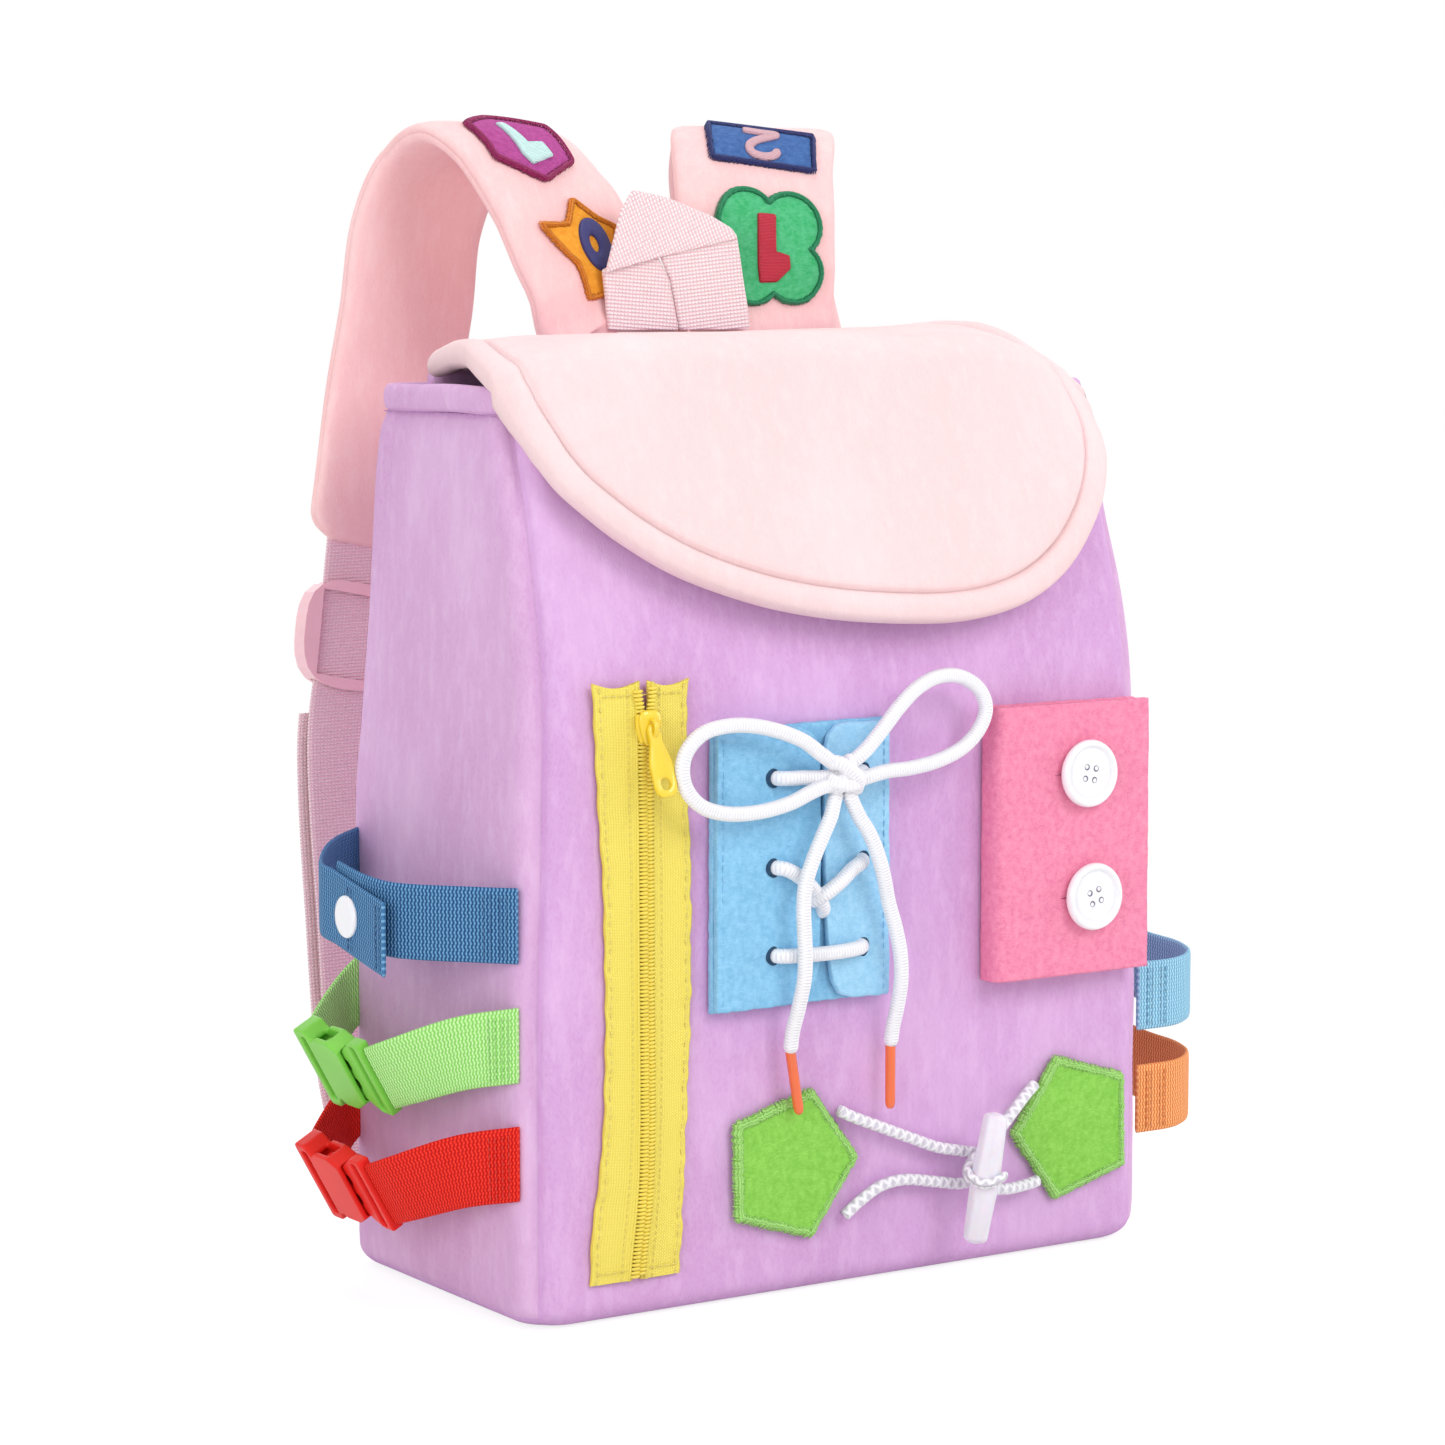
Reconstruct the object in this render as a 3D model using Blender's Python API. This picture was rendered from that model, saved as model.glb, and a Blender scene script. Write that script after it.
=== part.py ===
"""Plush busy board backpack for a small child.

A padded body stands on its base, its front facing -Y. A flap closes the mouth,
two padded shoulder straps arch over the back, and the front and the sides carry
fasteners to practise on: a zip, a laced felt door, a buttoned felt door, a toggle,
a snap strap, two side-release buckles and two hook-and-loop straps.

Metres, +Z up, origin at the centre of the base's flat underside.
"""
import math

import bpy
import bmesh
from mathutils import Matrix, Vector

for old in list(bpy.data.objects):
    bpy.data.objects.remove(old, do_unlink=True)

# Body
body_width = 0.252
body_top_width = 0.242
body_depth = 0.122
body_height = 0.302
wall = 0.005
lining_wall = 0.0012
hem_height = 0.008
front_lean = 0.027
front_lean_height = 0.112
front_lean_power = 1.6
back_lean = 0.013
back_lean_height = 0.152
back_lean_power = 1.5
narrow_height = 0.202
base_round = 0.016
front_corner = 0.009
back_corner = 0.014
seat_gap = 0.0003
overrun = 0.002

# Flap
flap_thickness = 0.009
flap_top_rise = 0.016
flap_fold_radius = 0.014
flap_fold_depth = 0.0735
flap_fold_angle = math.radians(70)
flap_half_width = 0.118
flap_rear_taper = 0.011
flap_drop = 0.0775
flap_ellipse_under = 0.002
flap_border = 0.010
flap_border_ease = 0.0009
flap_shift = 0.003
yoke_half_width = 0.106
yoke_height = 0.0143

# Carry handle
handle_width = 0.063
handle_height = 0.050
handle_thickness = 0.0022
handle_centre = 0.003
handle_gap = 0.0009

# Shoulder straps
pad_width = 0.060
pad_thickness = 0.010
strap_root_spread = 0.0313
strap_centre = 0.0095
strap_depth = 0.057
strap_rise = 0.090
strap_drift = 0.068
strap_toe_angle = math.radians(13)
strap_toe_start = 0.12
strap_toe_length = 0.08
strap_web_shift = 0.009
strap_web_drift = 0.013
strap_web_slope = 0.12
strap_web_toe_angle = math.radians(8)
web_width = 0.025
web_thickness = 0.0016
adjuster_height = 0.038
adjuster_width = 0.040
adjuster_thickness = 0.006
adjuster_bar = 0.004
adjuster_fit = 0.0007
adjuster_square = 3.0
anchor_height = 0.022
anchor_inset = 0.016

# Patches on the pads
patch_thickness = 0.0012
patch_size = 0.040
patch_lift = 0.0008

# Zip
zip_centre = -0.084
zip_bottom = 0.0135
zip_length = 0.195
zip_tape_width = 0.0145
zip_tape_thickness = 0.001
zip_coil_width = 0.0030
zip_coil_height = 0.0022
zip_gap = 0.0005
slider_length = 0.0115
slider_width = 0.0088
slider_wall = 0.0014
slider_height_share = 0.925
slider_fit = 0.0004
pull_length = 0.022
pull_width = 0.0082
pull_thickness = 0.0016
pull_lift_angle = math.radians(14)
pull_hole = 0.0020
bridge_height = 0.0036
bridge_length = 0.0050
bridge_wire = 0.0012

# Laced felt door
felt = 0.0022
lace_left = -0.059
lace_width = 0.070
lace_bottom = 0.098
lace_height = 0.094
lace_flap_meet = -0.0172
lace_flap_inset = 0.0012
lace_corner = 0.007
lace_diameter = 0.005
lace_hole_fit = 0.0004
eyelet_left = -0.0355
eyelet_right = -0.0015
eyelet_rows_shares = (0.190, 0.500, 0.815)
lace_lift = 0.0032

# Bow
knot_x = -0.0140
knot_height = 0.1750
knot_width = 0.0155
knot_tall = 0.0130
knot_depth = 0.0090
bow_out = 0.0085
aglet_length = 0.021
aglet_radius = 0.0017

# Buttoned felt door
door_left = 0.052
door_width = 0.066
door_bottom = 0.099
door_height = 0.094
door_depth = 0.0095
door_felt = 0.0026
button_radius = 0.0117
button_thickness = 0.0042
button_rim = 0.0016
button_dish = 0.0013
button_hole = 0.00105
button_hole_spacing = 0.0022
button_places_shares = ((0.560, 0.742), (0.600, 0.287))
shank_radius = 0.0022
slit_length = 0.026
slit_height = 0.0050

# Toggle
pentagon_radius = 0.0275
pentagon_thickness = 0.0024
pentagon_border = 0.0030
pentagon_border_rise = 0.0006
pentagon_left_x = -0.0270
pentagon_left_z = 0.0440
pentagon_right_x = 0.0920
pentagon_right_z = 0.0440
cord_diameter = 0.004
toggle_length = 0.0450
toggle_radius = 0.0050
toggle_end_radius = 0.0040
toggle_x = 0.0415
toggle_z = 0.0345
toggle_tilt = math.radians(11.5)
toggle_standoff = 0.0178
toggle_ring = 0.0018

# Side webbing, shared sizes
side_web_width = 0.0245
loop_out = 0.033
right_loop_out = 0.042
strap_overlap = 0.0006
seam_lift_share = 0.6
tab_free_length = 0.041
tab_start_y = 0.0145
tab_fall = 0.008

# Snap strap on the left side
blue_height = 0.132
snap_radius = 0.0070
snap_thickness = 0.0018
stud_radius = 0.0030
snap_place_share = 0.47

# Buckle straps on the left side
green_height = 0.0935
red_height = 0.0550
buckle_sag = 0.0155
rear_rise = 0.0165
buckle_out = 0.026
buckle_roll = math.radians(29)
buckle_width = 0.0285
buckle_thickness = 0.0090
buckle_wall = 0.0016
socket_length = 0.0270
socket_bar = 0.0035
plug_base_length = 0.0130
plug_bar = 0.0030
plug_thickness = 0.0052
prong_length = 0.0180
prong_width = 0.0042
prong_thickness = 0.0046
prong_spread = 0.0078
guide_width = 0.0040
buckle_front_y = -0.0080
window_length = 0.0110
buckle_fit = 0.0004
web_slot = 0.0034
waist_share = 0.74

# Hook-and-loop straps on the right side
lightblue_height = 0.0850
orange_height = 0.0480

front_face = -body_depth / 2
back_face = body_depth / 2
front_lean_start = body_height - front_lean_height
back_lean_start = body_height - back_lean_height
narrow_start = body_height - narrow_height
flap_top_height = body_height + flap_top_rise
flap_ellipse_height = body_height - flap_ellipse_under
flap_rear_half_width = flap_half_width - flap_rear_taper


def paint(name, colour, roughness, metallic=0.0):
    """A Principled material with one colour."""
    material = bpy.data.materials.new(name)
    material.use_nodes = True
    shader = material.node_tree.nodes["Principled BSDF"]
    shader.inputs["Base Color"].default_value = (*colour, 1.0)
    shader.inputs["Roughness"].default_value = roughness
    shader.inputs["Metallic"].default_value = metallic
    material.diffuse_color = (*colour, 1.0)
    return material


lilac = (0.680, 0.410, 0.690)
blush = (0.935, 0.720, 0.720)
pink_pad = (0.945, 0.600, 0.590)
pink_web = (0.850, 0.520, 0.590)
lining_grey = (0.500, 0.440, 0.560)
zip_yellow = (0.890, 0.740, 0.150)
sky_felt = (0.330, 0.640, 0.890)
rose_felt = (0.950, 0.300, 0.450)
lace_white = (0.900, 0.900, 0.930)
aglet_orange = (0.839, 0.159, 0.056)
button_white = (0.880, 0.880, 0.890)
leaf_felt = (0.310, 0.670, 0.110)
toggle_white = (0.847, 0.780, 0.850)
blue_web = (0.068, 0.184, 0.371)
green_web = (0.413, 0.823, 0.250)
green_plastic = (0.262, 0.571, 0.125)
red_web = (0.810, 0.023, 0.015)
red_plastic = (0.780, 0.036, 0.026)
sky_web = (0.250, 0.509, 0.672)
orange_web = (0.847, 0.305, 0.102)
magenta_patch = (0.423, 0.082, 0.279)
star_patch = (0.956, 0.376, 0.032)
clover_patch = (0.098, 0.491, 0.231)
block_patch = (0.070, 0.156, 0.485)
cloth_rough = 0.9
felt_rough = 0.95
web_rough = 0.7
plastic_rough = 0.35


def add_object(name, mesh_data, colour, roughness, smooth_angle=None):
    """Link a bmesh as a named object, its faces turned outwards."""
    bmesh.ops.recalc_face_normals(mesh_data, faces=mesh_data.faces)
    mesh = bpy.data.meshes.new(name)
    mesh_data.to_mesh(mesh)
    mesh_data.free()
    thing = bpy.data.objects.new(name, mesh)
    bpy.context.scene.collection.objects.link(thing)
    mesh.materials.append(paint(name, colour, roughness))
    if smooth_angle is not None:
        mesh.shade_smooth()
        mesh.set_sharp_from_angle(angle=smooth_angle)
    return thing


def add_loft(mesh_data, rings, closed=False):
    """Skin a list of equal rings of points; an open loft gets its two end faces."""
    rows = [[mesh_data.verts.new(point) for point in ring] for ring in rings]
    count = len(rows[0])
    spans = len(rows) if closed else len(rows) - 1
    for i in range(spans):
        lower, upper = rows[i], rows[(i + 1) % len(rows)]
        for j in range(count):
            k = (j + 1) % count
            mesh_data.faces.new((lower[j], lower[k], upper[k], upper[j]))
    if not closed:
        mesh_data.faces.new(rows[0])
        mesh_data.faces.new(rows[-1])


def add_slab(mesh_data, outer, inner):
    """Close two grids of points, a few millimetres apart, into one thick sheet."""
    grids = [[[mesh_data.verts.new(p) for p in row] for row in grid] for grid in (outer, inner)]
    rows, columns = len(outer), len(outer[0])
    for grid in grids:
        for i in range(rows - 1):
            for j in range(columns - 1):
                mesh_data.faces.new((grid[i][j], grid[i][j + 1], grid[i + 1][j + 1], grid[i + 1][j]))
    edge = [(0, j) for j in range(columns)]
    edge += [(i, columns - 1) for i in range(1, rows)]
    edge += [(rows - 1, j) for j in range(columns - 2, -1, -1)]
    edge += [(i, 0) for i in range(rows - 2, 0, -1)]
    for (i, j), (m, n) in zip(edge, edge[1:] + edge[:1]):
        mesh_data.faces.new((grids[0][i][j], grids[0][m][n], grids[1][m][n], grids[1][i][j]))


def add_prism(mesh_data, outline, low, high, place=None):
    """Extrude a closed outline of (across, up) pairs along its depth, low to high.

    The outline lies in the X-Z plane and the depth runs towards -Y.
    """
    place = place or Matrix.Identity(4)
    rings = [[place @ Vector((x, -depth, z)) for x, z in outline] for depth in (low, high)]
    add_loft(mesh_data, rings)


def box_outline(left, right, bottom, top):
    """Four corners of a plain rectangle."""
    return [(left, bottom), (right, bottom), (right, top), (left, top)]


def circle_outline(x, z, radius, count):
    """Points round a circle."""
    turn = 2 * math.pi / count
    return [(x + radius * math.cos(i * turn), z + radius * math.sin(i * turn)) for i in range(count)]


def cut(thing, name, outline, low, high, place=None):
    """Cut a prism out of an object with a hidden cutter."""
    mesh_data = bmesh.new()
    add_prism(mesh_data, outline, low, high, place)
    cutter = add_object(name, mesh_data, lining_grey, cloth_rough)
    cutter.hide_render = True
    cutter.display_type = "WIRE"
    boolean = thing.modifiers.new(name, "BOOLEAN")
    boolean.operation = "DIFFERENCE"
    boolean.solver = "EXACT"
    boolean.object = cutter
    return cutter


def join(thing, name, mesh_data):
    """Weld another shape on to an object with a hidden guide."""
    guide = add_object(name, mesh_data, lining_grey, cloth_rough)
    guide.hide_render = True
    guide.display_type = "WIRE"
    boolean = thing.modifiers.new(name, "BOOLEAN")
    boolean.operation = "UNION"
    boolean.solver = "EXACT"
    boolean.object = guide


def catmull(points, count):
    """Read `count` points, evenly spaced by knot, from a smooth curve through the points."""
    points = [Vector(p) for p in points]
    ends = [points[0] * 2 - points[1]] + points + [points[-1] * 2 - points[-2]]
    spans = len(points) - 1
    result = []
    for i in range(count):
        place = spans * i / (count - 1)
        k = min(int(place), spans - 1)
        t = place - k
        a, b, c, d = ends[k:k + 4]
        line = b * 2 + (c - a) * t
        bend = (a * 2 - b * 5 + c * 4 - d) * t ** 2 + (b * 3 - a - c * 3 + d) * t ** 3
        result.append((line + bend) / 2)
    return result


def even(points, count):
    """Space points evenly along a fine line."""
    lengths = [0.0]
    for a, b in zip(points, points[1:]):
        lengths.append(lengths[-1] + (b - a).length)
    result = []
    k = 0
    for i in range(count):
        target = lengths[-1] * i / (count - 1)
        while k < len(points) - 2 and lengths[k + 1] < target:
            k += 1
        t = (target - lengths[k]) / (lengths[k + 1] - lengths[k])
        result.append(points[k].lerp(points[k + 1], t))
    return result


def add_cords(name, routes, diameter, colour, step_diameters=2.4):
    """Round cords through hand-chosen points, one poly spline each, ends capped."""
    curve = bpy.data.curves.new(name, "CURVE")
    curve.dimensions = "3D"
    curve.bevel_depth = diameter / 2
    curve.bevel_resolution = 2
    curve.use_fill_caps = True
    for route in routes:
        fine = catmull(route, len(route) * 12)
        length = sum((b - a).length for a, b in zip(fine, fine[1:]))
        count = max(4, round(length / (step_diameters * diameter)) + 1)
        spline = curve.splines.new("POLY")
        spline.points.add(count - 1)
        for i, point in enumerate(even(fine, count)):
            spline.points[i].co = (*point, 1.0)
    thing = bpy.data.objects.new(name, curve)
    bpy.context.scene.collection.objects.link(thing)
    curve.materials.append(paint(name, colour, web_rough))
    return thing


def cord_mesh(route, diameter, step_diameters=1.6, sides=10):
    """A round cord through hand-chosen points as a mesh, for joining to another piece."""
    fine = catmull(route, len(route) * 12)
    length = sum((b - a).length for a, b in zip(fine, fine[1:]))
    path = even(fine, max(4, round(length / (step_diameters * diameter)) + 1))
    ahead = (path[1] - path[0]).normalized()
    side = ahead.orthogonal().normalized()
    rings = []
    for i, point in enumerate(path):
        along = (path[min(i + 1, len(path) - 1)] - path[max(i - 1, 0)]).normalized()
        side = ahead.rotation_difference(along) @ side
        ahead = along
        up = along.cross(side)
        turns = [2 * math.pi * j / sides for j in range(sides)]
        rings.append([point + (side * math.cos(t) + up * math.sin(t)) * (diameter / 2) for t in turns])
    mesh_data = bmesh.new()
    add_loft(mesh_data, rings)
    return mesh_data


def strip_rings(path, across, width, thickness, shift=0.0):
    """Rectangles along a path: `across` is the width direction at each point.

    `shift` moves the band off the path along its own normal, from its third point on.
    """
    rings = []
    for i, point in enumerate(path):
        ahead = path[min(i + 1, len(path) - 1)] - path[max(i - 1, 0)]
        side = across[i].normalized()
        normal = ahead.cross(side).normalized()
        centre = point + normal * (shift * min(1.0, i / 2))
        half, deep = side * (width / 2), normal * (thickness / 2)
        rings.append([centre - half - deep, centre + half - deep, centre + half + deep,
                      centre - half + deep])
    return rings


def add_strip(name, path, across, width, thickness, colour, shift=0.0):
    """One length of flat webbing as its own object."""
    mesh_data = bmesh.new()
    add_loft(mesh_data, strip_rings(path, across, width, thickness, shift))
    return add_object(name, mesh_data, colour, web_rough)


def half_width(z):
    """Half the body's width at height z."""
    rise = max(0.0, z - narrow_start) / (body_height - narrow_start)
    return body_width / 2 - rise * (body_width - body_top_width) / 2


def front_y(z):
    """The front panel's outer face at height z: upright, then leaning back to the mouth."""
    rise = max(0.0, z - front_lean_start) / (body_height - front_lean_start)
    return front_face + front_lean * rise ** front_lean_power


def back_y(z):
    """The back panel's outer face at height z."""
    rise = max(0.0, z - back_lean_start) / (body_height - back_lean_start)
    return back_face - back_lean * rise ** back_lean_power


def ring_point(z, inset, side, share, corner_steps_in):
    """One point of the body's plan outline, `inset` inside it.

    `side` is front, right, back or left; `share` runs 0 to 1 along that side from one
    corner's middle to the next, anticlockwise seen from above.
    """
    wide = half_width(z) - inset
    front, back = front_y(z) + inset, back_y(z) - inset
    front_r = max(front_corner - corner_steps_in, wall / 2)
    back_r = max(back_corner - corner_steps_in, wall / 2)
    corners = {
        "front": (Vector((-wide, front)), Vector((wide, front)), front_r, front_r),
        "right": (Vector((wide, front)), Vector((wide, back)), front_r, back_r),
        "back": (Vector((wide, back)), Vector((-wide, back)), back_r, back_r),
        "left": (Vector((-wide, back)), Vector((-wide, front)), back_r, front_r),
    }
    start, end, r0, r1 = corners[side]
    along = (end - start).normalized()
    inward = Vector((-along.y, along.x))
    bend = 0.12
    if share < bend:
        angle = math.pi / 4 * (1 - share / bend)
        centre = start + (along + inward) * r0
        return centre - inward * (r0 * math.cos(angle)) - along * (r0 * math.sin(angle))
    if share > 1 - bend:
        angle = math.pi / 4 * (share - 1 + bend) / bend
        centre = end + (inward - along) * r1
        return centre - inward * (r1 * math.cos(angle)) + along * (r1 * math.sin(angle))
    t = (share - bend) / (1 - 2 * bend)
    return (start + along * r0).lerp(end - along * r1, t)


side_shares = (0.0, 0.04, 0.08, 0.12, 0.31, 0.5, 0.69, 0.88, 0.92, 0.96, 1.0)
height_shares = (0.15, 0.33, 0.50, 0.63, 0.72, 0.80, 0.87, 0.93, 1.0)
round_turns_shares = (0.0, 0.25, 0.5, 0.75, 1.0)


def wall_levels(top, offset):
    """Height and inset of each row of a wall, from the base's edge up to `top`.

    `offset` is the depth below the outer face.
    """
    levels = []
    for share in round_turns_shares:
        turn = share * math.pi / 2
        reach = base_round - offset
        levels.append((base_round - reach * math.cos(turn), base_round - reach * math.sin(turn)))
    for share in height_shares:
        levels.append((base_round + (top - base_round) * share, offset))
    return levels


def wall_grid(side, top, offset, trim):
    """Rows of points of one panel's face, `offset` inside the outer face."""
    rows = []
    for z, inset in wall_levels(top, offset):
        row = []
        for share in side_shares:
            point = ring_point(z, inset, side, share, offset)
            row.append(Vector((point.x, point.y, z)))
        for end, other in ((0, 1), (-1, -2)):
            row[end] = row[end] + (row[other] - row[end]).normalized() * trim
        rows.append(row)
    return rows


def make_walls():
    """Front, back and side panels, each a padded sheet that wraps half of each corner."""
    top = body_height - hem_height - seat_gap
    for side, name in (("front", "front_panel"), ("right", "right_gusset"),
                       ("back", "back_panel"), ("left", "left_gusset")):
        mesh_data = bmesh.new()
        outer = wall_grid(side, top, 0.0, seat_gap / 2)
        inner = wall_grid(side, top, wall, seat_gap / 2)
        add_slab(mesh_data, outer, inner)
        add_object(name, mesh_data, lilac, cloth_rough, math.radians(40))


def full_outline(z, inset, corner_in):
    """The whole plan outline at one height, as points in order."""
    points = []
    for side in ("front", "right", "back", "left"):
        for share in side_shares[:-1]:
            point = ring_point(z, inset, side, share, corner_in)
            points.append(Vector((point.x, point.y, z)))
    return points


def make_base():
    """Flat bottom panel inside the rounded lower edge of the walls."""
    mesh_data = bmesh.new()
    inset = base_round + seat_gap
    low = full_outline(0.0, inset, 0.0)
    high = [point + Vector((0.0, 0.0, wall)) for point in low]
    add_loft(mesh_data, [low, high])
    add_object("base_panel", mesh_data, lilac, cloth_rough)


def make_hem():
    """Folded and stitched band round the mouth."""
    mesh_data = bmesh.new()
    low, high = body_height - hem_height, body_height
    rings = [full_outline(low, 0.0, 0.0), full_outline(high, 0.0, 0.0),
             full_outline(high, wall, wall), full_outline(low, wall, wall)]
    count = len(rings[0])
    bands = [[ring[i] for ring in rings] for i in range(count)]
    add_loft(mesh_data, bands, closed=True)
    add_object("mouth_hem", mesh_data, lilac, cloth_rough)


def make_lining():
    """Thin fleece bag inside the walls, open at the mouth."""
    mesh_data = bmesh.new()
    outer_inset = wall + seat_gap
    inner_inset = outer_inset + lining_wall
    top = body_height - hem_height
    floor = wall + seat_gap
    lining_shares = (0.33, 0.63, 0.80, 1.0)
    outer, inner = [], []
    for grid, inset, lift in ((outer, outer_inset, floor), (inner, inner_inset, floor + lining_wall)):
        reach = base_round - inset
        for share in round_turns_shares[2::2]:
            turn = share * math.pi / 2
            z = base_round - reach * math.cos(turn)
            grid.append(full_outline(max(z, lift), base_round - reach * math.sin(turn), inset))
        for share in lining_shares:
            z = base_round + (top - base_round) * share
            grid.append(full_outline(z, inset, inset))
    outer_rows = [[mesh_data.verts.new(p) for p in ring] for ring in outer]
    inner_rows = [[mesh_data.verts.new(p) for p in ring] for ring in inner]
    count = len(outer_rows[0])
    for rows in (outer_rows, inner_rows):
        for lower, upper in zip(rows, rows[1:]):
            for j in range(count):
                k = (j + 1) % count
                mesh_data.faces.new((lower[j], lower[k], upper[k], upper[j]))
        mesh_data.faces.new(rows[0])
    for j in range(count):
        k = (j + 1) % count
        mesh_data.faces.new((outer_rows[-1][j], outer_rows[-1][k], inner_rows[-1][k], inner_rows[-1][j]))
    add_object("lining", mesh_data, lining_grey, cloth_rough)


rim_back = back_y(body_height)
yoke_front = rim_back - wall
flap_rear = yoke_front - seat_gap
flap_fold_y = flap_rear - flap_fold_depth - seat_gap
flap_fold_z = flap_top_height - flap_fold_radius
flap_fold_length = flap_fold_radius * flap_fold_angle
flap_split = flap_fold_length / 2


def flap_frame(s):
    """Outer line of the flap at distance s past the start of its fold: point and normal."""
    angle = min(max(s / flap_fold_radius, 0.0), flap_fold_angle)
    y = flap_fold_y - flap_fold_radius * math.sin(angle)
    z = flap_fold_z + flap_fold_radius * math.cos(angle)
    if s < 0:
        y -= s
    if s > flap_fold_length:
        y -= (s - flap_fold_length) * math.cos(angle)
        z -= (s - flap_fold_length) * math.sin(angle)
    return Vector((y, z)), Vector((-math.sin(angle), math.cos(angle)))


def flap_point(x, s, depth):
    """A point of the flap, `depth` under its outer face."""
    line, normal = flap_frame(s)
    place = line - normal * depth
    return Vector((flap_shift + x, place.x, place.y))


def flap_half(s, inset):
    """Half the flap's width at distance s, `inset` inside its outline."""
    z = flap_frame(s)[0].y
    if s <= 0:
        share = min(1.0, -s / flap_fold_depth)
        return flap_half_width + (flap_rear_half_width - flap_half_width) * share - inset
    drop = max(0.0, flap_ellipse_height - z) / (flap_drop - inset)
    return (flap_half_width - inset) * math.sqrt(max(0.0, 1 - drop ** 2))


def flap_length(drop_share, inset):
    """Distance past the fold's start at which the flap has hung down by a share of its drop."""
    z = flap_ellipse_height - (flap_drop - inset) * drop_share
    end = flap_frame(flap_fold_length)[0].y
    return flap_fold_length + (end - z) / math.sin(flap_fold_angle)


def flap_rows(stations, inset, depth, columns):
    """Rows of points across the flap."""
    rows = []
    for s in stations:
        half = flap_half(s, inset)
        rows.append([flap_point(half * (2 * j / columns - 1), s, depth) for j in range(columns + 1)])
    return rows


def border_ring(centre, outward, normal, thickness):
    """Rounded section of the padded border: six points."""
    half = flap_border / 2 - seat_gap / 2
    soft = thickness * 0.28
    deep = thickness
    return [centre - outward * half - normal * soft, centre - outward * half * 0.6,
            centre + outward * half * 0.55, centre + outward * half - normal * soft,
            centre + outward * half - normal * (deep - soft), centre + outward * half * 0.5 - normal * deep,
            centre - outward * half * 0.6 - normal * deep, centre - outward * half - normal * (deep - soft)]


def make_flap_top():
    """The half of the flap that lies over the mouth."""
    mesh_data = bmesh.new()
    rear = -(flap_rear - flap_fold_y)
    stations = [rear, rear / 2, 0.0, flap_split / 2, flap_split - seat_gap / 2]
    add_slab(mesh_data, flap_rows(stations, 0.0, 0.0, 6), flap_rows(stations, 0.0, flap_thickness, 6))
    add_object("flap_top", mesh_data, blush, cloth_rough)


flap_drop_shares = (0.0, 0.26, 0.5, 0.71, 0.87, 0.97)


def make_flap_front():
    """The half of the flap that hangs down the front, and its padded border."""
    inset = flap_border + flap_border_ease
    start = flap_split + seat_gap / 2
    stations = [start, flap_fold_length] + [flap_length(share, inset) for share in flap_drop_shares]
    mesh_data = bmesh.new()
    add_slab(mesh_data, flap_rows(stations, inset, 0.0, 8), flap_rows(stations, inset, flap_thickness, 8))
    add_object("flap_front", mesh_data, blush, cloth_rough)

    mesh_data = bmesh.new()
    rings = []
    middle = flap_border / 2
    for hand in (-1, 1):
        side_rings = []
        for s in (start, flap_fold_length):
            x = hand * flap_half(s, middle)
            line, up = flap_frame(s)
            normal = Vector((0.0, up.x, up.y))
            ring = border_ring(flap_point(x, s, 0.0), Vector((hand, 0.0, 0.0)), normal, flap_thickness)
            side_rings.append(ring)
        arc_rings = []
        steps = 7
        for i in range(steps + (1 if hand > 0 else 0)):
            turn = math.pi / 2 * i / steps
            s = flap_length(math.sin(turn), middle)
            x = hand * (flap_half_width - middle) * math.cos(turn)
            line, up = flap_frame(s)
            normal = Vector((0.0, up.x, up.y))
            down = normal.cross(Vector((1.0, 0.0, 0.0)))
            if down.z > 0:
                down = -down
            outward = Vector((hand * math.cos(turn), 0.0, 0.0)) + down * math.sin(turn)
            arc_rings.append(border_ring(flap_point(x, s, 0.0), outward.normalized(), normal,
                                         flap_thickness))
        side_rings += arc_rings
        rings = rings + side_rings if hand < 0 else rings + side_rings[::-1]
    add_loft(mesh_data, rings)
    add_object("flap_border", mesh_data, blush, cloth_rough)


handle_shares = ((0.063, 0.0), (0.0, 0.42), (0.127, 0.86), (0.206, 1.0), (0.413, 0.96), (0.730, 0.82),
                 (0.857, 0.74), (0.905, 0.64), (1.0, 0.0), (0.537, 0.0), (0.390, 0.53), (0.378, 0.53),
                 (0.515, 0.0))


def make_yoke_and_handle():
    """Top seam of the back, where flap, handle and straps are sewn in, and the handle."""
    low = body_height + seat_gap
    mesh_data = bmesh.new()
    outline = box_outline(flap_shift - yoke_half_width, flap_shift + yoke_half_width, low, low + yoke_height)
    add_prism(mesh_data, outline, -rim_back, -yoke_front)
    yoke = add_object("back_yoke", mesh_data, lilac, cloth_rough)
    near = -(rim_back + seat_gap)
    far = near - handle_thickness
    top = low + yoke_height + overrun
    left = handle_centre - handle_width / 2
    for start, end in ((handle_shares[0][0], handle_shares[-1][0]), (handle_shares[9][0], 1.0)):
        outline = box_outline(left + start * handle_width, left + end * handle_width, low, top)
        mesh_data = bmesh.new()
        add_prism(mesh_data, outline, far, -rim_back + wall / 2)
        join(yoke, "handle_root", mesh_data)
    mesh_data = bmesh.new()
    outline = [(left + x * handle_width, top + handle_gap + z * handle_height) for x, z in handle_shares]
    add_prism(mesh_data, outline, far, near)
    return add_object("carry_handle", mesh_data, pink_web, web_rough)


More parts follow.
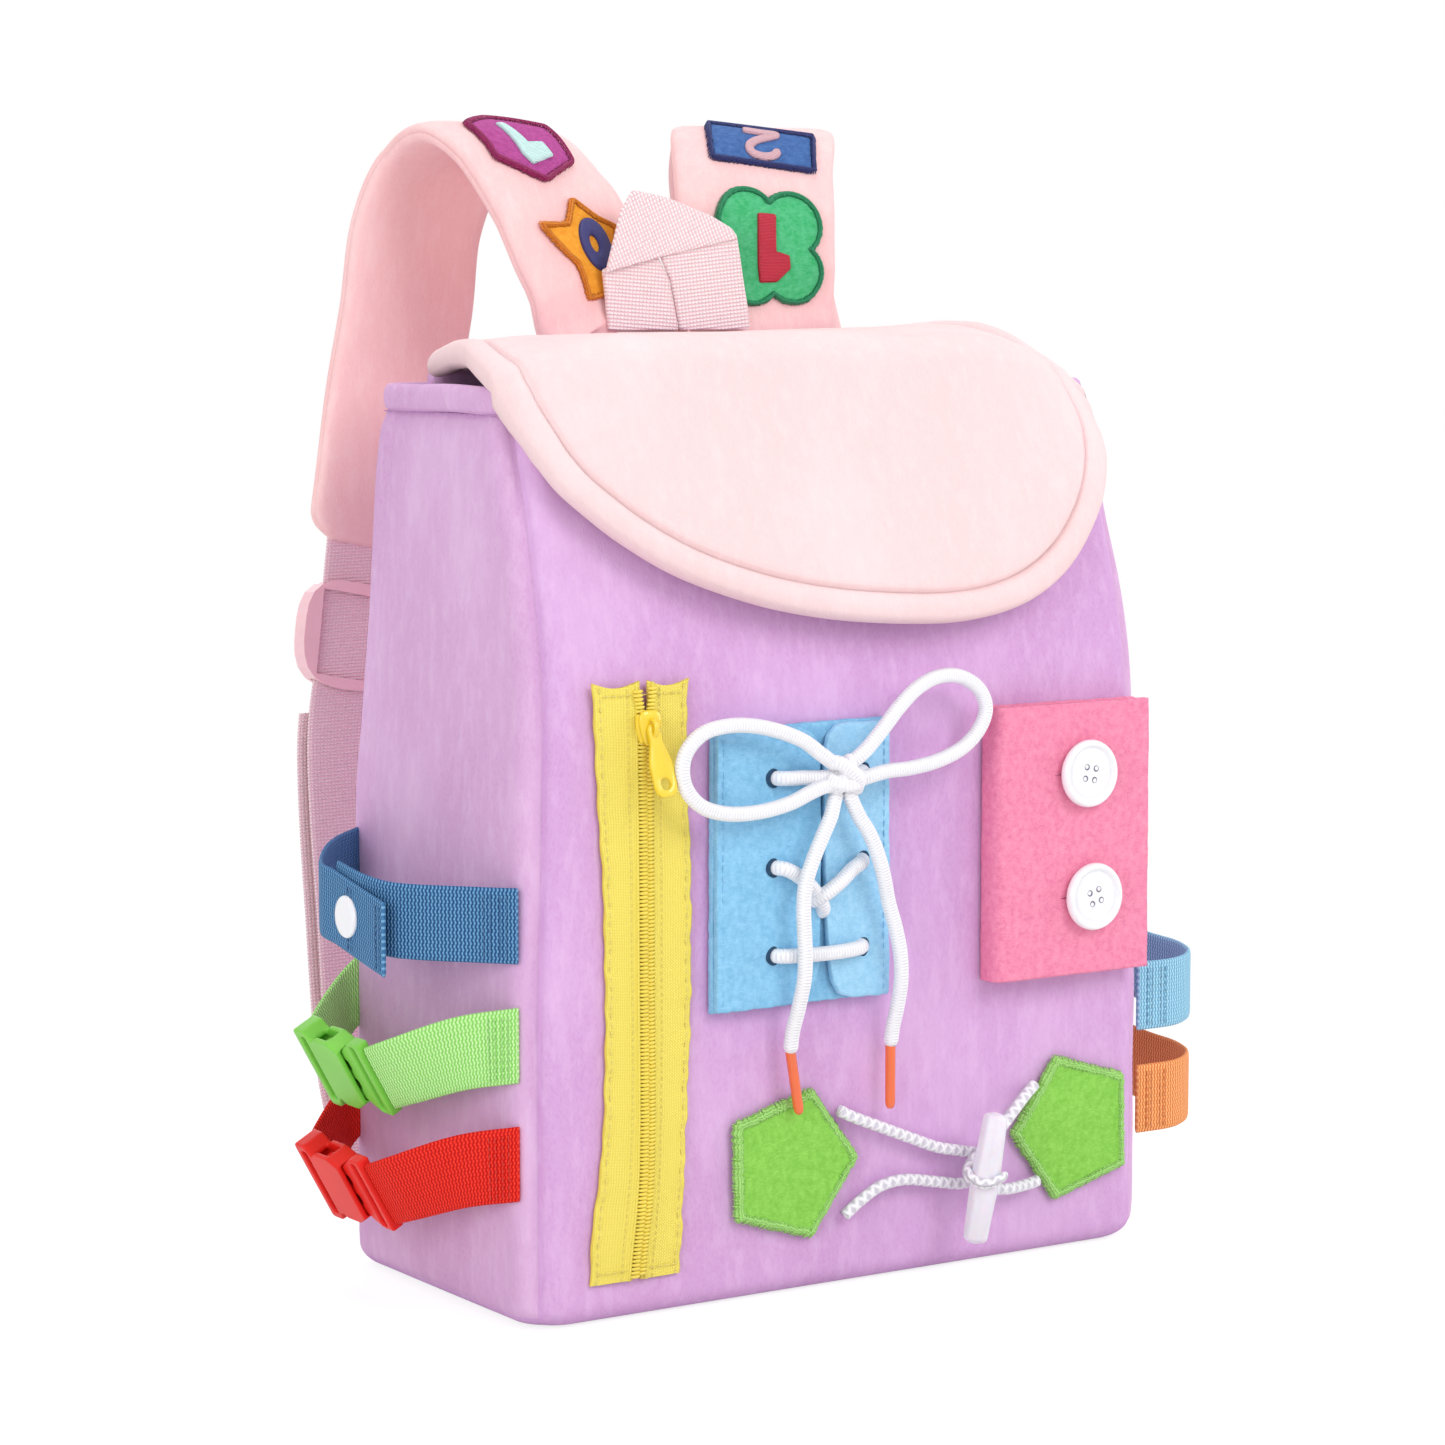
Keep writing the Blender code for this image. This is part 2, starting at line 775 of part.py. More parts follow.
pad_front = rim_back + seat_gap + handle_thickness + seat_gap + pad_thickness / 2
left_drift_shares = (0.00, 0.00, 0.06, 0.17, 0.31, 0.43, 0.54, 0.60, 0.70, 0.755, 0.86, 1.00)
right_drift_shares = (0.00, 0.00, 0.00, 0.00, 0.03, 0.12, 0.27, 0.38, 0.47, 0.54, 0.68, 0.82)
depth_shares = (0.00, 0.00, 0.035, 0.07, 0.14, 0.34, 0.60, 0.86, 0.98, 1.00, 0.98, 0.91)
rise_shares = (-0.20, 0.18, 0.30, 0.50, 0.73, 0.93, 1.00, 0.88, 0.62, 0.28, -0.12, -0.70)
web_fall_shares = ((0.88, 0.58), (0.70, 0.25), (0.35, 0.092), (0.053, 0.036), (0.0, 0.0))


def strap_path(hand, count=31):
    """Centre line of a shoulder pad: up from the yoke, back over an arch and down."""
    root = strap_centre + hand * strap_root_spread
    points = []
    drift_shares = left_drift_shares if hand < 0 else right_drift_shares
    for drift, depth, rise in zip(drift_shares, depth_shares, rise_shares):
        z = body_height + strap_rise * rise * (1 - pad_thickness / strap_rise / 2)
        points.append((root + hand * strap_drift * drift, pad_front + strap_depth * depth, z))
    return even(catmull(points, 120), count)


def strap_across(hand, turn):
    """Width direction of a strap whose outer edge is turned forwards by an angle."""
    return Vector((math.cos(turn), -hand * math.sin(turn), 0.0))


def pad_toe(share):
    """A pad lies flat on the back at its root and turns out once it is clear of the yoke."""
    return strap_toe_angle * min(1.0, max(0.0, share - strap_toe_start) / strap_toe_length)


pad_section_shares = ((-1.0, 0.0), (-0.96, 0.55), (-0.86, 0.92), (0.0, 1.0), (0.86, 0.92), (0.96, 0.55),
                      (1.0, 0.0), (0.96, -0.55), (0.86, -0.92), (0.0, -1.0), (-0.86, -0.92), (-0.96, -0.55))


def strap_frames(path, hand, turn=pad_toe):
    """Side and face directions along a strap; `turn` gives its toe-out at a share of its length."""
    frames = []
    for i, point in enumerate(path):
        across = strap_across(hand, turn(i / (len(path) - 1)))
        ahead = (path[min(i + 1, len(path) - 1)] - path[max(i - 1, 0)]).normalized()
        side = (across - ahead * across.dot(ahead)).normalized()
        frames.append((point, side, side.cross(ahead).normalized()))
    return frames


def make_pad(hand, name):
    """Shoulder pad: a flat padded tube with rounded edges and a rounded lower end."""
    frames = strap_frames(strap_path(hand), hand)
    rings = []
    last = len(frames) - 1
    for i, (point, side, face) in enumerate(frames):
        narrow = 0.80 if i == last else (0.97 if i == last - 1 else 1.0)
        thin = 0.62 if i in (0, last) else 1.0
        ring = [point + side * (a * narrow * pad_width / 2) + face * (b * thin * pad_thickness / 2)
                for a, b in pad_section_shares]
        rings.append(ring)
    mesh_data = bmesh.new()
    add_loft(mesh_data, rings)
    return add_object(name, mesh_data, pink_pad, cloth_rough, math.radians(50))


hexagon_shares = ((-0.50, -0.10), (-0.42, 0.32), (0.05, 0.44), (0.50, 0.10), (0.40, -0.34), (-0.08, -0.44))
star_shares = ((-0.50, 0.41), (-0.12, 0.32), (0.03, 0.45), (0.25, 0.20), (0.42, 0.07), (0.29, -0.12),
               (0.38, -0.52), (0.02, -0.25), (-0.30, -0.20), (-0.26, 0.09))
block_shares = ((-0.49, -0.34), (0.49, -0.34), (0.49, 0.34), (-0.49, 0.34))


def clover_outline(size, count=24):
    """Four round lobes."""
    points = []
    for i in range(count):
        turn = 2 * math.pi * i / count
        reach = size / 2 * (0.80 + 0.20 * math.cos(4 * (turn - math.pi / 4)))
        points.append((reach * math.cos(turn), reach * math.sin(turn)))
    return points


def wrapped(hand, share, lift):
    """A function that lays a flat (across, up) pattern on a pad's curved outer face."""
    fine = 240
    frames = strap_frames(strap_path(hand, fine + 1), hand)
    lengths = [0.0]
    for a, b in zip(frames, frames[1:]):
        lengths.append(lengths[-1] + (b[0] - a[0]).length)
    middle = lengths[round(share * fine)]

    def place(x, z, depth):
        """Pattern up runs away from the strap's root."""
        target = min(max(middle + z, 0.0), lengths[-1])
        k = next(i for i in range(fine) if lengths[i + 1] >= target or i == fine - 1)
        t = (target - lengths[k]) / (lengths[k + 1] - lengths[k])
        point = frames[k][0].lerp(frames[k + 1][0], t)
        side = frames[k][1].lerp(frames[k + 1][1], t).normalized()
        face = frames[k][2].lerp(frames[k + 1][2], t).normalized()
        crown = pad_thickness / 2 * (1 - 0.08 * (abs(x) / (0.43 * pad_width)))
        return point + side * x + face * (crown + lift + depth)
    return place


def add_patch(name, hand, share, outline, colour, step):
    """An embroidered patch laid on the pad's curve."""
    mesh_data = bmesh.new()
    place = wrapped(hand, share, patch_lift)
    dense = []
    for a, b in zip(outline, outline[1:] + outline[:1]):
        parts = max(1, round(math.hypot(b[0] - a[0], b[1] - a[1]) / step))
        for i in range(parts):
            t = i / parts
            dense.append((a[0] + (b[0] - a[0]) * t, a[1] + (b[1] - a[1]) * t))
    centre_low = mesh_data.verts.new(place(0.0, 0.0, 0.0))
    centre_high = mesh_data.verts.new(place(0.0, 0.0, patch_thickness))
    low, high = [], []
    for share_out in (1 / 3, 2 / 3, 1.0):
        low.append([mesh_data.verts.new(place(x * share_out, z * share_out, 0.0)) for x, z in dense])
        high.append([mesh_data.verts.new(place(x * share_out, z * share_out, patch_thickness))
                     for x, z in dense])
    count = len(dense)
    for j in range(count):
        k = (j + 1) % count
        for centre, rings in ((centre_low, low), (centre_high, high)):
            mesh_data.faces.new((centre, rings[0][j], rings[0][k]))
            for inner, outer in zip(rings, rings[1:]):
                mesh_data.faces.new((inner[j], outer[j], outer[k], inner[k]))
        mesh_data.faces.new((low[-1][j], low[-1][k], high[-1][k], high[-1][j]))
    return add_object(name, mesh_data, colour, felt_rough)


def make_strap_webbing(hand, name):
    """Webbing from a pad's lower end, straight through its adjuster, to the bottom corner."""
    path = strap_path(hand)
    end, side, _ = strap_frames(path, hand)[-1]
    away = (end - path[-2]).normalized()
    start = end + away * seat_gap + side * (hand * strap_web_shift)
    straight = adjuster_height * 1.9
    direction = Vector((hand * strap_web_drift, -straight * strap_web_slope, -straight)).normalized()
    knee = start + direction * straight
    foot = Vector((hand * (body_width / 2 - anchor_inset), back_face + web_thickness / 2 + seat_gap,
                   anchor_height))
    points = [start.lerp(knee, 0.5), knee]
    for out, up in web_fall_shares:
        points.append(Vector((foot.x, foot.y + (knee.y - foot.y) * out, foot.z + (knee.z - foot.z) * up)))
    upper = [start.lerp(knee, i / 3) for i in range(4)]
    lower = [point for point in even(catmull(points, 60), 16) if point.z < knee.z - web_thickness]
    line = upper + lower
    across = [frame[1] for frame in strap_frames(line, hand, lambda share: strap_web_toe_angle)]
    add_strip(name, line, across, web_width, web_thickness, pink_web)
    return start, direction


def make_adjuster(hand, name, start, direction):
    """Oval three-bar slide: side rails join a middle bar behind the webbing to end bars before it."""
    across = strap_across(hand, strap_web_toe_angle)
    side = (across - direction * across.dot(direction)).normalized()
    face = side.cross(direction).normalized()
    centre = start + direction * (adjuster_height * 0.85)
    place = Matrix((side, face, -direction)).transposed().to_4x4()
    place.translation = centre
    half = adjuster_thickness / 2
    mesh_data = bmesh.new()
    outline = []
    for i in range(28):
        x, z = math.cos(2 * math.pi * i / 28), math.sin(2 * math.pi * i / 28)
        reach = (abs(x) ** adjuster_square + abs(z) ** adjuster_square) ** (-1 / adjuster_square)
        outline.append((adjuster_width / 2 * x * reach, adjuster_height / 2 * z * reach))
    add_prism(mesh_data, outline, -half, half, place)
    thing = add_object(name, mesh_data, pink_web, plastic_rough, math.radians(40))
    slot = web_width / 2 + adjuster_fit
    deep = web_thickness / 2 + adjuster_fit
    window = adjuster_height / 2 - adjuster_bar
    clear = adjuster_fit / 3
    cut(thing, name + "_channel", box_outline(-slot, slot, -adjuster_height, adjuster_height), -deep, deep,
        place)
    bar = adjuster_bar / 2
    narrow = slot - clear
    wide = slot + clear
    cut(thing, name + "_front_window", box_outline(-narrow, narrow, bar, window - clear), -half - overrun,
        deep - clear, place)
    cut(thing, name + "_rear_window", box_outline(-narrow, narrow, clear - window, -bar), -half - overrun,
        deep - clear, place)
    cut(thing, name + "_middle", box_outline(-wide, wide, -window, window), 0.0, half + overrun, place)
    return centre


def make_straps():
    """Both shoulder straps with their patches, webbing and adjusters."""
    for hand, word in ((-1, "left"), (1, "right")):
        make_pad(hand, word + "_strap_pad")
        start, direction = make_strap_webbing(hand, word + "_strap_webbing")
        make_adjuster(hand, word + "_adjuster", start, direction)
    step = patch_size / 7
    size = patch_size
    hexagon = [(x * size, z * size) for x, z in hexagon_shares]
    star = [(x * size, z * size) for x, z in star_shares]
    block = [(x * size, z * size) for x, z in block_shares]
    add_patch("patch_seven", -1, 0.375, hexagon, magenta_patch, step)
    add_patch("patch_six", -1, 0.228, star, star_patch, step)
    add_patch("patch_two", 1, 0.365, block, block_patch, step)
    add_patch("patch_one", 1, 0.224, clover_outline(size), clover_patch, size)


def make_zip():
    """Tape and coil halves, the slider that runs down them and its pull tab."""
    low = -front_face + seat_gap
    high = low + zip_tape_thickness
    top = zip_bottom + zip_length
    for hand, name in ((-1, "zip_tape_left"), (1, "zip_tape_right")):
        near = zip_centre + hand * zip_gap / 2
        coil = near + hand * zip_coil_width
        far = near + hand * zip_tape_width
        mesh_data = bmesh.new()
        section = [(near, low), (far, low), (far, high), (coil, high), (coil, high + zip_coil_height),
                   (near, high + zip_coil_height)]
        rings = [[Vector((x, -d, z)) for x, d in section]
                 for z in (zip_bottom, zip_bottom + zip_length / 2, top)]
        add_loft(mesh_data, rings)
        add_object(name, mesh_data, zip_yellow, web_rough)

    deck = high + zip_coil_height + slider_fit
    middle = zip_bottom + zip_length * slider_height_share
    outline = [(zip_centre + slider_width / 2 * x, middle + slider_length / 2 * z)
               for x, z in ((-0.62, 1.0), (0.62, 1.0), (1.0, 0.45), (0.72, -0.70), (0.35, -1.0),
                            (-0.35, -1.0),
                            (-0.72, -0.70), (-1.0, 0.45))]
    mesh_data = bmesh.new()
    add_prism(mesh_data, outline, high + slider_fit, deck + slider_wall)
    slider = add_object("zip_slider", mesh_data, zip_yellow, plastic_rough)
    channel = zip_coil_width + zip_gap / 2 + slider_fit
    cut(slider, "slider_channel", box_outline(zip_centre - channel, zip_centre + channel,
                                              middle - slider_length, middle + slider_length),
        high - overrun, deck)
    bridge_low = deck + slider_wall
    mesh_data = bmesh.new()
    legs = ((-1, 1), (1, 1))
    inner = bridge_length / 2 - bridge_wire
    arch = [(-bridge_length / 2, 0.0), (-bridge_length / 2, bridge_height),
            (bridge_length / 2, bridge_height),
            (bridge_length / 2, 0.0), (inner, 0.0), (inner, bridge_height - bridge_wire),
            (-inner, bridge_height - bridge_wire), (-inner, 0.0)]
    sink = slider_wall / 2
    rings = []
    for x in (-bridge_wire / 2, bridge_wire / 2):
        rings.append([Vector((zip_centre + x,
                              -(bridge_low - sink + (d if d else 0.0) + (sink if d else 0.0)),
                              middle + z)) for z, d in arch])
    add_loft(mesh_data, rings)
    join(slider, "slider_bridge", mesh_data)

    pin_z = middle - inner + bridge_wire * 0.9
    pin_d = bridge_low + (bridge_height - bridge_wire) / 2
    pin = Vector((zip_centre, -pin_d, pin_z))
    place = Matrix.Translation(pin) @ Matrix.Rotation(-pull_lift_angle, 4, "X")
    half = pull_thickness / 2
    ring = pull_width / 2
    outline = [(-ring * 0.62, pull_thickness * 0.4), (ring * 0.62, pull_thickness * 0.4),
               (ring, -pull_length * 0.30),
               (ring * 0.94, -pull_length * 0.94), (ring * 0.6, -pull_length), (-ring * 0.6, -pull_length),
               (-ring * 0.94, -pull_length * 0.94), (-ring, -pull_length * 0.30)]
    mesh_data = bmesh.new()
    add_prism(mesh_data, outline, -half, half, place)
    pull = add_object("zip_pull_tab", mesh_data, zip_yellow, plastic_rough)
    slot = bridge_wire / 2 + slider_fit
    cut(pull, "pull_slot", box_outline(-slot, slot, -pull_length * 0.17, pull_length), -half - overrun,
        half + overrun, place)
    cut(pull, "pull_ring_hole", circle_outline(0.0, -pull_length * 0.80, pull_hole, 12), -half - overrun,
        half + overrun, place)
    return pin


def rounded_door(left, right, bottom, top, rounded_side):
    """A door outline with its free side's corners rounded."""
    r = lace_corner
    arc = [math.radians(a) for a in (0, 30, 60, 90)]
    points = []
    if rounded_side > 0:
        points.append((left, bottom))
        points += [(right - r + r * math.sin(a), bottom + r - r * math.cos(a)) for a in arc]
        points += [(right - r + r * math.cos(a), top - r + r * math.sin(a)) for a in arc]
        points.append((left, top))
    else:
        points += [(left + r - r * math.cos(a), bottom + r - r * math.sin(a)) for a in arc]
        points.append((right, bottom))
        points.append((right, top))
        points += [(left + r - r * math.sin(a), top - r + r * math.cos(a)) for a in arc]
    return points


lace_base_depth = -front_face + seat_gap
lace_flap_depth = lace_base_depth + felt + seat_gap
lace_face = lace_flap_depth + felt
lace_rows = [lace_bottom + lace_height * share for share in eyelet_rows_shares]


def make_lace_door():
    """Felt backing and two felt doors with three eyelets each."""
    right = lace_left + lace_width
    top = lace_bottom + lace_height
    mesh_data = bmesh.new()
    add_prism(mesh_data, box_outline(lace_left, right, lace_bottom, top), lace_base_depth,
              lace_base_depth + felt)
    add_object("lace_backing", mesh_data, sky_felt, felt_rough)
    edge = lace_flap_inset
    doors = (("lace_door_left", lace_left + edge, lace_flap_meet - seat_gap, 1, eyelet_left),
             ("lace_door_right", lace_flap_meet + seat_gap, right - edge, -1, eyelet_right))
    for name, low_x, high_x, rounded_side, eyelet in doors:
        mesh_data = bmesh.new()
        outline = rounded_door(low_x, high_x, lace_bottom + edge, top - edge, rounded_side)
        add_prism(mesh_data, outline, lace_flap_depth, lace_face)
        door = add_object(name, mesh_data, sky_felt, felt_rough)
        radius = lace_diameter / 2 + lace_hole_fit
        for i, z in enumerate(lace_rows):
            cut(door, f"{name}_eyelet_{i}", circle_outline(eyelet, z, radius, 10), lace_flap_depth - overrun,
                lace_face + overrun)


# Where the lace, the bow and the toggle cords run: hand-chosen points, metres
lacing_routes = (
    ((-0.0362, -0.0690, 0.1158), (-0.0300, -0.0690, 0.1158), (-0.0220, -0.0690, 0.1158),
     (-0.0140, -0.0690, 0.1158), (-0.0070, -0.0690, 0.1158), (-0.0008, -0.0690, 0.1158)),
    ((-0.0362, -0.0690, 0.1455), (-0.0310, -0.0690, 0.1425), (-0.0255, -0.0690, 0.1385),
     (-0.0205, -0.0690, 0.1330), (-0.0175, -0.0690, 0.1250), (-0.0170, -0.0690, 0.1165)),
    ((-0.0008, -0.0690, 0.1455), (-0.0060, -0.0692, 0.1425), (-0.0120, -0.0698, 0.1385),
     (-0.0190, -0.0702, 0.1330)),
)
stub_routes = (
    ((-0.0362, -0.0690, 0.1746), (-0.0315, -0.0692, 0.1746), (-0.0265, -0.0704, 0.1746),
     (-0.0215, -0.0718, 0.1746), (-0.0150, -0.0730, 0.1750)),
    ((-0.0008, -0.0690, 0.1746), (-0.0040, -0.0696, 0.1746), (-0.0080, -0.0712, 0.1748),
     (-0.0130, -0.0728, 0.1750)),
)
left_loop_route = (
    (-0.0170, -0.0738, 0.1785), (-0.0205, -0.0745, 0.1805), (-0.0245, -0.0752, 0.1830),
    (-0.0320, -0.0748, 0.1880), (-0.0440, -0.0738, 0.1922), (-0.0560, -0.0728, 0.1938),
    (-0.0670, -0.0722, 0.1922), (-0.0738, -0.0720, 0.1868), (-0.0758, -0.0720, 0.1800),
    (-0.0738, -0.0722, 0.1732), (-0.0680, -0.0728, 0.1678), (-0.0585, -0.0734, 0.1652),
    (-0.0470, -0.0740, 0.1652), (-0.0360, -0.0745, 0.1672), (-0.0280, -0.0748, 0.1702),
    (-0.0226, -0.0747, 0.1718), (-0.0165, -0.0738, 0.1720))
right_loop_route = (
    (-0.0110, -0.0738, 0.1790), (-0.0080, -0.0746, 0.1812), (-0.0045, -0.0750, 0.1842),
    (0.0010, -0.0752, 0.1898), (0.0075, -0.0748, 0.1962), (0.0155, -0.0738, 0.2020),
    (0.0245, -0.0728, 0.2052), (0.0340, -0.0720, 0.2050), (0.0425, -0.0716, 0.2005),
    (0.0458, -0.0716, 0.1935), (0.0425, -0.0718, 0.1862), (0.0350, -0.0724, 0.1806),
    (0.0245, -0.0732, 0.1772), (0.0130, -0.0740, 0.1756), (0.0025, -0.0746, 0.1752),
    (-0.0058, -0.0748, 0.1738), (-0.0115, -0.0738, 0.1722))
bow_routes = (left_loop_route, right_loop_route) + stub_routes
left_tail_route = (
    (-0.0175, -0.0738, 0.1662), (-0.0198, -0.0748, 0.1618), (-0.0232, -0.0750, 0.1556),
    (-0.0268, -0.0748, 0.1480), (-0.0296, -0.0746, 0.1400), (-0.0304, -0.0747, 0.1320),
    (-0.0300, -0.0746, 0.1240), (-0.0297, -0.0747, 0.1160), (-0.0297, -0.0740, 0.1080),
    (-0.0300, -0.0712, 0.0985), (-0.0305, -0.0686, 0.0905), (-0.0305, -0.0672, 0.0835))
right_tail_route = (
    (-0.0113, -0.0738, 0.1676), (-0.0080, -0.0738, 0.1612), (-0.0040, -0.0744, 0.1550),
    (-0.0010, -0.0750, 0.1480), (0.0020, -0.0744, 0.1400), (0.0050, -0.0730, 0.1310),
    (0.0078, -0.0732, 0.1220), (0.0098, -0.0732, 0.1130), (0.0108, -0.0722, 0.1040),
    (0.0110, -0.0698, 0.0950), (0.0107, -0.0678, 0.0880), (0.0104, -0.0668, 0.0815))
left_cord_route = (
    (-0.0085, -0.0640, 0.0608), (-0.0030, -0.0642, 0.0580), (0.0090, -0.0642, 0.0530),
    (0.0210, -0.0642, 0.0480), (0.0320, -0.0642, 0.0436), (0.0420, -0.0642, 0.0412),
    (0.0490, -0.0642, 0.0392), (0.0518, -0.0642, 0.0352), (0.0490, -0.0642, 0.0312),
    (0.0420, -0.0642, 0.0298), (0.0310, -0.0642, 0.0318), (0.0190, -0.0642, 0.0340),
    (0.0090, -0.0642, 0.0332), (0.0010, -0.0642, 0.0296), (-0.0062, -0.0640, 0.0248))
right_cord_route = (
    (0.0738, -0.0638, 0.0606), (0.0705, -0.0646, 0.0586), (0.0650, -0.0668, 0.0556),
    (0.0575, -0.0686, 0.0500), (0.0500, -0.0688, 0.0435), (0.0440, -0.0688, 0.0385),
    (0.0418, -0.0688, 0.0345), (0.0445, -0.0688, 0.0302), (0.0515, -0.0688, 0.0276),
    (0.0590, -0.0684, 0.0266), (0.0660, -0.0662, 0.0262), (0.0715, -0.0646, 0.0262),
    (0.0752, -0.0640, 0.0266))


def joined_cords(name, routes):
    """Cords that meet, as one piece."""
    thing = add_object(name, cord_mesh(routes[0], lace_diameter), lace_white, web_rough, math.radians(60))
    for i, route in enumerate(routes[1:]):
        join(thing, f"{name}_strand_{i}", cord_mesh(route, lace_diameter))
    return thing


def make_lace():
    """Lacing with its knot, the bow's two loops, its two tails and their tips."""
    lacing = joined_cords("lacing", lacing_routes)
    knot = bmesh.new()
    bmesh.ops.create_uvsphere(knot, u_segments=14, v_segments=8, radius=0.5)
    size = Matrix.Diagonal((knot_width, knot_depth, knot_tall, 1.0))
    centre = Vector((knot_x, -(lace_face + lace_lift + bow_out / 2 - 0.2 * lace_diameter), knot_height))
    bmesh.ops.transform(knot, matrix=Matrix.Translation(centre) @ size, verts=knot.verts)
    bow = add_object("bow", knot, lace_white, web_rough, math.radians(60))
    for i, route in enumerate(bow_routes):
        join(bow, f"bow_strand_{i}", cord_mesh(route, lace_diameter))
    for thing, rows in ((lacing, lace_rows[:2]), (bow, lace_rows[2:])):
        for z in rows:
            for x in (eyelet_left, eyelet_right):
                end = bmesh.new()
                add_prism(end, circle_outline(x, z, lace_diameter / 2 * 0.96, 10),
                          lace_flap_depth + overrun / 4,
                          lace_face + lace_lift)
                join(thing, "eyelet_end", end)
    add_cords("lace_tail_left", (left_tail_route,), lace_diameter, lace_white)
    add_cords("lace_tail_right", (right_tail_route,), lace_diameter, lace_white)
    tips = (("aglet_left", left_tail_route, Vector((0.17, 0.0, -1.0))),
            ("aglet_right", right_tail_route, Vector((0.0, 0.0, -1.0))))
    for name, route, lean in tips:
        end = Vector(route[-1])
        down = lean.normalized()
        side = down.cross(Vector((0.0, 1.0, 0.0))).normalized()
        deep = down.cross(side)
        rings = []
        for share, wide in ((0.0, 1.0), (0.9, 0.94), (1.0, 0.7)):
            middle = end + down * (seat_gap * 2 + aglet_length * share)
            rings.append([middle + (side * math.cos(t) + deep * math.sin(t)) * (aglet_radius * wide)
                          for t in [2 * math.pi * i / 10 for i in range(10)]])
        tip = bmesh.new()
        add_loft(tip, rings)
        add_object(name, tip, aglet_orange, plastic_rough, math.radians(50))


def button_mesh(x, z, low):
    """A dished button with a raised rim and four holes, seen from -Y."""
    high = low + button_thickness
    profile = ((0.0, low), (0.72 * button_radius, low), (button_radius, low + 0.45 * button_thickness),
               (button_radius, high - 0.25 * button_thickness), (button_radius - 0.3 * button_rim, high),
               (button_radius - button_rim, high), (button_radius - 1.9 * button_rim,
                                                    high - button_dish), (0.0, high - button_dish))
    steps = 20
    mesh_data = bmesh.new()
    rings = [[Vector((x + r * math.cos(t), -d, z + r * math.sin(t)))
              for t in [2 * math.pi * i / steps for i in range(steps)]] for r, d in profile[1:-1]]
    add_loft(mesh_data, rings)
    return mesh_data


button_depth = -front_face + seat_gap + door_depth + seat_gap
button_places = [(door_left + door_width * a, door_bottom + door_height * b) for a,
                 b in button_places_shares]


def make_button_door():
    """Felt backing, the felt door folded at its left, and two buttons through its slits."""
    right, top = door_left + door_width, door_bottom + door_height
    low = -front_face + seat_gap
    mesh_data = bmesh.new()
    add_prism(mesh_data, box_outline(door_left + door_felt + seat_gap, right, door_bottom, top), low,
              low + door_felt)
    add_object("button_backing", mesh_data, rose_felt, felt_rough)
    mesh_data = bmesh.new()
    far = low + door_depth
    section = [(door_left, low), (door_left + door_felt, low), (door_left + door_felt, far - door_felt),
               (right, far - door_felt), (right, far), (door_left, far)]
    rings = [[Vector((x, -d, z)) for x, d in section] for z in (door_bottom, top)]
    add_loft(mesh_data, rings)
    door = add_object("button_door", mesh_data, rose_felt, felt_rough)
    for i, (x, z) in enumerate(button_places):
        outline = box_outline(x - slit_length / 2, x + slit_length / 2, z - slit_height / 2,
                              z + slit_height / 2)
        cut(door, f"button_slit_{i}", outline, far - door_felt - overrun, far + overrun)
    for name, (x, z) in zip(("button_upper", "button_lower"), button_places):
        button = add_object(name, button_mesh(x, z, button_depth), button_white, plastic_rough,
                            math.radians(35))
        for i in range(4):
            turn = math.pi / 4 + math.pi / 2 * i
            reach = button_hole_spacing
            hole = circle_outline(x + reach * math.cos(turn), z + reach * math.sin(turn), button_hole, 8)
            cut(button, f"{name}_hole_{i}", hole, button_depth - overrun,
                button_depth + button_thickness + overrun)
        shank = bmesh.new()
        add_prism(shank, circle_outline(x, z, shank_radius * 0.62, 8), low + door_felt + seat_gap,
                  button_depth + button_thickness / 4)
        join(button, name + "_shank", shank)


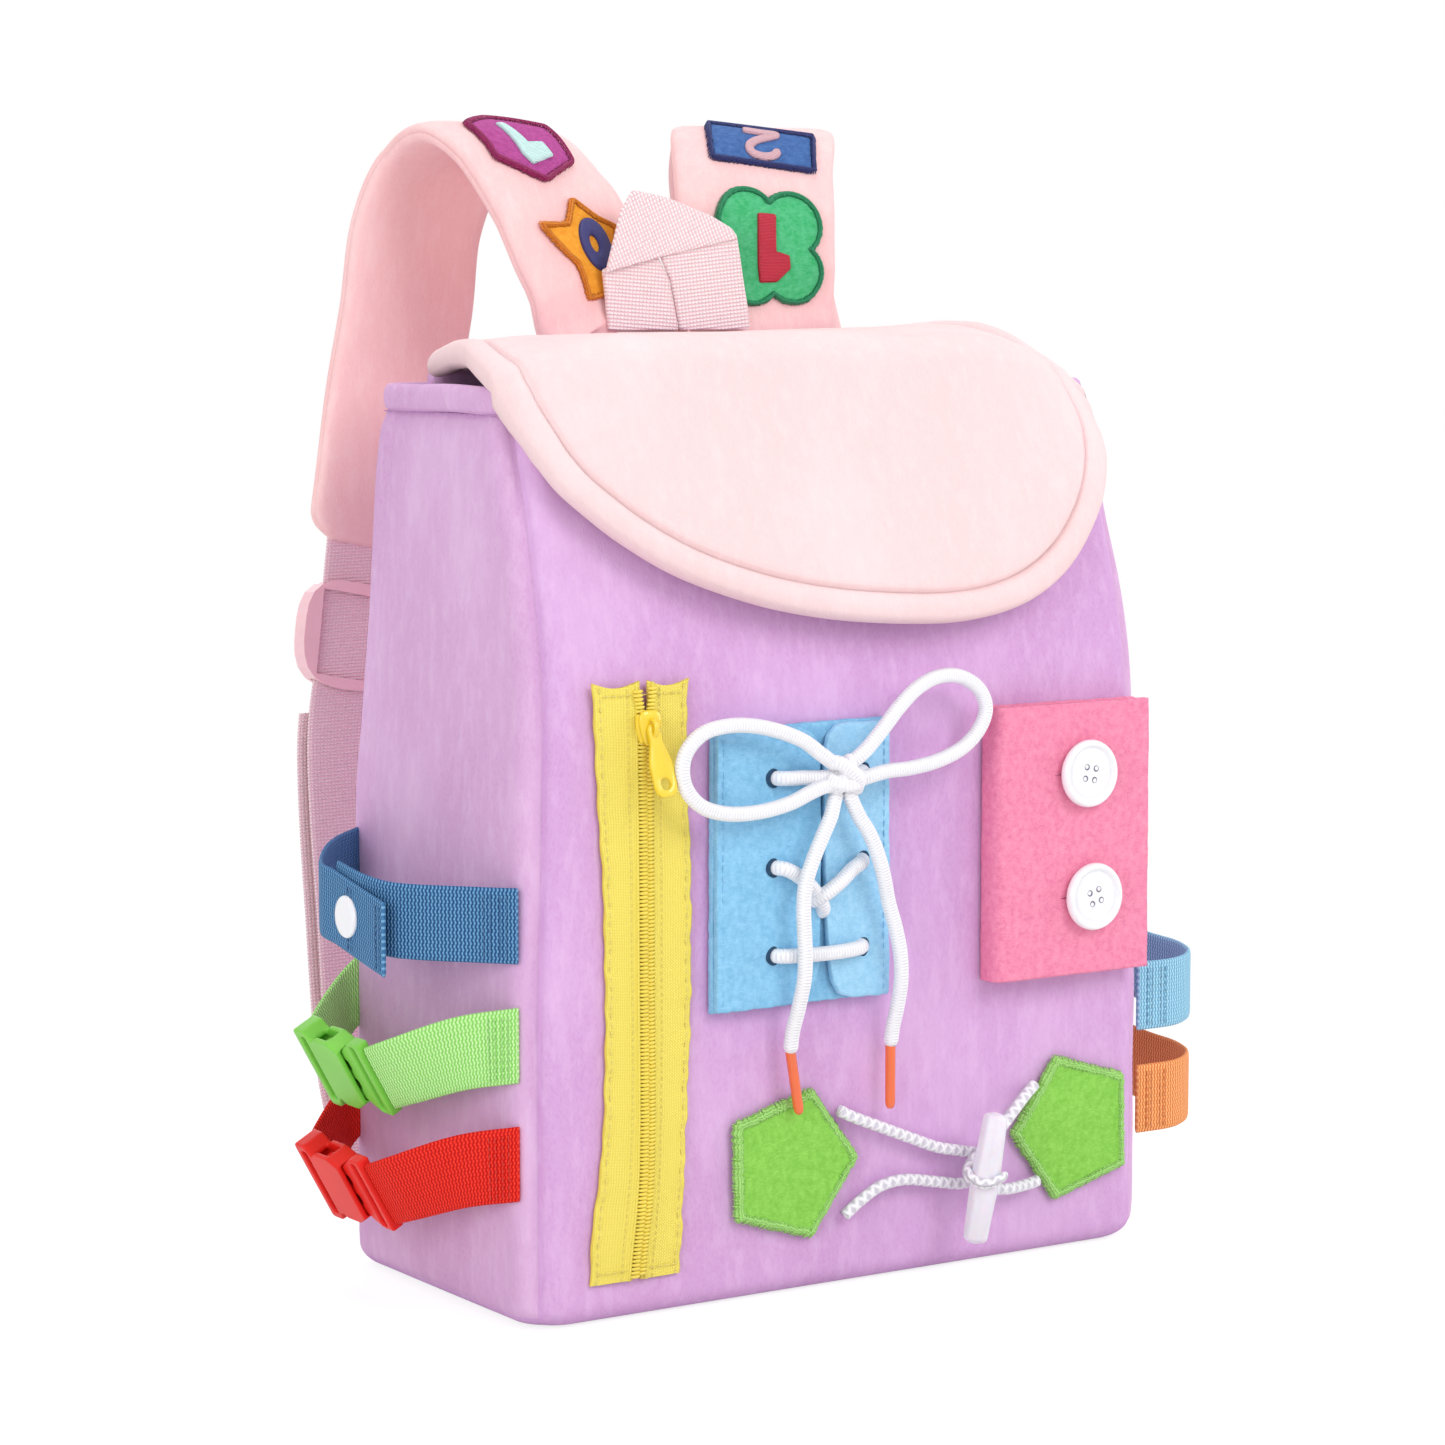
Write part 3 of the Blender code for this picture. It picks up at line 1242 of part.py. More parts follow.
def make_toggle():
    """Two felt pentagons, the cord loops sewn under them and the toggle."""
    low = -front_face + seat_gap
    high = low + pentagon_thickness
    raised = high + pentagon_border_rise
    inner = pentagon_radius - pentagon_border
    levels = ((pentagon_radius, low), (pentagon_radius, raised), (inner, raised), (inner * 0.96, high))
    for name, x, z, facing in (("pentagon_left", pentagon_left_x, pentagon_left_z, 0.0),
                               ("pentagon_right", pentagon_right_x, pentagon_right_z, math.pi)):
        turns = [facing + 2 * math.pi * i / 5 for i in range(5)]
        mesh_data = bmesh.new()
        add_loft(mesh_data, [[Vector((x + r * math.cos(t), -d, z + r * math.sin(t))) for t in turns]
                             for r, d in levels])
        add_object(name, mesh_data, leaf_felt, felt_rough)
    add_cords("toggle_cord_left", (left_cord_route,), cord_diameter, lace_white)
    add_cords("toggle_cord_right", (right_cord_route,), cord_diameter, lace_white)
    mesh_data = bmesh.new()
    centre = Vector((toggle_x, front_face - toggle_standoff, toggle_z))
    along = Vector((math.sin(toggle_tilt), 0.0, math.cos(toggle_tilt)))
    side = Vector((math.cos(toggle_tilt), 0.0, -math.sin(toggle_tilt)))
    deep = Vector((0.0, -1.0, 0.0))
    turns = [2 * math.pi * i / 10 for i in range(10)]
    rings = []
    for share, radius in ((-0.5, 0.6), (-0.47, 0.9), (-0.36, 1.0), (0.0, 1.0), (0.36, 1.0), (0.47, 0.9),
                          (0.5, 0.6)):
        wide = (toggle_end_radius + (toggle_radius - toggle_end_radius) * (1 - abs(share) * 2)) * radius
        middle = centre + along * (toggle_length * share)
        rings.append([middle + side * (wide * math.cos(t)) + deep * (wide * math.sin(t)) for t in turns])
    add_loft(mesh_data, rings)
    toggle = add_object("toggle", mesh_data, toggle_white, plastic_rough, math.radians(40))
    hoop = []
    reach = toggle_radius + toggle_ring / 2
    for t in turns:
        spoke = side * math.cos(t) + deep * math.sin(t)
        hoop.append([centre + spoke * (reach + toggle_ring * math.cos(a)) + along * toggle_ring * math.sin(a)
                     for a in [2 * math.pi * j / 6 for j in range(6)]])
    mesh_data = bmesh.new()
    add_loft(mesh_data, hoop, closed=True)
    join(toggle, "toggle_hitch", mesh_data)


def side_curve(points, count):
    """Evenly spaced points of a smooth line."""
    return even(catmull(points, 60), count)


def seam_point(hand, y, z):
    """Where side webbing leaves the body's rounded vertical corner."""
    corner = front_corner if y < 0 else back_corner
    past = abs(y) - (body_depth / 2 - corner)
    surface = half_width(z) - corner + math.sqrt(corner ** 2 - max(past, 0.0) ** 2)
    return Vector((hand * (surface + seat_gap + web_thickness * seam_lift_share), y, z))


front_seam_y = front_face + front_corner * 0.72
back_seam_y = back_face - back_corner * 0.52


def upright(count, roll_from=0.0, roll_to=0.0, hand=-1):
    """Width directions that turn from one roll to another about the Y axis."""
    result = []
    for i in range(count):
        t = i / (count - 1)
        roll = roll_from + (roll_to - roll_from) * t * t * (3 - 2 * t)
        result.append(Vector((hand * math.sin(roll), 0.0, math.cos(roll))))
    return result


front_half_shares = ((0.38, 0.34), (0.86, 0.90))
rear_half_shares = ((0.58, 0.55), (0.96, 0.12))


def make_overlap_strap(hand, z, out, colour, word):
    """A strap in two halves: the rear half's free end closes on the outside of the front half."""
    face = half_width(z) + out
    shift = web_thickness / 2 + strap_overlap / 2
    tab_end_y = tab_start_y - tab_free_length
    body = face - out
    (near, near_back), (far, far_back) = front_half_shares
    front_line = side_curve((seam_point(hand, front_seam_y, z),
                             Vector((hand * (body + out * near), front_seam_y + out * near_back, z)),
                             Vector((hand * (body + out * far), front_seam_y + out * far_back, z)),
                             Vector((hand * face, tab_end_y + tab_free_length * 0.38, z + tab_fall * 0.2)),
                             Vector((hand * face, tab_end_y + tab_free_length * 0.84,
                                     z + tab_fall * 0.5))), 11)
    add_strip(word + "_front_strap", front_line, upright(11), side_web_width, web_thickness, colour,
              hand * -shift)
    (near, near_front), (far, far_front) = rear_half_shares
    rear_line = side_curve((seam_point(hand, back_seam_y, z + tab_fall),
                            Vector((hand * (body + out * near), back_seam_y - out * near_front,
                                    z + tab_fall * 0.8)),
                            Vector((hand * (body + out * far), tab_start_y + out * far_front,
                                    z + tab_fall * 0.35)),
                            Vector((hand * face, tab_start_y - tab_free_length * 0.25, z + tab_fall * 0.1)),
                            Vector((hand * face, tab_end_y, z - tab_fall * 0.65))), 13)
    add_strip(word + "_rear_strap", rear_line, upright(13), side_web_width, web_thickness, colour,
              hand * -shift)
    return face, rear_line


def make_snap(face, rear_line):
    """White cap on the free end and the stud that it presses on to."""
    target = tab_start_y - tab_free_length * snap_place_share
    place = min(rear_line, key=lambda point: abs(point.y - target))
    reach = strap_overlap / 2 + web_thickness + seat_gap
    turns = [2 * math.pi * i / 16 for i in range(16)]
    for name, start, thick in (("snap_cap", -face - reach, -snap_thickness),
                               ("snap_stud", -face + reach, snap_thickness)):
        mesh_data = bmesh.new()
        rings = []
        for share, wide in ((0.0, 1.0), (0.55, 1.0), (1.0, 0.74)):
            reach_now = snap_radius * wide
            rings.append([Vector((start + thick * share, place.y + reach_now * math.cos(t),
                                  place.z + reach_now * math.sin(t))) for t in turns])
        add_loft(mesh_data, rings)
        add_object(name, mesh_data, button_white, plastic_rough, math.radians(50))


socket_shares = ((0.74, 0.0), (0.93, 0.20), (0.93, 0.52), (0.82, 0.64), (1.08, 0.74), (1.08, 0.96),
                 (1.0, 1.0))


def buckle_place(z):
    """Buckle axes as a matrix: local X across the webbing, Y outwards, Z from plug to socket."""
    across = Vector((-math.sin(buckle_roll), 0.0, math.cos(buckle_roll)))
    along = Vector((0.0, 1.0, 0.0))
    outwards = along.cross(across)
    place = Matrix((across, outwards, along)).transposed().to_4x4()
    place.translation = Vector((-(half_width(z) + buckle_out), buckle_front_y, z - buckle_sag))
    return place


def make_buckle(z, word, web_colour, plastic):
    """A side-release buckle: socket, plug, and the webbing that holds each half."""
    place = buckle_place(z)
    half = buckle_width / 2
    waist = half * waist_share
    thick = buckle_thickness / 2
    start = plug_base_length + seat_gap
    end = start + socket_length
    right_side = [(half * x, start + socket_length * y) for x, y in socket_shares]
    socket_outline = right_side + [(-x, y) for x, y in right_side[::-1]]
    mesh_data = bmesh.new()
    add_prism(mesh_data, socket_outline, -thick, thick, place)
    socket = add_object(word + "_socket", mesh_data, plastic, plastic_rough, math.radians(30))
    cavity = prong_length + buckle_fit + overrun / 2
    inner_wide = prong_spread + prong_width / 2 + buckle_fit
    inner_thick = prong_thickness / 2 + buckle_fit
    cut(socket, word + "_cavity", box_outline(-inner_wide, inner_wide, start - overrun, start + cavity),
        -inner_thick, inner_thick, place)
    window = start + socket_length * 0.24
    cut(socket, word + "_windows", box_outline(-half - overrun, half + overrun, window,
                                               window + window_length),
        -inner_thick * 0.94, inner_thick * 0.94, place)
    web_low = end - socket_bar - web_slot
    slot_half = side_web_width / 2 + buckle_fit
    cut(socket, word + "_rear_slot", box_outline(-slot_half, slot_half, web_low, end - socket_bar),
        -thick - overrun, thick + overrun, place)

    mesh_data = bmesh.new()
    base_half = half * 0.98
    deep = plug_thickness / 2
    plug_outline = [(-base_half, 0.0), (base_half, 0.0), (base_half, plug_bar + web_slot),
                    (waist, plug_base_length),
                    (prong_spread + prong_width / 2, plug_base_length),
                    (prong_spread + prong_width / 2, plug_base_length + prong_length * 0.86),
                    (prong_spread - prong_width * 0.1, plug_base_length + prong_length),
                    (prong_spread - prong_width / 2, plug_base_length + prong_length * 0.95),
                    (prong_spread - prong_width / 2, plug_base_length + seat_gap),
                    (guide_width / 2, plug_base_length + seat_gap),
                    (guide_width / 2, plug_base_length + prong_length * 0.8)]
    plug_outline += [(-x, y) for x, y in plug_outline[:1:-1]]
    add_prism(mesh_data, plug_outline, -deep * 0.88, deep * 0.88, place)
    plug = add_object(word + "_plug", mesh_data, plastic, plastic_rough, math.radians(30))
    cut(plug, word + "_front_slot", box_outline(-slot_half, slot_half, plug_bar, plug_bar + web_slot),
        -thick - overrun, thick + overrun, place)

    centre = place.translation
    wrap = thick + web_thickness
    lead = Vector((centre.x - wrap * 0.2, buckle_front_y - seat_gap * 3, centre.z))
    front_line = side_curve((seam_point(-1, front_seam_y, z),
                             Vector((centre.x + buckle_out * 0.50, front_seam_y + buckle_out * 0.62,
                                     z - buckle_sag * 0.25)),
                             Vector((centre.x + buckle_out * 0.08, front_seam_y + buckle_out * 1.35,
                                     z - buckle_sag * 0.75)),
                             lead), 9)
    add_strip(word + "_front_webbing", front_line, upright(9, 0.0, buckle_roll), side_web_width,
              web_thickness,
              web_colour)
    rear_start = buckle_front_y + end + seat_gap * 3
    rear_line = side_curve((seam_point(-1, back_seam_y, z + rear_rise * 0.2),
                            Vector((centre.x + buckle_out * 0.66, back_seam_y - buckle_out * 0.12,
                                    z - buckle_sag * 0.25)),
                            Vector((centre.x, rear_start, centre.z))), 7)
    add_strip(word + "_rear_webbing", rear_line, upright(7, 0.0, buckle_roll), side_web_width, web_thickness,
              web_colour)


def make_sides():
    """All the straps on both sides."""
    face, rear_line = make_overlap_strap(-1, blue_height, loop_out, blue_web, "blue")
    make_snap(face, rear_line)
    make_buckle(green_height, "green", green_web, green_plastic)
    make_buckle(red_height, "red", red_web, red_plastic)
    make_overlap_strap(1, lightblue_height, right_loop_out, sky_web, "lightblue")
    make_overlap_strap(1, orange_height, right_loop_out, orange_web, "orange")


make_walls()
make_base()
make_hem()
make_lining()
make_flap_top()
make_flap_front()
make_yoke_and_handle()
make_straps()
make_zip()
make_lace_door()
make_lace()
make_button_door()
make_toggle()
make_sides()
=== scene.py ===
# %% [markdown]
# # Plush busy board backpack
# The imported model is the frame. Every soft piece is rebuilt on it at full detail: plush shells,
# felt, webbing, lace, stitching. Lengths are in metres, in the frame of the model, +Z up, front at -Y.
# Surfaces are numpy grids turned into quads, so each formula is written once for a whole surface.

# %% Load the frame
import math

import bpy
import numpy as np
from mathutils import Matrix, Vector


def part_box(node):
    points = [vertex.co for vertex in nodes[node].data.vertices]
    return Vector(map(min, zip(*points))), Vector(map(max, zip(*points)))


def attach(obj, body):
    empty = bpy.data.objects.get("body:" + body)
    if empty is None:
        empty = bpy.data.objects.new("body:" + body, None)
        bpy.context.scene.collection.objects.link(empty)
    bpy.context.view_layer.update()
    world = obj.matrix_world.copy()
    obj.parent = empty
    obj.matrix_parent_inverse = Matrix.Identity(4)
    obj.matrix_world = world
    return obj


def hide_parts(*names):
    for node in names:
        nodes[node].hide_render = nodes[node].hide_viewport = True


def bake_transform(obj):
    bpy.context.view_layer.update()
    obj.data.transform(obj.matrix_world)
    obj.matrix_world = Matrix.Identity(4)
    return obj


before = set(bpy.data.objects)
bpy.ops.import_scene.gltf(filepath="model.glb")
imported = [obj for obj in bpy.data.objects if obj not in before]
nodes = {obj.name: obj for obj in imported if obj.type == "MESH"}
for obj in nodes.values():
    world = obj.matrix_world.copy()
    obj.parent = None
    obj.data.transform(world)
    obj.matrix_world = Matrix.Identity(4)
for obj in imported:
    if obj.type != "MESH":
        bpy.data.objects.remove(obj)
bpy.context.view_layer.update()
mm = 0.001
rng = np.random.default_rng(7)

# %% [markdown]
# ## Camera
# The camera's place, lens and target come from matching the straight edges of the bag. There is no
# roll and no shift.

# %% Camera
camera_place = Vector((-0.76894, -1.15013, 0.33279))
camera_target = Vector((-0.013114, 0.0, 0.185708))
camera_data = bpy.data.cameras.new("camera")
camera_data.lens = 100.41
camera_data.sensor_width = 36.0
camera = bpy.data.objects.new("camera", camera_data)
camera.location = camera_place
camera.rotation_euler = (camera_target - camera_place).to_track_quat("-Z", "Y").to_euler()
bpy.context.scene.collection.objects.link(camera)
bpy.context.scene.camera = camera

# %% [markdown]
# ## Geometry helpers
# A *grid* is an array rows x columns x 3. `grid_object` joins neighbouring rows and columns with
# quads. A *sweep* carries a flat section along a path: the section's first number goes along the
# side direction and its second along the normal. Each mesh gets a UV map in metres (across, along),
# so that weave, ribs and braid run with the cloth.


# %% Geometry helpers
def unit(v):
    """Vectors divided by their length."""
    return v / np.maximum(np.linalg.norm(v, axis=-1, keepdims=True), 1e-12)


def link(name, points, quads, material, uv=None):
    """A mesh object from an array of points and an array of quads."""
    mesh = bpy.data.meshes.new(name)
    mesh.vertices.add(len(points))
    mesh.vertices.foreach_set("co", np.ascontiguousarray(points, dtype=np.float32).ravel())
    mesh.loops.add(quads.size)
    mesh.loops.foreach_set("vertex_index", np.ascontiguousarray(quads, dtype=np.int32).ravel())
    mesh.polygons.add(len(quads))
    mesh.polygons.foreach_set("loop_start", np.arange(0, quads.size, quads.shape[1], dtype=np.int32))
    mesh.update(calc_edges=True)
    if uv is not None:
        layer = mesh.uv_layers.new(name="cloth")
        layer.data.foreach_set("uv", np.ascontiguousarray(uv[quads.ravel()], dtype=np.float32).ravel())
    mesh.validate(clean_customdata=False)
    mesh.shade_smooth()
    thing = bpy.data.objects.new(name, mesh)
    bpy.context.scene.collection.objects.link(thing)
    mesh.materials.append(material)
    return thing


def lattice(rows, columns, loop_rows=False, loop_columns=False):
    """Quads of a grid, optionally joined end to end."""
    i = np.arange(rows if loop_rows else rows - 1)[:, None]
    j = np.arange(columns if loop_columns else columns - 1)[None, :]
    k, m = (i + 1) % rows, (j + 1) % columns
    return np.stack([i * columns + j, i * columns + m, k * columns + m, k * columns + j], -1).reshape(-1, 4)


def cap(start, count, flip=False):
    """Quads that close a ring of `count` points by joining opposite points across it."""
    j = np.arange(count // 2 - 1)
    quads = np.stack([start + j, start + j + 1, start + count - 2 - j, start + count - 1 - j], -1)
    return quads[:, ::-1] if flip else quads


def grid_uv(grid):
    """Distance across and along each grid line, in metres."""
    across = np.zeros(grid.shape[:2])
    along = np.zeros(grid.shape[:2])
    across[:, 1:] = np.cumsum(np.linalg.norm(np.diff(grid, axis=1), axis=-1), 1)
    along[1:] = np.cumsum(np.linalg.norm(np.diff(grid, axis=0), axis=-1), 0)
    return np.stack([across, along], -1).reshape(-1, 2)


def grid_object(name, grid, material, loop_rows=False, loop_columns=False, caps=False, uv=None):
    """An object from a grid of points; `caps` closes its first and last row."""
    rows, columns = grid.shape[:2]
    quads = lattice(rows, columns, loop_rows, loop_columns)
    if caps:
        quads = np.concatenate([quads, cap(0, columns, True), cap((rows - 1) * columns, columns)])
    uv = grid_uv(grid) if uv is None else uv
    thing = link(name, grid.reshape(-1, 3), quads, material, uv)
    outward(thing)
    return thing


def outward(thing):
    """Turns a closed mesh's faces outwards when its signed volume is negative."""
    mesh = thing.data
    mesh.calc_loop_triangles()
    tris = np.empty(len(mesh.loop_triangles) * 3, dtype=np.int32)
    mesh.loop_triangles.foreach_get("vertices", tris)
    points = np.empty(len(mesh.vertices) * 3, dtype=np.float32)
    mesh.vertices.foreach_get("co", points)
    points = points.reshape(-1, 3)
    a, b, c = (points[tris.reshape(-1, 3)[:, i]].astype(float) for i in range(3))
    if np.sum(a * np.cross(b, c)) < 0:
        mesh.flip_normals()


def smooth_path(points, count):
    """A smooth curve through given points (Catmull-Rom), read at even distances."""
    p = np.asarray(points, dtype=float)
    p = np.vstack([2 * p[0] - p[1], p, 2 * p[-1] - p[-2]])
    t = np.linspace(0, 1, 25)[:-1, None]
    pieces = []
    for a, b, c, d in zip(p, p[1:], p[2:], p[3:]):
        pieces.append((2 * b + (c - a) * t + (2 * a - 5 * b + 4 * c - d) * t ** 2
                       + (3 * b - a - 3 * c + d) * t ** 3) / 2)
    fine = np.vstack(pieces + [p[-2][None]])
    return even(fine, count)


def distances(path):
    """Distance of each point of a line from its start, measured along it."""
    return np.concatenate([[0], np.cumsum(np.linalg.norm(np.diff(path, axis=0), axis=1))])


def closed(outline):
    """An outline with its first point once more at its end."""
    return np.vstack([outline, outline[:1]])


def even(fine, count):
    """Points at even distances along a fine line."""
    reach = distances(fine)
    where = np.linspace(0, reach[-1], count)
    return np.stack([np.interp(where, reach, fine[:, k]) for k in range(fine.shape[1])], -1)


def path_length(path):
    """Length of a line of points."""
    return float(np.linalg.norm(np.diff(path, axis=0), axis=1).sum())


def tangents(path, loop=False):
    """Directions along a path."""
    if loop:
        return unit(np.roll(path, -1, 0) - np.roll(path, 1, 0))
    return unit(np.gradient(path, axis=0))


def carried_frames(path):
    """Side and normal directions that turn as little as they can along a path."""
    along = tangents(path)
    side = np.zeros_like(path)
    now = np.cross(along[0], (0, -1, 0))
    if np.linalg.norm(now) < 0.1:
        now = np.cross(along[0], (1, 0, 0.1))
    now = unit(now)
    for i, a in enumerate(along):
        now = unit(now - a * np.dot(now, a))
        side[i] = now
    return side, np.cross(side, along)


def sweep_parts(path, side, normal, section, scale=None):
    """Points, quads and UV of a closed section carried along a path.

    `side` and `normal` hold a direction for each point of the path, or one for all of them.
    """
    n, m = len(path), section.shape[-2]
    side, normal = np.broadcast_to(side, path.shape), np.broadcast_to(normal, path.shape)
    shape = np.broadcast_to(section, (n, m, 2)).copy()
    if scale is not None:
        shape *= np.asarray(scale).reshape(n, 1, -1)
    grid = path[:, None] + side[:, None] * shape[..., :1] + normal[:, None] * shape[..., 1:]
    quads = np.concatenate([lattice(n, m, loop_columns=True), cap(0, m, True), cap((n - 1) * m, m)])
    along = distances(path)
    uv = np.stack([shape[..., 0], np.broadcast_to(along[:, None], (n, m))], -1).reshape(-1, 2)
    return grid.reshape(-1, 3), quads, uv


def sweep(name, path, side, normal, section, material, scale=None):
    """An object from a section carried along a path."""
    points, quads, uv = sweep_parts(path, side, normal, section, scale)
    thing = link(name, points, quads, material, uv)
    outward(thing)
    return thing


def disc(radius, count=16, power=2.0, tall=None):
    """A closed round or squarish section: |x/a|^p + |y/b|^p = 1."""
    t = np.linspace(0, 2 * np.pi, count, endpoint=False)
    x, y = np.cos(t), np.sin(t)
    reach = (np.abs(x) ** power + np.abs(y) ** power) ** (-1 / power)
    return np.stack([radius * x * reach, (tall or radius) * y * reach], -1)


def band_section(width, thickness, count=14):
    """A flat webbing's section with rounded, slightly thicker edges."""
    half = width / 2
    x = half * np.sin(np.linspace(-np.pi / 2, np.pi / 2, count))
    u = x / half
    h = thickness / 2 * np.sqrt(np.clip(1 - np.abs(u) ** 14, 0, 1)) * (1 + 0.12 * np.abs(u) ** 6)
    top = np.stack([x, h], -1)
    return np.vstack([top, top[::-1][1:-1] * [1, -1]])


def round_tube(path, radius, sides=12, scale=None):
    """Points, quads and UV of a tube; UV runs round (0 to 1) and along (metres)."""
    path = np.asarray(path, dtype=float)
    side, normal = carried_frames(path)
    points, quads, uv = sweep_parts(path, side, normal, disc(radius, sides), scale)
    around = np.tile(np.linspace(0, 1, sides, endpoint=False), len(path))
    return points, quads, np.stack([around, uv[:, 1]], -1)


def tube(name, path, radius, sides, material, body, scale=None, around=1.0):
    """A round tube that rides on a body; `around` scales the part of its UV that runs round it."""
    points, quads, uv = round_tube(path, radius, sides, scale)
    thing = link(name, points, quads, material, uv * [around, 1])
    outward(thing)
    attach(thing, body)
    return thing


def value_noise(points, size, seed=0):
    """Smooth noise between -1 and 1: random values on a lattice `size` apart, blended in between."""
    table = np.random.default_rng(seed).uniform(-1, 1, (16, 16, 16))
    q = np.asarray(points) / size
    base = np.floor(q).astype(int)
    f = q - base
    f = f * f * (3 - 2 * f)
    total = 0
    for corner in range(8):
        step = np.array([(corner >> 2) & 1, (corner >> 1) & 1, corner & 1])
        cell = (base + step) % 16
        weight = np.prod(np.where(step == 1, f, 1 - f), axis=-1)
        total = total + weight * table[cell[..., 0], cell[..., 1], cell[..., 2]]
    return total


def polygon_path(corners, count, radius=0.0):
    """Closed outline through corners at even distances, its corners rounded by averaging."""
    corners = np.asarray(corners, dtype=float)
    path = even(closed(corners), count + 1)[:-1]
    length = path_length(closed(corners))
    steps = int(radius / length * count)
    if steps:
        weights = np.hanning(2 * steps + 3)[1:-1]
        weights /= weights.sum()
        path = sum(w * np.roll(path, k - steps, 0) for k, w in enumerate(weights))
    return path


def inwards(outline, along, centre):
    """Directions into a closed outline, square to the directions along it."""
    inward = np.stack([-along[:, 1], along[:, 0]], -1)
    if np.mean(np.sum(inward * (centre - outline), -1)) < 0:
        inward = -inward
    return inward


# %% [markdown]
# ## Material helpers
# Each material is a small node tree on Object coordinates or on the cloth's own UV: a colour that
# varies, a roughness and a bump. Uniform values sit on the shader's own sockets.


# %% Material helpers
def add_node(tree, kind, inputs=(), **settings):
    """Adds a shader node; inputs are numbers, colours or other nodes' sockets."""
    made = tree.nodes.new("ShaderNode" + kind)
    for key, value in settings.items():
        setattr(made, key, value)
    for key, value in dict(inputs).items():
        if isinstance(value, bpy.types.NodeSocket):
            tree.links.new(value, made.inputs[key])
        else:
            made.inputs[key].default_value = value
    return made


def recolour(node, material):
    """Gives one of the model's own nodes a single material."""
    nodes[node].data.materials.clear()
    nodes[node].data.materials.append(material)


class Surface:
    """A Principled material that is built up node by node."""

    def __init__(self, name, roughness=0.8, sheen=0.0, sheen_tint=(1, 1, 1), subsurface=0.0, coat=0.0):
        self.material = bpy.data.materials.new(name)
        self.material.use_nodes = True
        self.tree = self.material.node_tree
        self.shader = self.tree.nodes["Principled BSDF"]
        self.shader.inputs["Roughness"].default_value = roughness
        self.shader.inputs["Sheen Weight"].default_value = sheen
        self.shader.inputs["Sheen Roughness"].default_value = 0.5
        self.shader.inputs["Sheen Tint"].default_value = (*sheen_tint, 1)
        self.shader.inputs["Coat Weight"].default_value = coat
        self.shader.inputs["Subsurface Weight"].default_value = subsurface
        self.shader.inputs["Subsurface Scale"].default_value = 0.002
        self.coords = self.tree.nodes.new("ShaderNodeTexCoord")
        self.bumps = None

    def node(self, kind, inputs=(), **settings):
        """Adds a node to this material."""
        return add_node(self.tree, kind, inputs, **settings)

    def object_point(self):
        """The point on the object, in metres."""
        return self.coords.outputs["Object"]

    def cloth_point(self):
        """The cloth's own coordinates: across and along, in metres."""
        return self.coords.outputs["UV"]

    def noise(self, scale, detail=2.0, rough=0.5, where=None):
        """A noise value, `scale` blobs to the metre."""
        inputs = {"Vector": where or self.object_point(), "Scale": scale, "Detail": detail}
        return self.node("TexNoise", {**inputs, "Roughness": rough}).outputs["Fac"]

    def math(self, operation, a, b=0.0, c=0.0):
        """One arithmetic step."""
        return self.node("Math", {0: a, 1: b, 2: c}, operation=operation).outputs[0]

    def wave(self, coordinate, period, power=1.0):
        """0 to 1 to 0 once every `period` metres."""
        turn = self.math("SINE", self.math("MULTIPLY", coordinate, 2 * math.pi / period))
        level = self.math("MULTIPLY_ADD", turn, 0.5, 0.5)
        return self.math("POWER", level, power) if power != 1 else level

    def split(self, vector):
        """X, Y and Z of a vector."""
        return self.node("SeparateXYZ", {0: vector}).outputs

    def mix(self, factor, a, b):
        """Blend of two colours."""
        made = self.tree.nodes.new("ShaderNodeMix")
        made.data_type = "RGBA"
        for socket, value in ((made.inputs[0], factor), (made.inputs[6], a), (made.inputs[7], b)):
            if isinstance(value, bpy.types.NodeSocket):
                self.tree.links.new(value, socket)
            else:
                is_colour = isinstance(value, tuple) and len(value) == 3
                socket.default_value = (*value, 1) if is_colour else value
        return made.outputs[2]

    def ramp(self, factor, low, high):
        """A factor stretched so that `low` gives 0 and `high` gives 1."""
        return self.node("MapRange", {0: factor, 1: low, 2: high}).outputs[0]

    def colour(self, value):
        """Sets the base colour."""
        if isinstance(value, bpy.types.NodeSocket):
            self.tree.links.new(value, self.shader.inputs["Base Color"])
        else:
            self.shader.inputs["Base Color"].default_value = (*value, 1)

    def bump(self, height, strength, distance):
        """Adds a layer of relief, `distance` metres deep."""
        inputs = {"Height": height, "Strength": strength, "Distance": distance}
        if self.bumps is not None:
            inputs["Normal"] = self.bumps
        self.bumps = self.node("Bump", inputs).outputs["Normal"]
        self.tree.links.new(self.bumps, self.shader.inputs["Normal"])


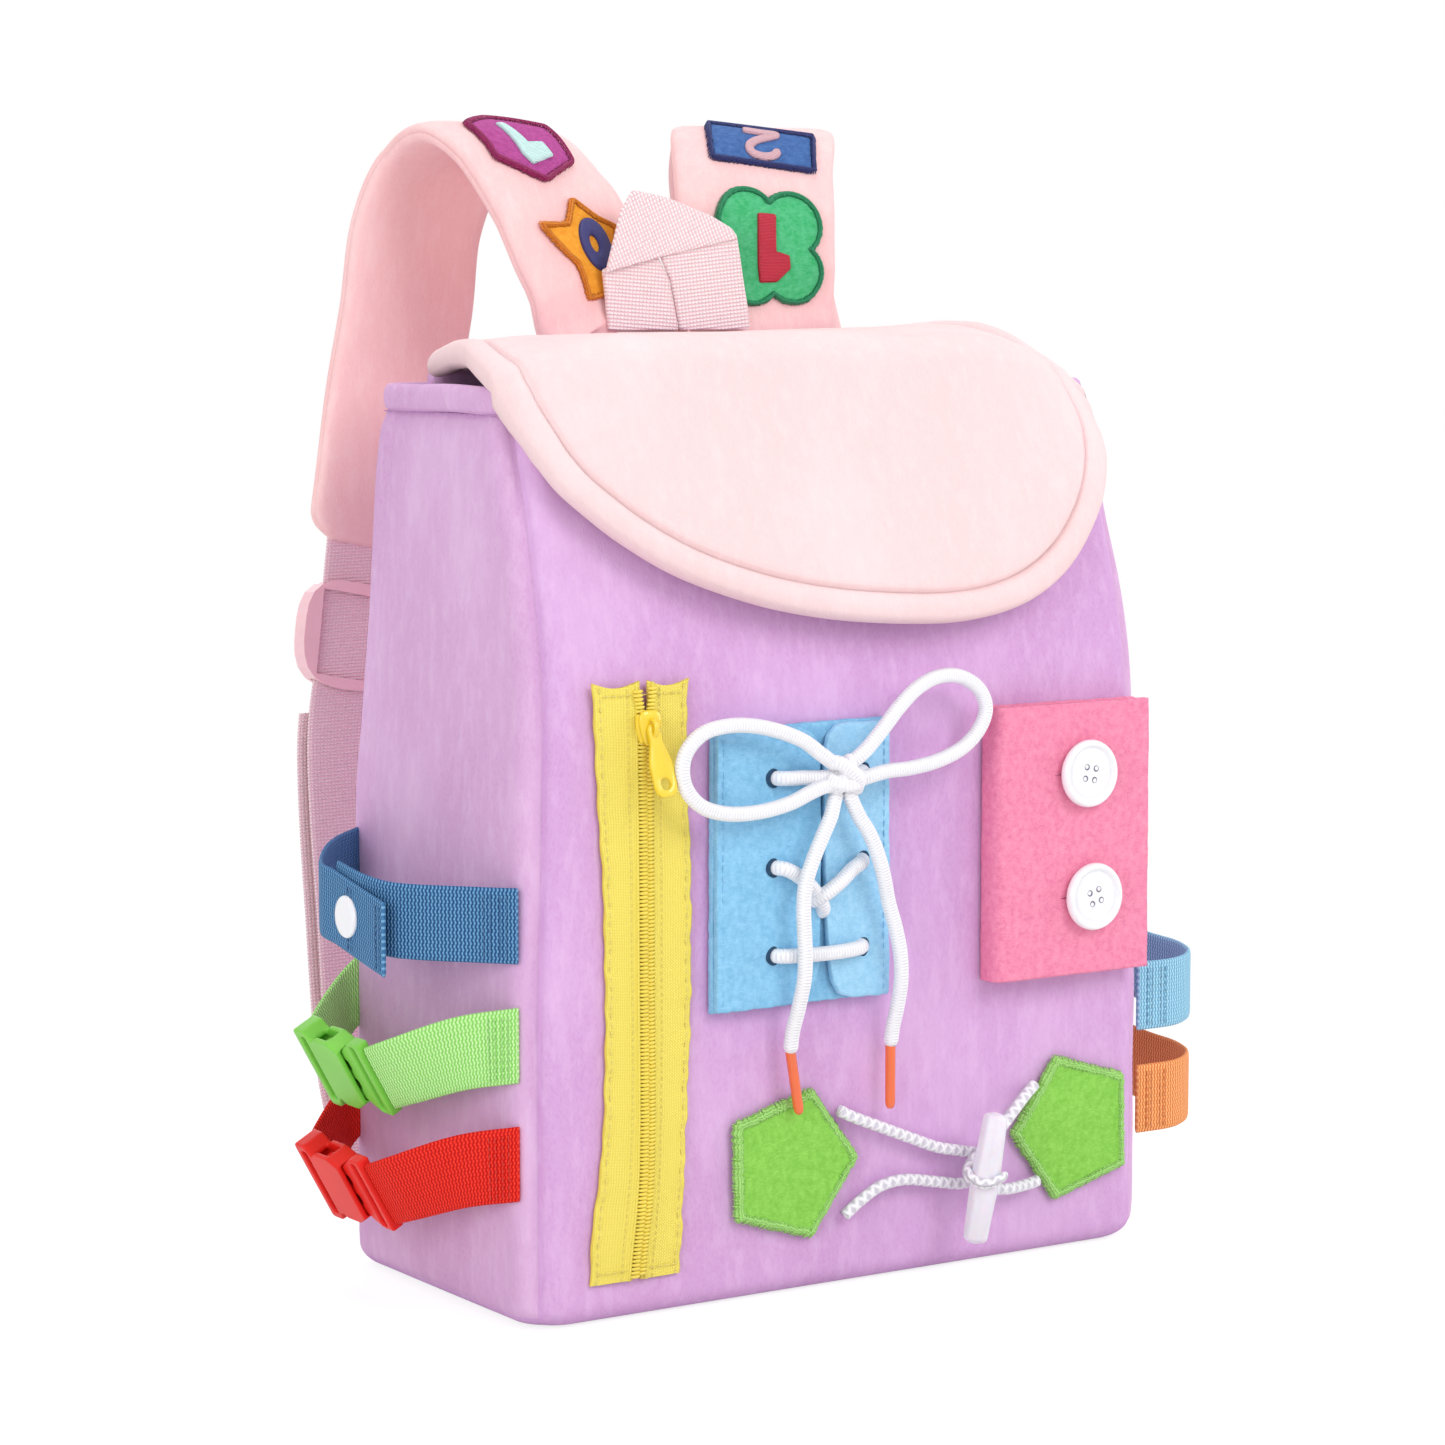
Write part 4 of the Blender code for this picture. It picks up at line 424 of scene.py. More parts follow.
def plush(name, colour, pale, dark, patch=18, seed_shift=0.0, pile=1.0):
    """Short brushed pile: faint broad patches, and fine winding ridges where the pile parts.

    A ridge is 1 - |2n - 1| of a noise n, which peaks along the winding lines where n is a half.
    """
    s = Surface(name, 0.95, sheen=0.25, sheen_tint=pale)
    place = s.node("Mapping", {"Vector": s.object_point(), "Location": (seed_shift, seed_shift, 0),
                               "Scale": (1, 1, 0.6)}).outputs[0]
    broad = s.noise(patch, 2, 0.5, place)
    worm = s.noise(820, 1, 0.4, place)
    ridge = s.math("SUBTRACT", 1.0, s.math("ABSOLUTE", s.math("MULTIPLY_ADD", worm, 2.0, -1.0)))
    fibre = s.noise(1700, 2, 0.6)
    tall = s.node("Mapping", {"Vector": s.object_point(), "Scale": (1, 1, 0.35)}).outputs[0]
    streak = s.noise(240, 3, 0.65, tall)
    body = s.mix(s.ramp(broad, 0.25, 0.65), dark, colour)
    body = s.mix(s.math("MULTIPLY", s.ramp(streak, 0.56, 0.36), 0.30 * pile), body, dark)
    body = s.mix(s.math("MULTIPLY", s.ramp(streak, 0.50, 0.70), 0.35 * pile), body, pale)
    body = s.mix(s.math("MULTIPLY", s.ramp(broad, 0.55, 0.85), 0.5), body, pale)
    body = s.mix(s.math("MULTIPLY", s.ramp(ridge, 0.60, 1.0), 0.20 * pile), body, pale)
    s.colour(body)
    s.bump(streak, 0.25 * pile, 0.0006)
    s.bump(ridge, 0.22 * pile, 0.0004)
    s.bump(fibre, 0.35, 0.0002)
    return s.material


def felt(name, colour, pale, dark):
    """Pressed felt: matted fibres that mottle the colour."""
    s = Surface(name, 0.95, sheen=0.2, sheen_tint=pale)
    mottle = s.noise(420, 5, 0.7)
    fine = s.noise(1700, 3, 0.7)
    stretched = s.node("Mapping", {"Vector": s.object_point(), "Rotation": (0, 0.6, 0), "Scale": (1, 1, 4)})
    fibre = s.noise(520, 4, 0.75, stretched.outputs[0])
    body = s.mix(s.ramp(mottle, 0.34, 0.66), dark, colour)
    body = s.mix(s.math("MULTIPLY", s.ramp(fibre, 0.52, 0.72), 0.55), body, pale)
    s.colour(body)
    s.bump(mottle, 0.45, 0.0005)
    s.bump(fine, 0.35, 0.0003)
    return s.material


def webbing(name, colour, pale, dark, rib=0.00118, column=0.00145, relief=1.0, stagger=0.0, split=0.45):
    """Woven webbing: rounded ribs across it, broken into columns of warp threads.

    The height is ribs times columns to the power `split`, so a larger `split` parts the columns more.
    Each rib wavers from column to column by `stagger` times its pitch. `relief` is the bump's strength.
    The colour is painted shade where the weave is low and painted highlight on its tops.
    """
    s = Surface(name, 0.62, sheen=0.12, sheen_tint=pale)
    s.shader.inputs["Specular IOR Level"].default_value = 0.2
    x, y, _ = s.split(s.cloth_point())
    wobble = s.math("MULTIPLY", s.noise(900, 2), 0.00022)
    along = s.math("ADD", y, wobble)
    weave = s.math("SINE", s.math("MULTIPLY", x, math.pi / column))
    shifted = s.math("ADD", along, s.math("MULTIPLY", weave, rib * stagger))
    ribs = s.wave(shifted, rib, 0.8)
    columns = s.math("POWER", s.math("ABSOLUTE", weave), split)
    height = s.math("MULTIPLY", ribs, columns)
    # painted shade in the weave's hollows, then painted highlight on its tops
    body = s.mix(s.ramp(height, 0.06, 0.62), dark, colour)
    body = s.mix(s.ramp(height, 0.62, 1.0), body, pale)
    s.colour(body)
    s.bump(height, relief, 0.00038)
    return s.material


def braid(name, colour, shade, period=0.0030, turns=2.0, depth=0.00035):
    """Braided cord: strands that cross in chevrons round it."""
    s = Surface(name, 0.6, sheen=0.15)
    x, y, _ = s.split(s.cloth_point())
    along = s.math("MULTIPLY", y, 1 / period)
    round_a = s.math("MULTIPLY", x, turns * 2)
    left = s.math("SINE", s.math("MULTIPLY", s.math("ADD", along, round_a), 2 * math.pi))
    right = s.math("SINE", s.math("MULTIPLY", s.math("SUBTRACT", along, round_a), 2 * math.pi))
    height = s.math("MAXIMUM", left, right)
    fine = s.noise(2600, 1)
    s.colour(s.mix(s.ramp(height, -0.35, 0.65), shade, colour))
    s.bump(height, 0.8, depth)
    s.bump(fine, 0.2, 0.0001)
    return s.material


def gloss(name, colour, roughness=0.28, subsurface=0.1, coat=0.15, speck=0.02, specular=0.5):
    """Moulded plastic: even colour, faint unevenness in its gloss."""
    s = Surface(name, roughness, subsurface=subsurface, coat=coat)
    s.shader.inputs["Specular IOR Level"].default_value = specular
    tone = s.noise(70, 3)
    darker = tuple(c * (1 - speck * 4) for c in colour)
    s.colour(s.mix(s.ramp(tone, 0.3, 0.7), darker, colour))
    s.bump(s.noise(260, 3), 0.06, 0.0004)
    return s.material


def satin(name, colour, dark, pitch=0.00042):
    """Satin stitching: silky threads side by side, painted darker between the threads as shade."""
    s = Surface(name, 0.45, sheen=0.3, sheen_tint=colour)
    _, y, _ = s.split(s.cloth_point())
    wobble = s.math("MULTIPLY", s.noise(1500, 2), 0.0003)
    threads = s.wave(s.math("ADD", y, wobble), pitch, 0.7)
    # painted shade in the hollows between threads
    s.colour(s.mix(s.ramp(threads, 0.0, 0.7), dark, colour))
    s.bump(threads, 0.7, 0.00022)
    return s.material


def knit(name, colour, pale, dark):
    """Knitted zip tape: fine columns with small slanted stitches, painted darker where they are low, as
    shade.
    """
    s = Surface(name, 0.75, sheen=0.15, sheen_tint=pale)
    x, y, _ = s.split(s.cloth_point())
    columns = s.wave(x, 0.00105, 0.6)
    stitches = s.wave(s.math("ADD", y, s.math("MULTIPLY", x, 0.8)), 0.00095, 0.7)
    height = s.math("MULTIPLY", columns, stitches)
    # painted shade in the hollows between stitches
    s.colour(s.mix(s.ramp(height, 0.05, 0.7), dark, colour))
    s.bump(height, 0.7, 0.00022)
    return s.material


# %% [markdown]
# ## Colours and materials
# Colours are linear, read from the photograph's mid tones.

# %% Colours and materials
lilac = plush("lilac_plush", (0.675, 0.385, 0.690), (0.770, 0.525, 0.790), (0.585, 0.305, 0.590))
lilac_side = plush("lilac_plush_side", (0.690, 0.410, 0.665), (0.765, 0.545, 0.755), (0.600, 0.325, 0.575),
                   22, 0.31)
blush = plush("blush_plush", (0.865, 0.640, 0.645), (0.900, 0.705, 0.710), (0.835, 0.590, 0.590), 20, 0.7)
pad_plush = plush("pad_plush", (0.935, 0.600, 0.595), (0.960, 0.690, 0.685), (0.880, 0.510, 0.515), 20, 1.3)
fleece = plush("lining_fleece", (0.640, 0.550, 0.700), (0.800, 0.740, 0.840), (0.430, 0.330, 0.500),
               160, 0.2, 2.0)
pink_web = webbing("pink_webbing", (0.965, 0.720, 0.760), (0.985, 0.830, 0.860), (0.910, 0.580, 0.660))
handle_web = webbing("handle_webbing", (0.960, 0.840, 0.845), (0.985, 0.930, 0.935), (0.850, 0.580, 0.620),
                     0.0013)
pink_plastic = gloss("pink_plastic", (0.950, 0.600, 0.650), 0.35)
zip_knit = knit("zip_knit", (0.930, 0.800, 0.170), (0.960, 0.870, 0.300), (0.800, 0.640, 0.080))
zip_coil_mat = gloss("zip_coil", (0.880, 0.690, 0.085), 0.4, 0.05)
zip_enamel = gloss("zip_enamel", (0.900, 0.640, 0.030), 0.22, 0.0, 0.5)
thread_yellow = satin("yellow_thread", (0.950, 0.830, 0.250), (0.600, 0.440, 0.060), 0.0004)
sky_felt = felt("sky_felt", (0.285, 0.600, 0.850), (0.440, 0.730, 0.930), (0.190, 0.470, 0.720))
sky_felt_pale = felt("sky_felt_pale", (0.390, 0.690, 0.910), (0.520, 0.790, 0.950), (0.280, 0.580, 0.820))
rose_felt = felt("rose_felt", (0.900, 0.290, 0.440), (0.950, 0.420, 0.550), (0.780, 0.190, 0.340))
leaf_felt = felt("leaf_felt", (0.280, 0.640, 0.095), (0.440, 0.770, 0.180), (0.190, 0.510, 0.050))
leaf_satin = satin("leaf_thread", (0.400, 0.740, 0.200), (0.190, 0.480, 0.070), 0.0005)
lace_mat = braid("white_lace", (0.930, 0.920, 0.940), (0.800, 0.780, 0.830), 0.00105, 1.0, 0.00012)
cord_mat = braid("white_cord", (0.900, 0.885, 0.915), (0.680, 0.640, 0.720), 0.0036, 1.0, 0.00040)
tip_mat = gloss("orange_tip", (0.860, 0.150, 0.035), 0.2, 0.1, 0.5)
button_mat = gloss("white_button", (0.880, 0.870, 0.900), 0.22, 0.15, 0.5, 0.01)
toggle_mat = gloss("frosted_toggle", (0.830, 0.790, 0.860), 0.42, 0.5, 0.1, 0.03)
side_weave = {"rib": 0.00128, "column": 0.0011, "stagger": 0.16, "split": 0.16}
soft_weave = {"rib": 0.0014, "column": 0.0012, "relief": 0.5, "stagger": 0.14, "split": 0.16}
blue_web = webbing("blue_webbing", (0.075, 0.235, 0.470), (0.190, 0.420, 0.660), (0.010, 0.055, 0.180),
                   **side_weave)
green_web = webbing("green_webbing", (0.500, 0.950, 0.300), (0.680, 0.980, 0.480), (0.250, 0.680, 0.120),
                    **side_weave)
red_web = webbing("red_webbing", (0.930, 0.016, 0.009), (0.990, 0.060, 0.030), (0.560, 0.003, 0.002),
                  **side_weave)
sky_web = webbing("sky_webbing", (0.300, 0.600, 0.790), (0.480, 0.750, 0.890), (0.110, 0.320, 0.500),
                  **soft_weave)
orange_web = webbing("orange_webbing", (0.930, 0.350, 0.110), (0.980, 0.520, 0.230), (0.640, 0.150, 0.030),
                     **soft_weave)
green_plastic = gloss("green_plastic", (0.225, 0.640, 0.080), 0.42, 0.0, 0.0, specular=0.25)
red_plastic = gloss("red_plastic", (0.820, 0.020, 0.014), 0.42, 0.0, 0.0, specular=0.2)

# %% [markdown]
# ## Stitches
# A stitch is a short thread that arches over the cloth. A row of them is one mesh.


# %% Stitches
def stitches(name, starts, ends, lift, radius, material, body, sides=6, steps=5):
    """Many short threads: each runs from a start to an end, arching along its lift vector."""
    starts, ends, lift = (np.asarray(v, dtype=float) for v in (starts, ends, lift))
    lift = np.broadcast_to(lift, starts.shape)
    t = np.linspace(0, 1, steps)
    arch = np.sin(np.pi * t)
    path = (starts[:, None] * (1 - t)[None, :, None] + ends[:, None] * t[None, :, None]
            + lift[:, None] * arch[None, :, None])
    along = unit(ends - starts)
    up = unit(lift - along * np.sum(lift * along, -1, keepdims=True))
    side = np.cross(along, up)
    turn = np.linspace(0, 2 * np.pi, sides, endpoint=False)
    taper = radius * (0.55 + 0.45 * arch)
    ring = (side[:, None, None] * np.cos(turn)[None, None, :, None]
            + up[:, None, None] * np.sin(turn)[None, None, :, None])
    points = path[:, :, None] + ring * taper[None, :, None, None]
    count = len(starts)
    one = np.concatenate([lattice(steps, sides, loop_columns=True), cap(0, sides, True),
                          cap((steps - 1) * sides, sides)])
    quads = (one[None] + (np.arange(count) * steps * sides)[:, None, None]).reshape(-1, 4)
    uv = np.stack(np.broadcast_arrays(turn[None, None, :] / (2 * np.pi), t[None, :, None] * 0.002), -1)
    uv = np.broadcast_to(uv, (count, steps, sides, 2)).reshape(-1, 2)
    thing = link(name, points.reshape(-1, 3), quads, material, uv)
    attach(thing, body)
    return thing


def stitch_line(name, path, normal, length, gap, radius, material, body, sink=0.3):
    """A running stitch along a path: visible length, then a gap."""
    path = np.asarray(path, dtype=float)
    total = path_length(path)
    count = max(1, int(total / (length + gap)))
    fine = even(path, count * 2 + 1)
    share = length / (length + gap)
    starts, nexts = fine[0:-2:2], fine[2::2]
    ends = starts + (nexts - starts) * share
    normal = np.asarray(normal, dtype=float)
    base = -normal * radius * sink
    return stitches(name, starts + base, ends + base, normal * radius * 0.9, radius, material, body)


# %% [markdown]
# ## The bag's shape
# At each height the plan outline is a rounded rectangle. Its half width narrows towards the mouth,
# its front leans back and its back leans forward, with the same values as the model.

# %% The bag's shape
half_base, half_top = 0.126, 0.121
front_low, back_low = -0.061, 0.061
rim = 0.302
round_low = 0.0075


def bag_half(z):
    """Half width at height z: `half_base` up to 0.1 m, then narrowing evenly to `half_top` at the rim."""
    return half_base - np.clip((z - 0.1) / (rim - 0.1), 0, 1) * (half_base - half_top)


def bag_front(z):
    """Front face at height z: upright up to 0.19 m, then leaning back by 27 mm with the power 1.6."""
    return front_low + 0.027 * np.clip((z - 0.19) / (rim - 0.19), 0, 1) ** 1.6


def bag_back(z):
    """Back face at height z: upright up to 0.15 m, then leaning forward by 13 mm with the power 1.5."""
    return back_low - 0.013 * np.clip((z - 0.15) / (rim - 0.15), 0, 1) ** 1.5


def plan(z, inset, front_r, back_r, per_side):
    """Plan outline at one height, anticlockwise from the front left corner's middle.

    Each side has two half corners (an eighth of a turn each) and a straight part. Returns the points,
    the outward normals and the distance of each point from the nearest corner seam.
    """
    wide, front, back = bag_half(z) - inset, bag_front(z) + inset, bag_back(z) - inset
    corners = [(-wide, front, front_r), (wide, front, front_r), (wide, back, back_r), (-wide, back, back_r)]
    points, normals, seam = [], [], []
    arc = max(6, per_side // 7)
    for k in range(4):
        x0, y0, r0 = corners[k]
        x1, y1, r1 = corners[(k + 1) % 4]
        along = np.array([x1 - x0, y1 - y0])
        length = np.linalg.norm(along)
        along = along / length
        inward = np.array([-along[1], along[0]])
        a = np.linspace(np.pi / 4, 0, arc, endpoint=False)
        c0 = np.array([x0, y0]) + (along + inward) * r0
        n0 = -inward * np.cos(a)[:, None] - along * np.sin(a)[:, None]
        points.append(c0 + n0 * r0)
        normals.append(n0)
        seam.append((np.pi / 4 - a) * r0)
        t = np.linspace(0, 1, per_side - 2 * arc, endpoint=False)[:, None]
        p0, p1 = np.array([x0, y0]) + along * r0, np.array([x1, y1]) - along * r1
        points.append(p0 + (p1 - p0) * t)
        normals.append(np.broadcast_to(-inward, (len(t), 2)))
        straight = length - r0 - r1
        before, after = t[:, 0] * straight + np.pi / 4 * r0, (1 - t[:, 0]) * straight + np.pi / 4 * r1
        seam.append(np.minimum(before, after))
        a = np.linspace(0, np.pi / 4, arc, endpoint=False)
        c1 = np.array([x1, y1]) + (inward - along) * r1
        n1 = -inward * np.cos(a)[:, None] + along * np.sin(a)[:, None]
        points.append(c1 + n1 * r1)
        normals.append(n1)
        seam.append((np.pi / 4 - a) * r1)
    return np.vstack(points), np.vstack(normals), np.concatenate(seam)


# %% [markdown]
# ## Plush shell
# One skin, open at the mouth: rows climb from near the middle of the base, round its lower edge and up
# to the hem. Each point is moved along its normal: inwards in a narrow groove at the four corner seams,
# outwards a little between the seams, and by smooth noise for the softness of the wadding. The front
# gets only a third of that noise and no bulge, because the fasteners sit on it. A disc closes the base.

# %% Plush shell
per_side = 84
front_corner_r, back_corner_r = 0.0135, 0.0085
shell_top = rim - 0.0085


def shell_rows():
    """Height and inset of each row of the shell, from the base's middle to the hem."""
    turn = np.linspace(0, np.pi / 2, 14)
    z = np.concatenate([round_low * (1 - np.cos(turn)), np.linspace(round_low, shell_top, 118)[1:]])
    inset = np.concatenate([round_low * (1 - np.sin(turn)), np.zeros(117)])
    return z, inset


def make_shell():
    """The plush skin of the bag, with its base."""
    z_rows, insets = shell_rows()
    rows, seams, outs = [], [], []
    for z, inset in zip(z_rows, insets):
        soft = 1 + 0.25 * np.clip((z - 0.05) / 0.2, 0, 1)
        p, n, seam = plan(z, inset, front_corner_r * soft, back_corner_r * soft, per_side)
        rows.append(np.column_stack([p, np.full(len(p), z)]))
        seams.append(seam)
        outs.append(n)
    grid, seams, outs = np.array(rows), np.array(seams), np.array(outs)
    normal = np.concatenate([outs, np.zeros(outs.shape[:2] + (1,))], -1)
    tilt = np.clip(insets / round_low, 0, 1)[:, None, None]
    normal = unit(normal * (1 - tilt) + np.array([0, 0, -1.0]) * tilt)
    columns = grid.shape[1]
    side_of = np.arange(columns) // per_side
    rise = np.clip(z_rows / shell_top, 0, 1)[:, None]
    groove = -0.0017 * np.exp(-(seams / 0.0016) ** 2) + 0.0010 * np.exp(-((seams - 0.006) / 0.0045) ** 2)
    groove = groove * np.clip(z_rows / 0.012, 0, 1)[:, None]
    bulge_by_side = np.array([0.0, 0.0030, 0.0016, 0.0030])[side_of][None]
    middle = np.sin(np.clip(seams / 0.05, 0, 1) * np.pi / 2)
    bulge = bulge_by_side * middle * np.sin(np.pi * np.clip(rise, 0, 1)) ** 0.7
    soft = value_noise(grid, 0.055, 3) * 0.0010 + value_noise(grid, 0.021, 4) * 0.0004
    calm = np.where(side_of == 0, 0.35, 1.0)[None]
    edge_calm = np.clip((z_rows - 0.004) / 0.02, 0, 1)[:, None]
    top_pull = -0.0016 * np.exp(-((shell_top - z_rows) / 0.004) ** 2)[:, None]
    lean = -np.where(side_of == 0, 0.0006, 0.0)[None]
    move = groove + bulge + soft * calm * edge_calm + top_pull + lean * edge_calm
    grid = grid + normal * move[..., None]
    shares = np.linspace(0, 1, 12, endpoint=False)[1:]
    base = []
    first = grid[0]
    centre = first.mean(0)
    for share in shares:
        ring = centre + (first - centre) * share
        ring[:, 2] = first[:, 2] * share
        base.append(ring)
    grid = np.concatenate([np.array(base), grid])
    inner_top = grid[-1].copy()
    inward = np.zeros_like(inner_top)
    inward[:, :2] = -outs[-1]
    grid = np.concatenate([grid, (inner_top + inward * 0.0044 + [0, 0, 0.0004])[None],
                           (inner_top + inward * 0.0046 - [0, 0, 0.03])[None]])
    thing = grid_object("plush_shell", grid, lilac, loop_columns=True)
    return thing, grid


shell, shell_grid = make_shell()
shell.data.materials.append(lilac_side)
faces = np.zeros(len(shell.data.polygons), dtype=np.int32)
centres = np.empty(len(faces) * 3, dtype=np.float32)
shell.data.polygons.foreach_get("center", centres)
centres = centres.reshape(-1, 3)
past_seam = np.abs(centres[:, 0]) - bag_half(centres[:, 2]) > (bag_front(centres[:, 2]) - centres[:, 1])
faces[past_seam & (centres[:, 2] > 0.004)] = 1
shell.data.polygons.foreach_set("material_index", faces)
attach(shell, "bag")
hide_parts("front_panel", "left_gusset", "right_gusset", "back_panel", "base_panel")

# base disc that closes the middle of the shell
ring = shell_grid[0]
disc_rows = np.array([ring.mean(0) + (ring - ring.mean(0)) * s for s in (1.0, 0.5, 0.02)])
disc_rows = np.concatenate([disc_rows, disc_rows[::-1] + [0, 0, 0.002]])
base_patch = grid_object("base_middle", disc_rows, lilac, loop_columns=True, loop_rows=True)
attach(base_patch, "bag")

# %% [markdown]
# ## Mouth hem, lining and back seam
# The hem is the plush folded over at the mouth: a soft roll that follows the outline. The lining is a
# thin fleece bag inside. At the back a second roll stands on the hem, where pads, handle and flap are
# sewn in.

# %% Mouth hem, lining and back seam
hem_plan, hem_out, _ = plan(rim - 0.004, 0.0022, front_corner_r, back_corner_r, per_side)
hem_path = np.column_stack([hem_plan, np.full(len(hem_plan), rim - 0.0040)])
hem_path[:, 2] += value_noise(hem_path, 0.03, 9) * 0.0006
hem_side = np.column_stack([hem_out, np.zeros(len(hem_out))])
hem_up = np.broadcast_to([0.0, 0.0, 1.0], hem_path.shape)
hem_section = disc(0.0029, 16, 2.6, 0.0046)
swell = 1 + 0.06 * value_noise(hem_path, 0.012, 12)[:, None]
hem_grid = (hem_path[:, None] + hem_side[:, None] * hem_section[None, :, :1] * swell[:, None]
            + hem_up[:, None] * hem_section[None, :, 1:])
hem = grid_object("hem_roll", hem_grid, lilac_side, loop_rows=True, loop_columns=True)
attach(hem, "bag")
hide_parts("mouth_hem")

lining_rows = []
for z, inset in [(0.0075, 0.06), (0.0075, 0.022), (0.012, 0.0105), (0.022, 0.0068)] + [
        (z, 0.0066) for z in np.linspace(0.04, rim - 0.0030, 26)]:
    p, n, _ = plan(z, inset, 0.008, 0.010, 40)
    wave = value_noise(np.column_stack([p, np.full(len(p), z)]), 0.03, 21) * 0.0006
    p = p - n * (0.0006 + wave[:, None])
    lining_rows.append(np.column_stack([p, np.full(len(p), z)]))
outer = np.array(lining_rows)
inner = outer.copy()
centre_line = np.array([0, 0.002])
inner[..., :2] += unit(centre_line - outer[..., :2]) * 0.0012
inner[:4, :, 2] += 0.0012
lining = grid_object("lining_bag", np.concatenate([outer, inner[::-1]]), fleece, loop_columns=True)
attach(lining, "bag")
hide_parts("lining")

yoke_low, yoke_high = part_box("back_yoke")
yoke_path = np.linspace((yoke_low[0] + 0.002, 0.0455, 0.3100), (yoke_high[0] - 0.002, 0.0455, 0.3100), 60)
yoke_end = np.clip((np.abs(np.linspace(-1, 1, 60)) - 0.68) / 0.32, 0, 1) ** 2
yoke_path[:, 2] += value_noise(yoke_path, 0.03, 31) * 0.0004 - 0.0085 * yoke_end
yoke_size = np.stack([1 - 0.15 * yoke_end, 1 - 0.45 * yoke_end], -1)
yoke_section = disc(0.0032, 20, 3.0, 0.0078)
yoke = sweep("back_seam_roll", yoke_path, (0, 1.0, 0), (0, 0, 1.0), yoke_section, lilac_side, yoke_size)
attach(yoke, "bag")
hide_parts("back_yoke")

# %% [markdown]
# ## Flap
# The flap is laid out flat first, in (across, along) coordinates: along runs from its sewn rear edge,
# over the mouth and down the front. Rings of points run round its outline: the first few cross the
# rolled border, the rest shrink to its middle. Then each point is put on the flap's bent line and
# moved along the line's normal by the padding's thickness. Points that would lie in the bag are moved
# out, and `resting` spreads those moves over the neighbouring points, so that no crease is left.

# %% Flap
fold_r, fold_angle = 0.014, math.radians(70)
fold_y, fold_z = 0.0427 - 0.0735 - 0.0003, 0.318 - 0.014
fold_length = fold_r * fold_angle
# stations along the flap, in millimetres: where it is measured, its left and right edge, and how far
# each edge hangs below the bent line
side_at = np.array([-73, -55, -35, -15, 0, 13, 28, 45, 57, 64]) * mm
side_left = np.array([-107, -111, -115, -119.5, -122, -121, -118.5, -115.2, -109.5, -101.9]) * mm
side_right = np.array([107, 108.5, 109.2, 109.6, 110.6, 113.2, 115.5, 113, 109.5, 106.8]) * mm
drop_at = np.array([-73, -60, -45, -35, -27, -16, -7, 0, 9, 17, 26, 36, 48, 60]) * mm
drop_left = np.array([6.5, 4.5, 1.5, 1.0, 1.2, 5, 8, 10.5, 13.5, 13.5, 10, 5.5, 1.5, 0]) * mm
drop_right = np.array([-3, -3, -2.5, -0.5, 2, 6.5, 10.5, 13.5, 16, 15.5, 12, 7, 2, 0]) * mm


def flap_drop(x, s):
    """How far the flap hangs below its bent line: 0 up to 62% of the way to its side edge, then rising
    with the power 1.8 of what is left."""
    out = np.where(x < 0, x / np.interp(s, side_at, side_left), x / np.interp(s, side_at, side_right))
    edge = np.where(x < 0, np.interp(s, drop_at, drop_left), np.interp(s, drop_at, drop_right))
    crown = 0.0018 * np.clip((x + 0.05) / 0.12, 0, 1) * np.clip((0.010 - s) / 0.03, 0, 1)
    return edge * np.clip((out - 0.62) / 0.38, 0, 1) ** 1.8 - crown


def flap_place(x, s, depth, clear=None):
    """Points at (x, s) in the flat layout, `depth` under the flap's outer line.

    With `clear`, points that would lie in the bag are moved out to that distance from it.
    """
    angle = np.clip(s / fold_r, 0, fold_angle)
    past = np.maximum(s - fold_length, 0)
    y = fold_y - fold_r * np.sin(angle) - np.minimum(s, 0) - past * math.cos(fold_angle)
    z = fold_z + fold_r * np.cos(angle) - past * math.sin(fold_angle)
    drop = flap_drop(x, s)
    y = y + np.sin(angle) * depth + 0.40 * drop * np.clip((s + 0.002) / 0.012, 0, 1)
    z = z - np.cos(angle) * depth - drop
    if clear is None:
        return np.stack([x, y, z], -1)
    level = np.minimum(z, rim)
    r = front_corner_r * 1.25
    across = np.maximum(np.abs(x) - (bag_half(level) - r), 0)
    ahead = np.maximum(bag_front(level) + r - y, 0)
    off = np.hypot(across, ahead)
    low = (z < rim + 0.0006) & ((np.abs(x) > 0.1125) | (y < -0.0275))
    inside = low & (off < r + clear)
    push = np.clip((off / r - 0.55) / 0.3, 0, 1) * np.clip((s + 0.018) / 0.010, 0, 1)
    push = np.where(inside, push * push * (3 - 2 * push), 0)
    grow = ((r + clear) / np.maximum(off, 1e-6) - 1) * push
    x = x + np.sign(x) * across * grow
    y = y - ahead * grow
    lift = np.where(inside & (s < fold_length), rim + 0.0006 + clear - z, 0)
    z = z + np.maximum(lift, 0) * (1 - push)
    return np.stack([x, y, z], -1)


def flap_outline(count):
    """Closed outline in (x, s): the rear edge, the left side, the curved lower edge, the right side."""
    knots = np.array([(-99, -73), (-105, -71.5), (-107.6, -67), (-111, -55), (-115, -35), (-119.5, -15),
                      (-122, 0), (-121, 13), (-118.5, 28), (-115.2, 45), (-109.5, 56.7), (-101.9, 64.8),
                      (-89, 75.5), (-70.5, 86.8), (-45, 96.5), (-21, 102.2), (5.5, 105.5), (34.2, 106.6),
                      (57, 103.6), (75, 96.8), (89.3, 86.5), (102.1, 71.8), (108.3, 60.5), (113, 46),
                      (115.5, 28), (113.2, 13), (110.6, 0), (109.6, -15), (109.2, -35), (108.5, -55),
                      (107.2, -66), (104.6, -71.5), (99, -73)]) * mm
    return polygon_path(smooth_path(knots, 260), count, 0.001)


def soft_ring(ring, passes):
    """A closed row of points, each halfway to the mean of its two neighbours, `passes` times over."""
    for _ in range(passes):
        ring = (2 * ring + np.roll(ring, 1, 0) + np.roll(ring, -1, 0)) / 4
    return ring


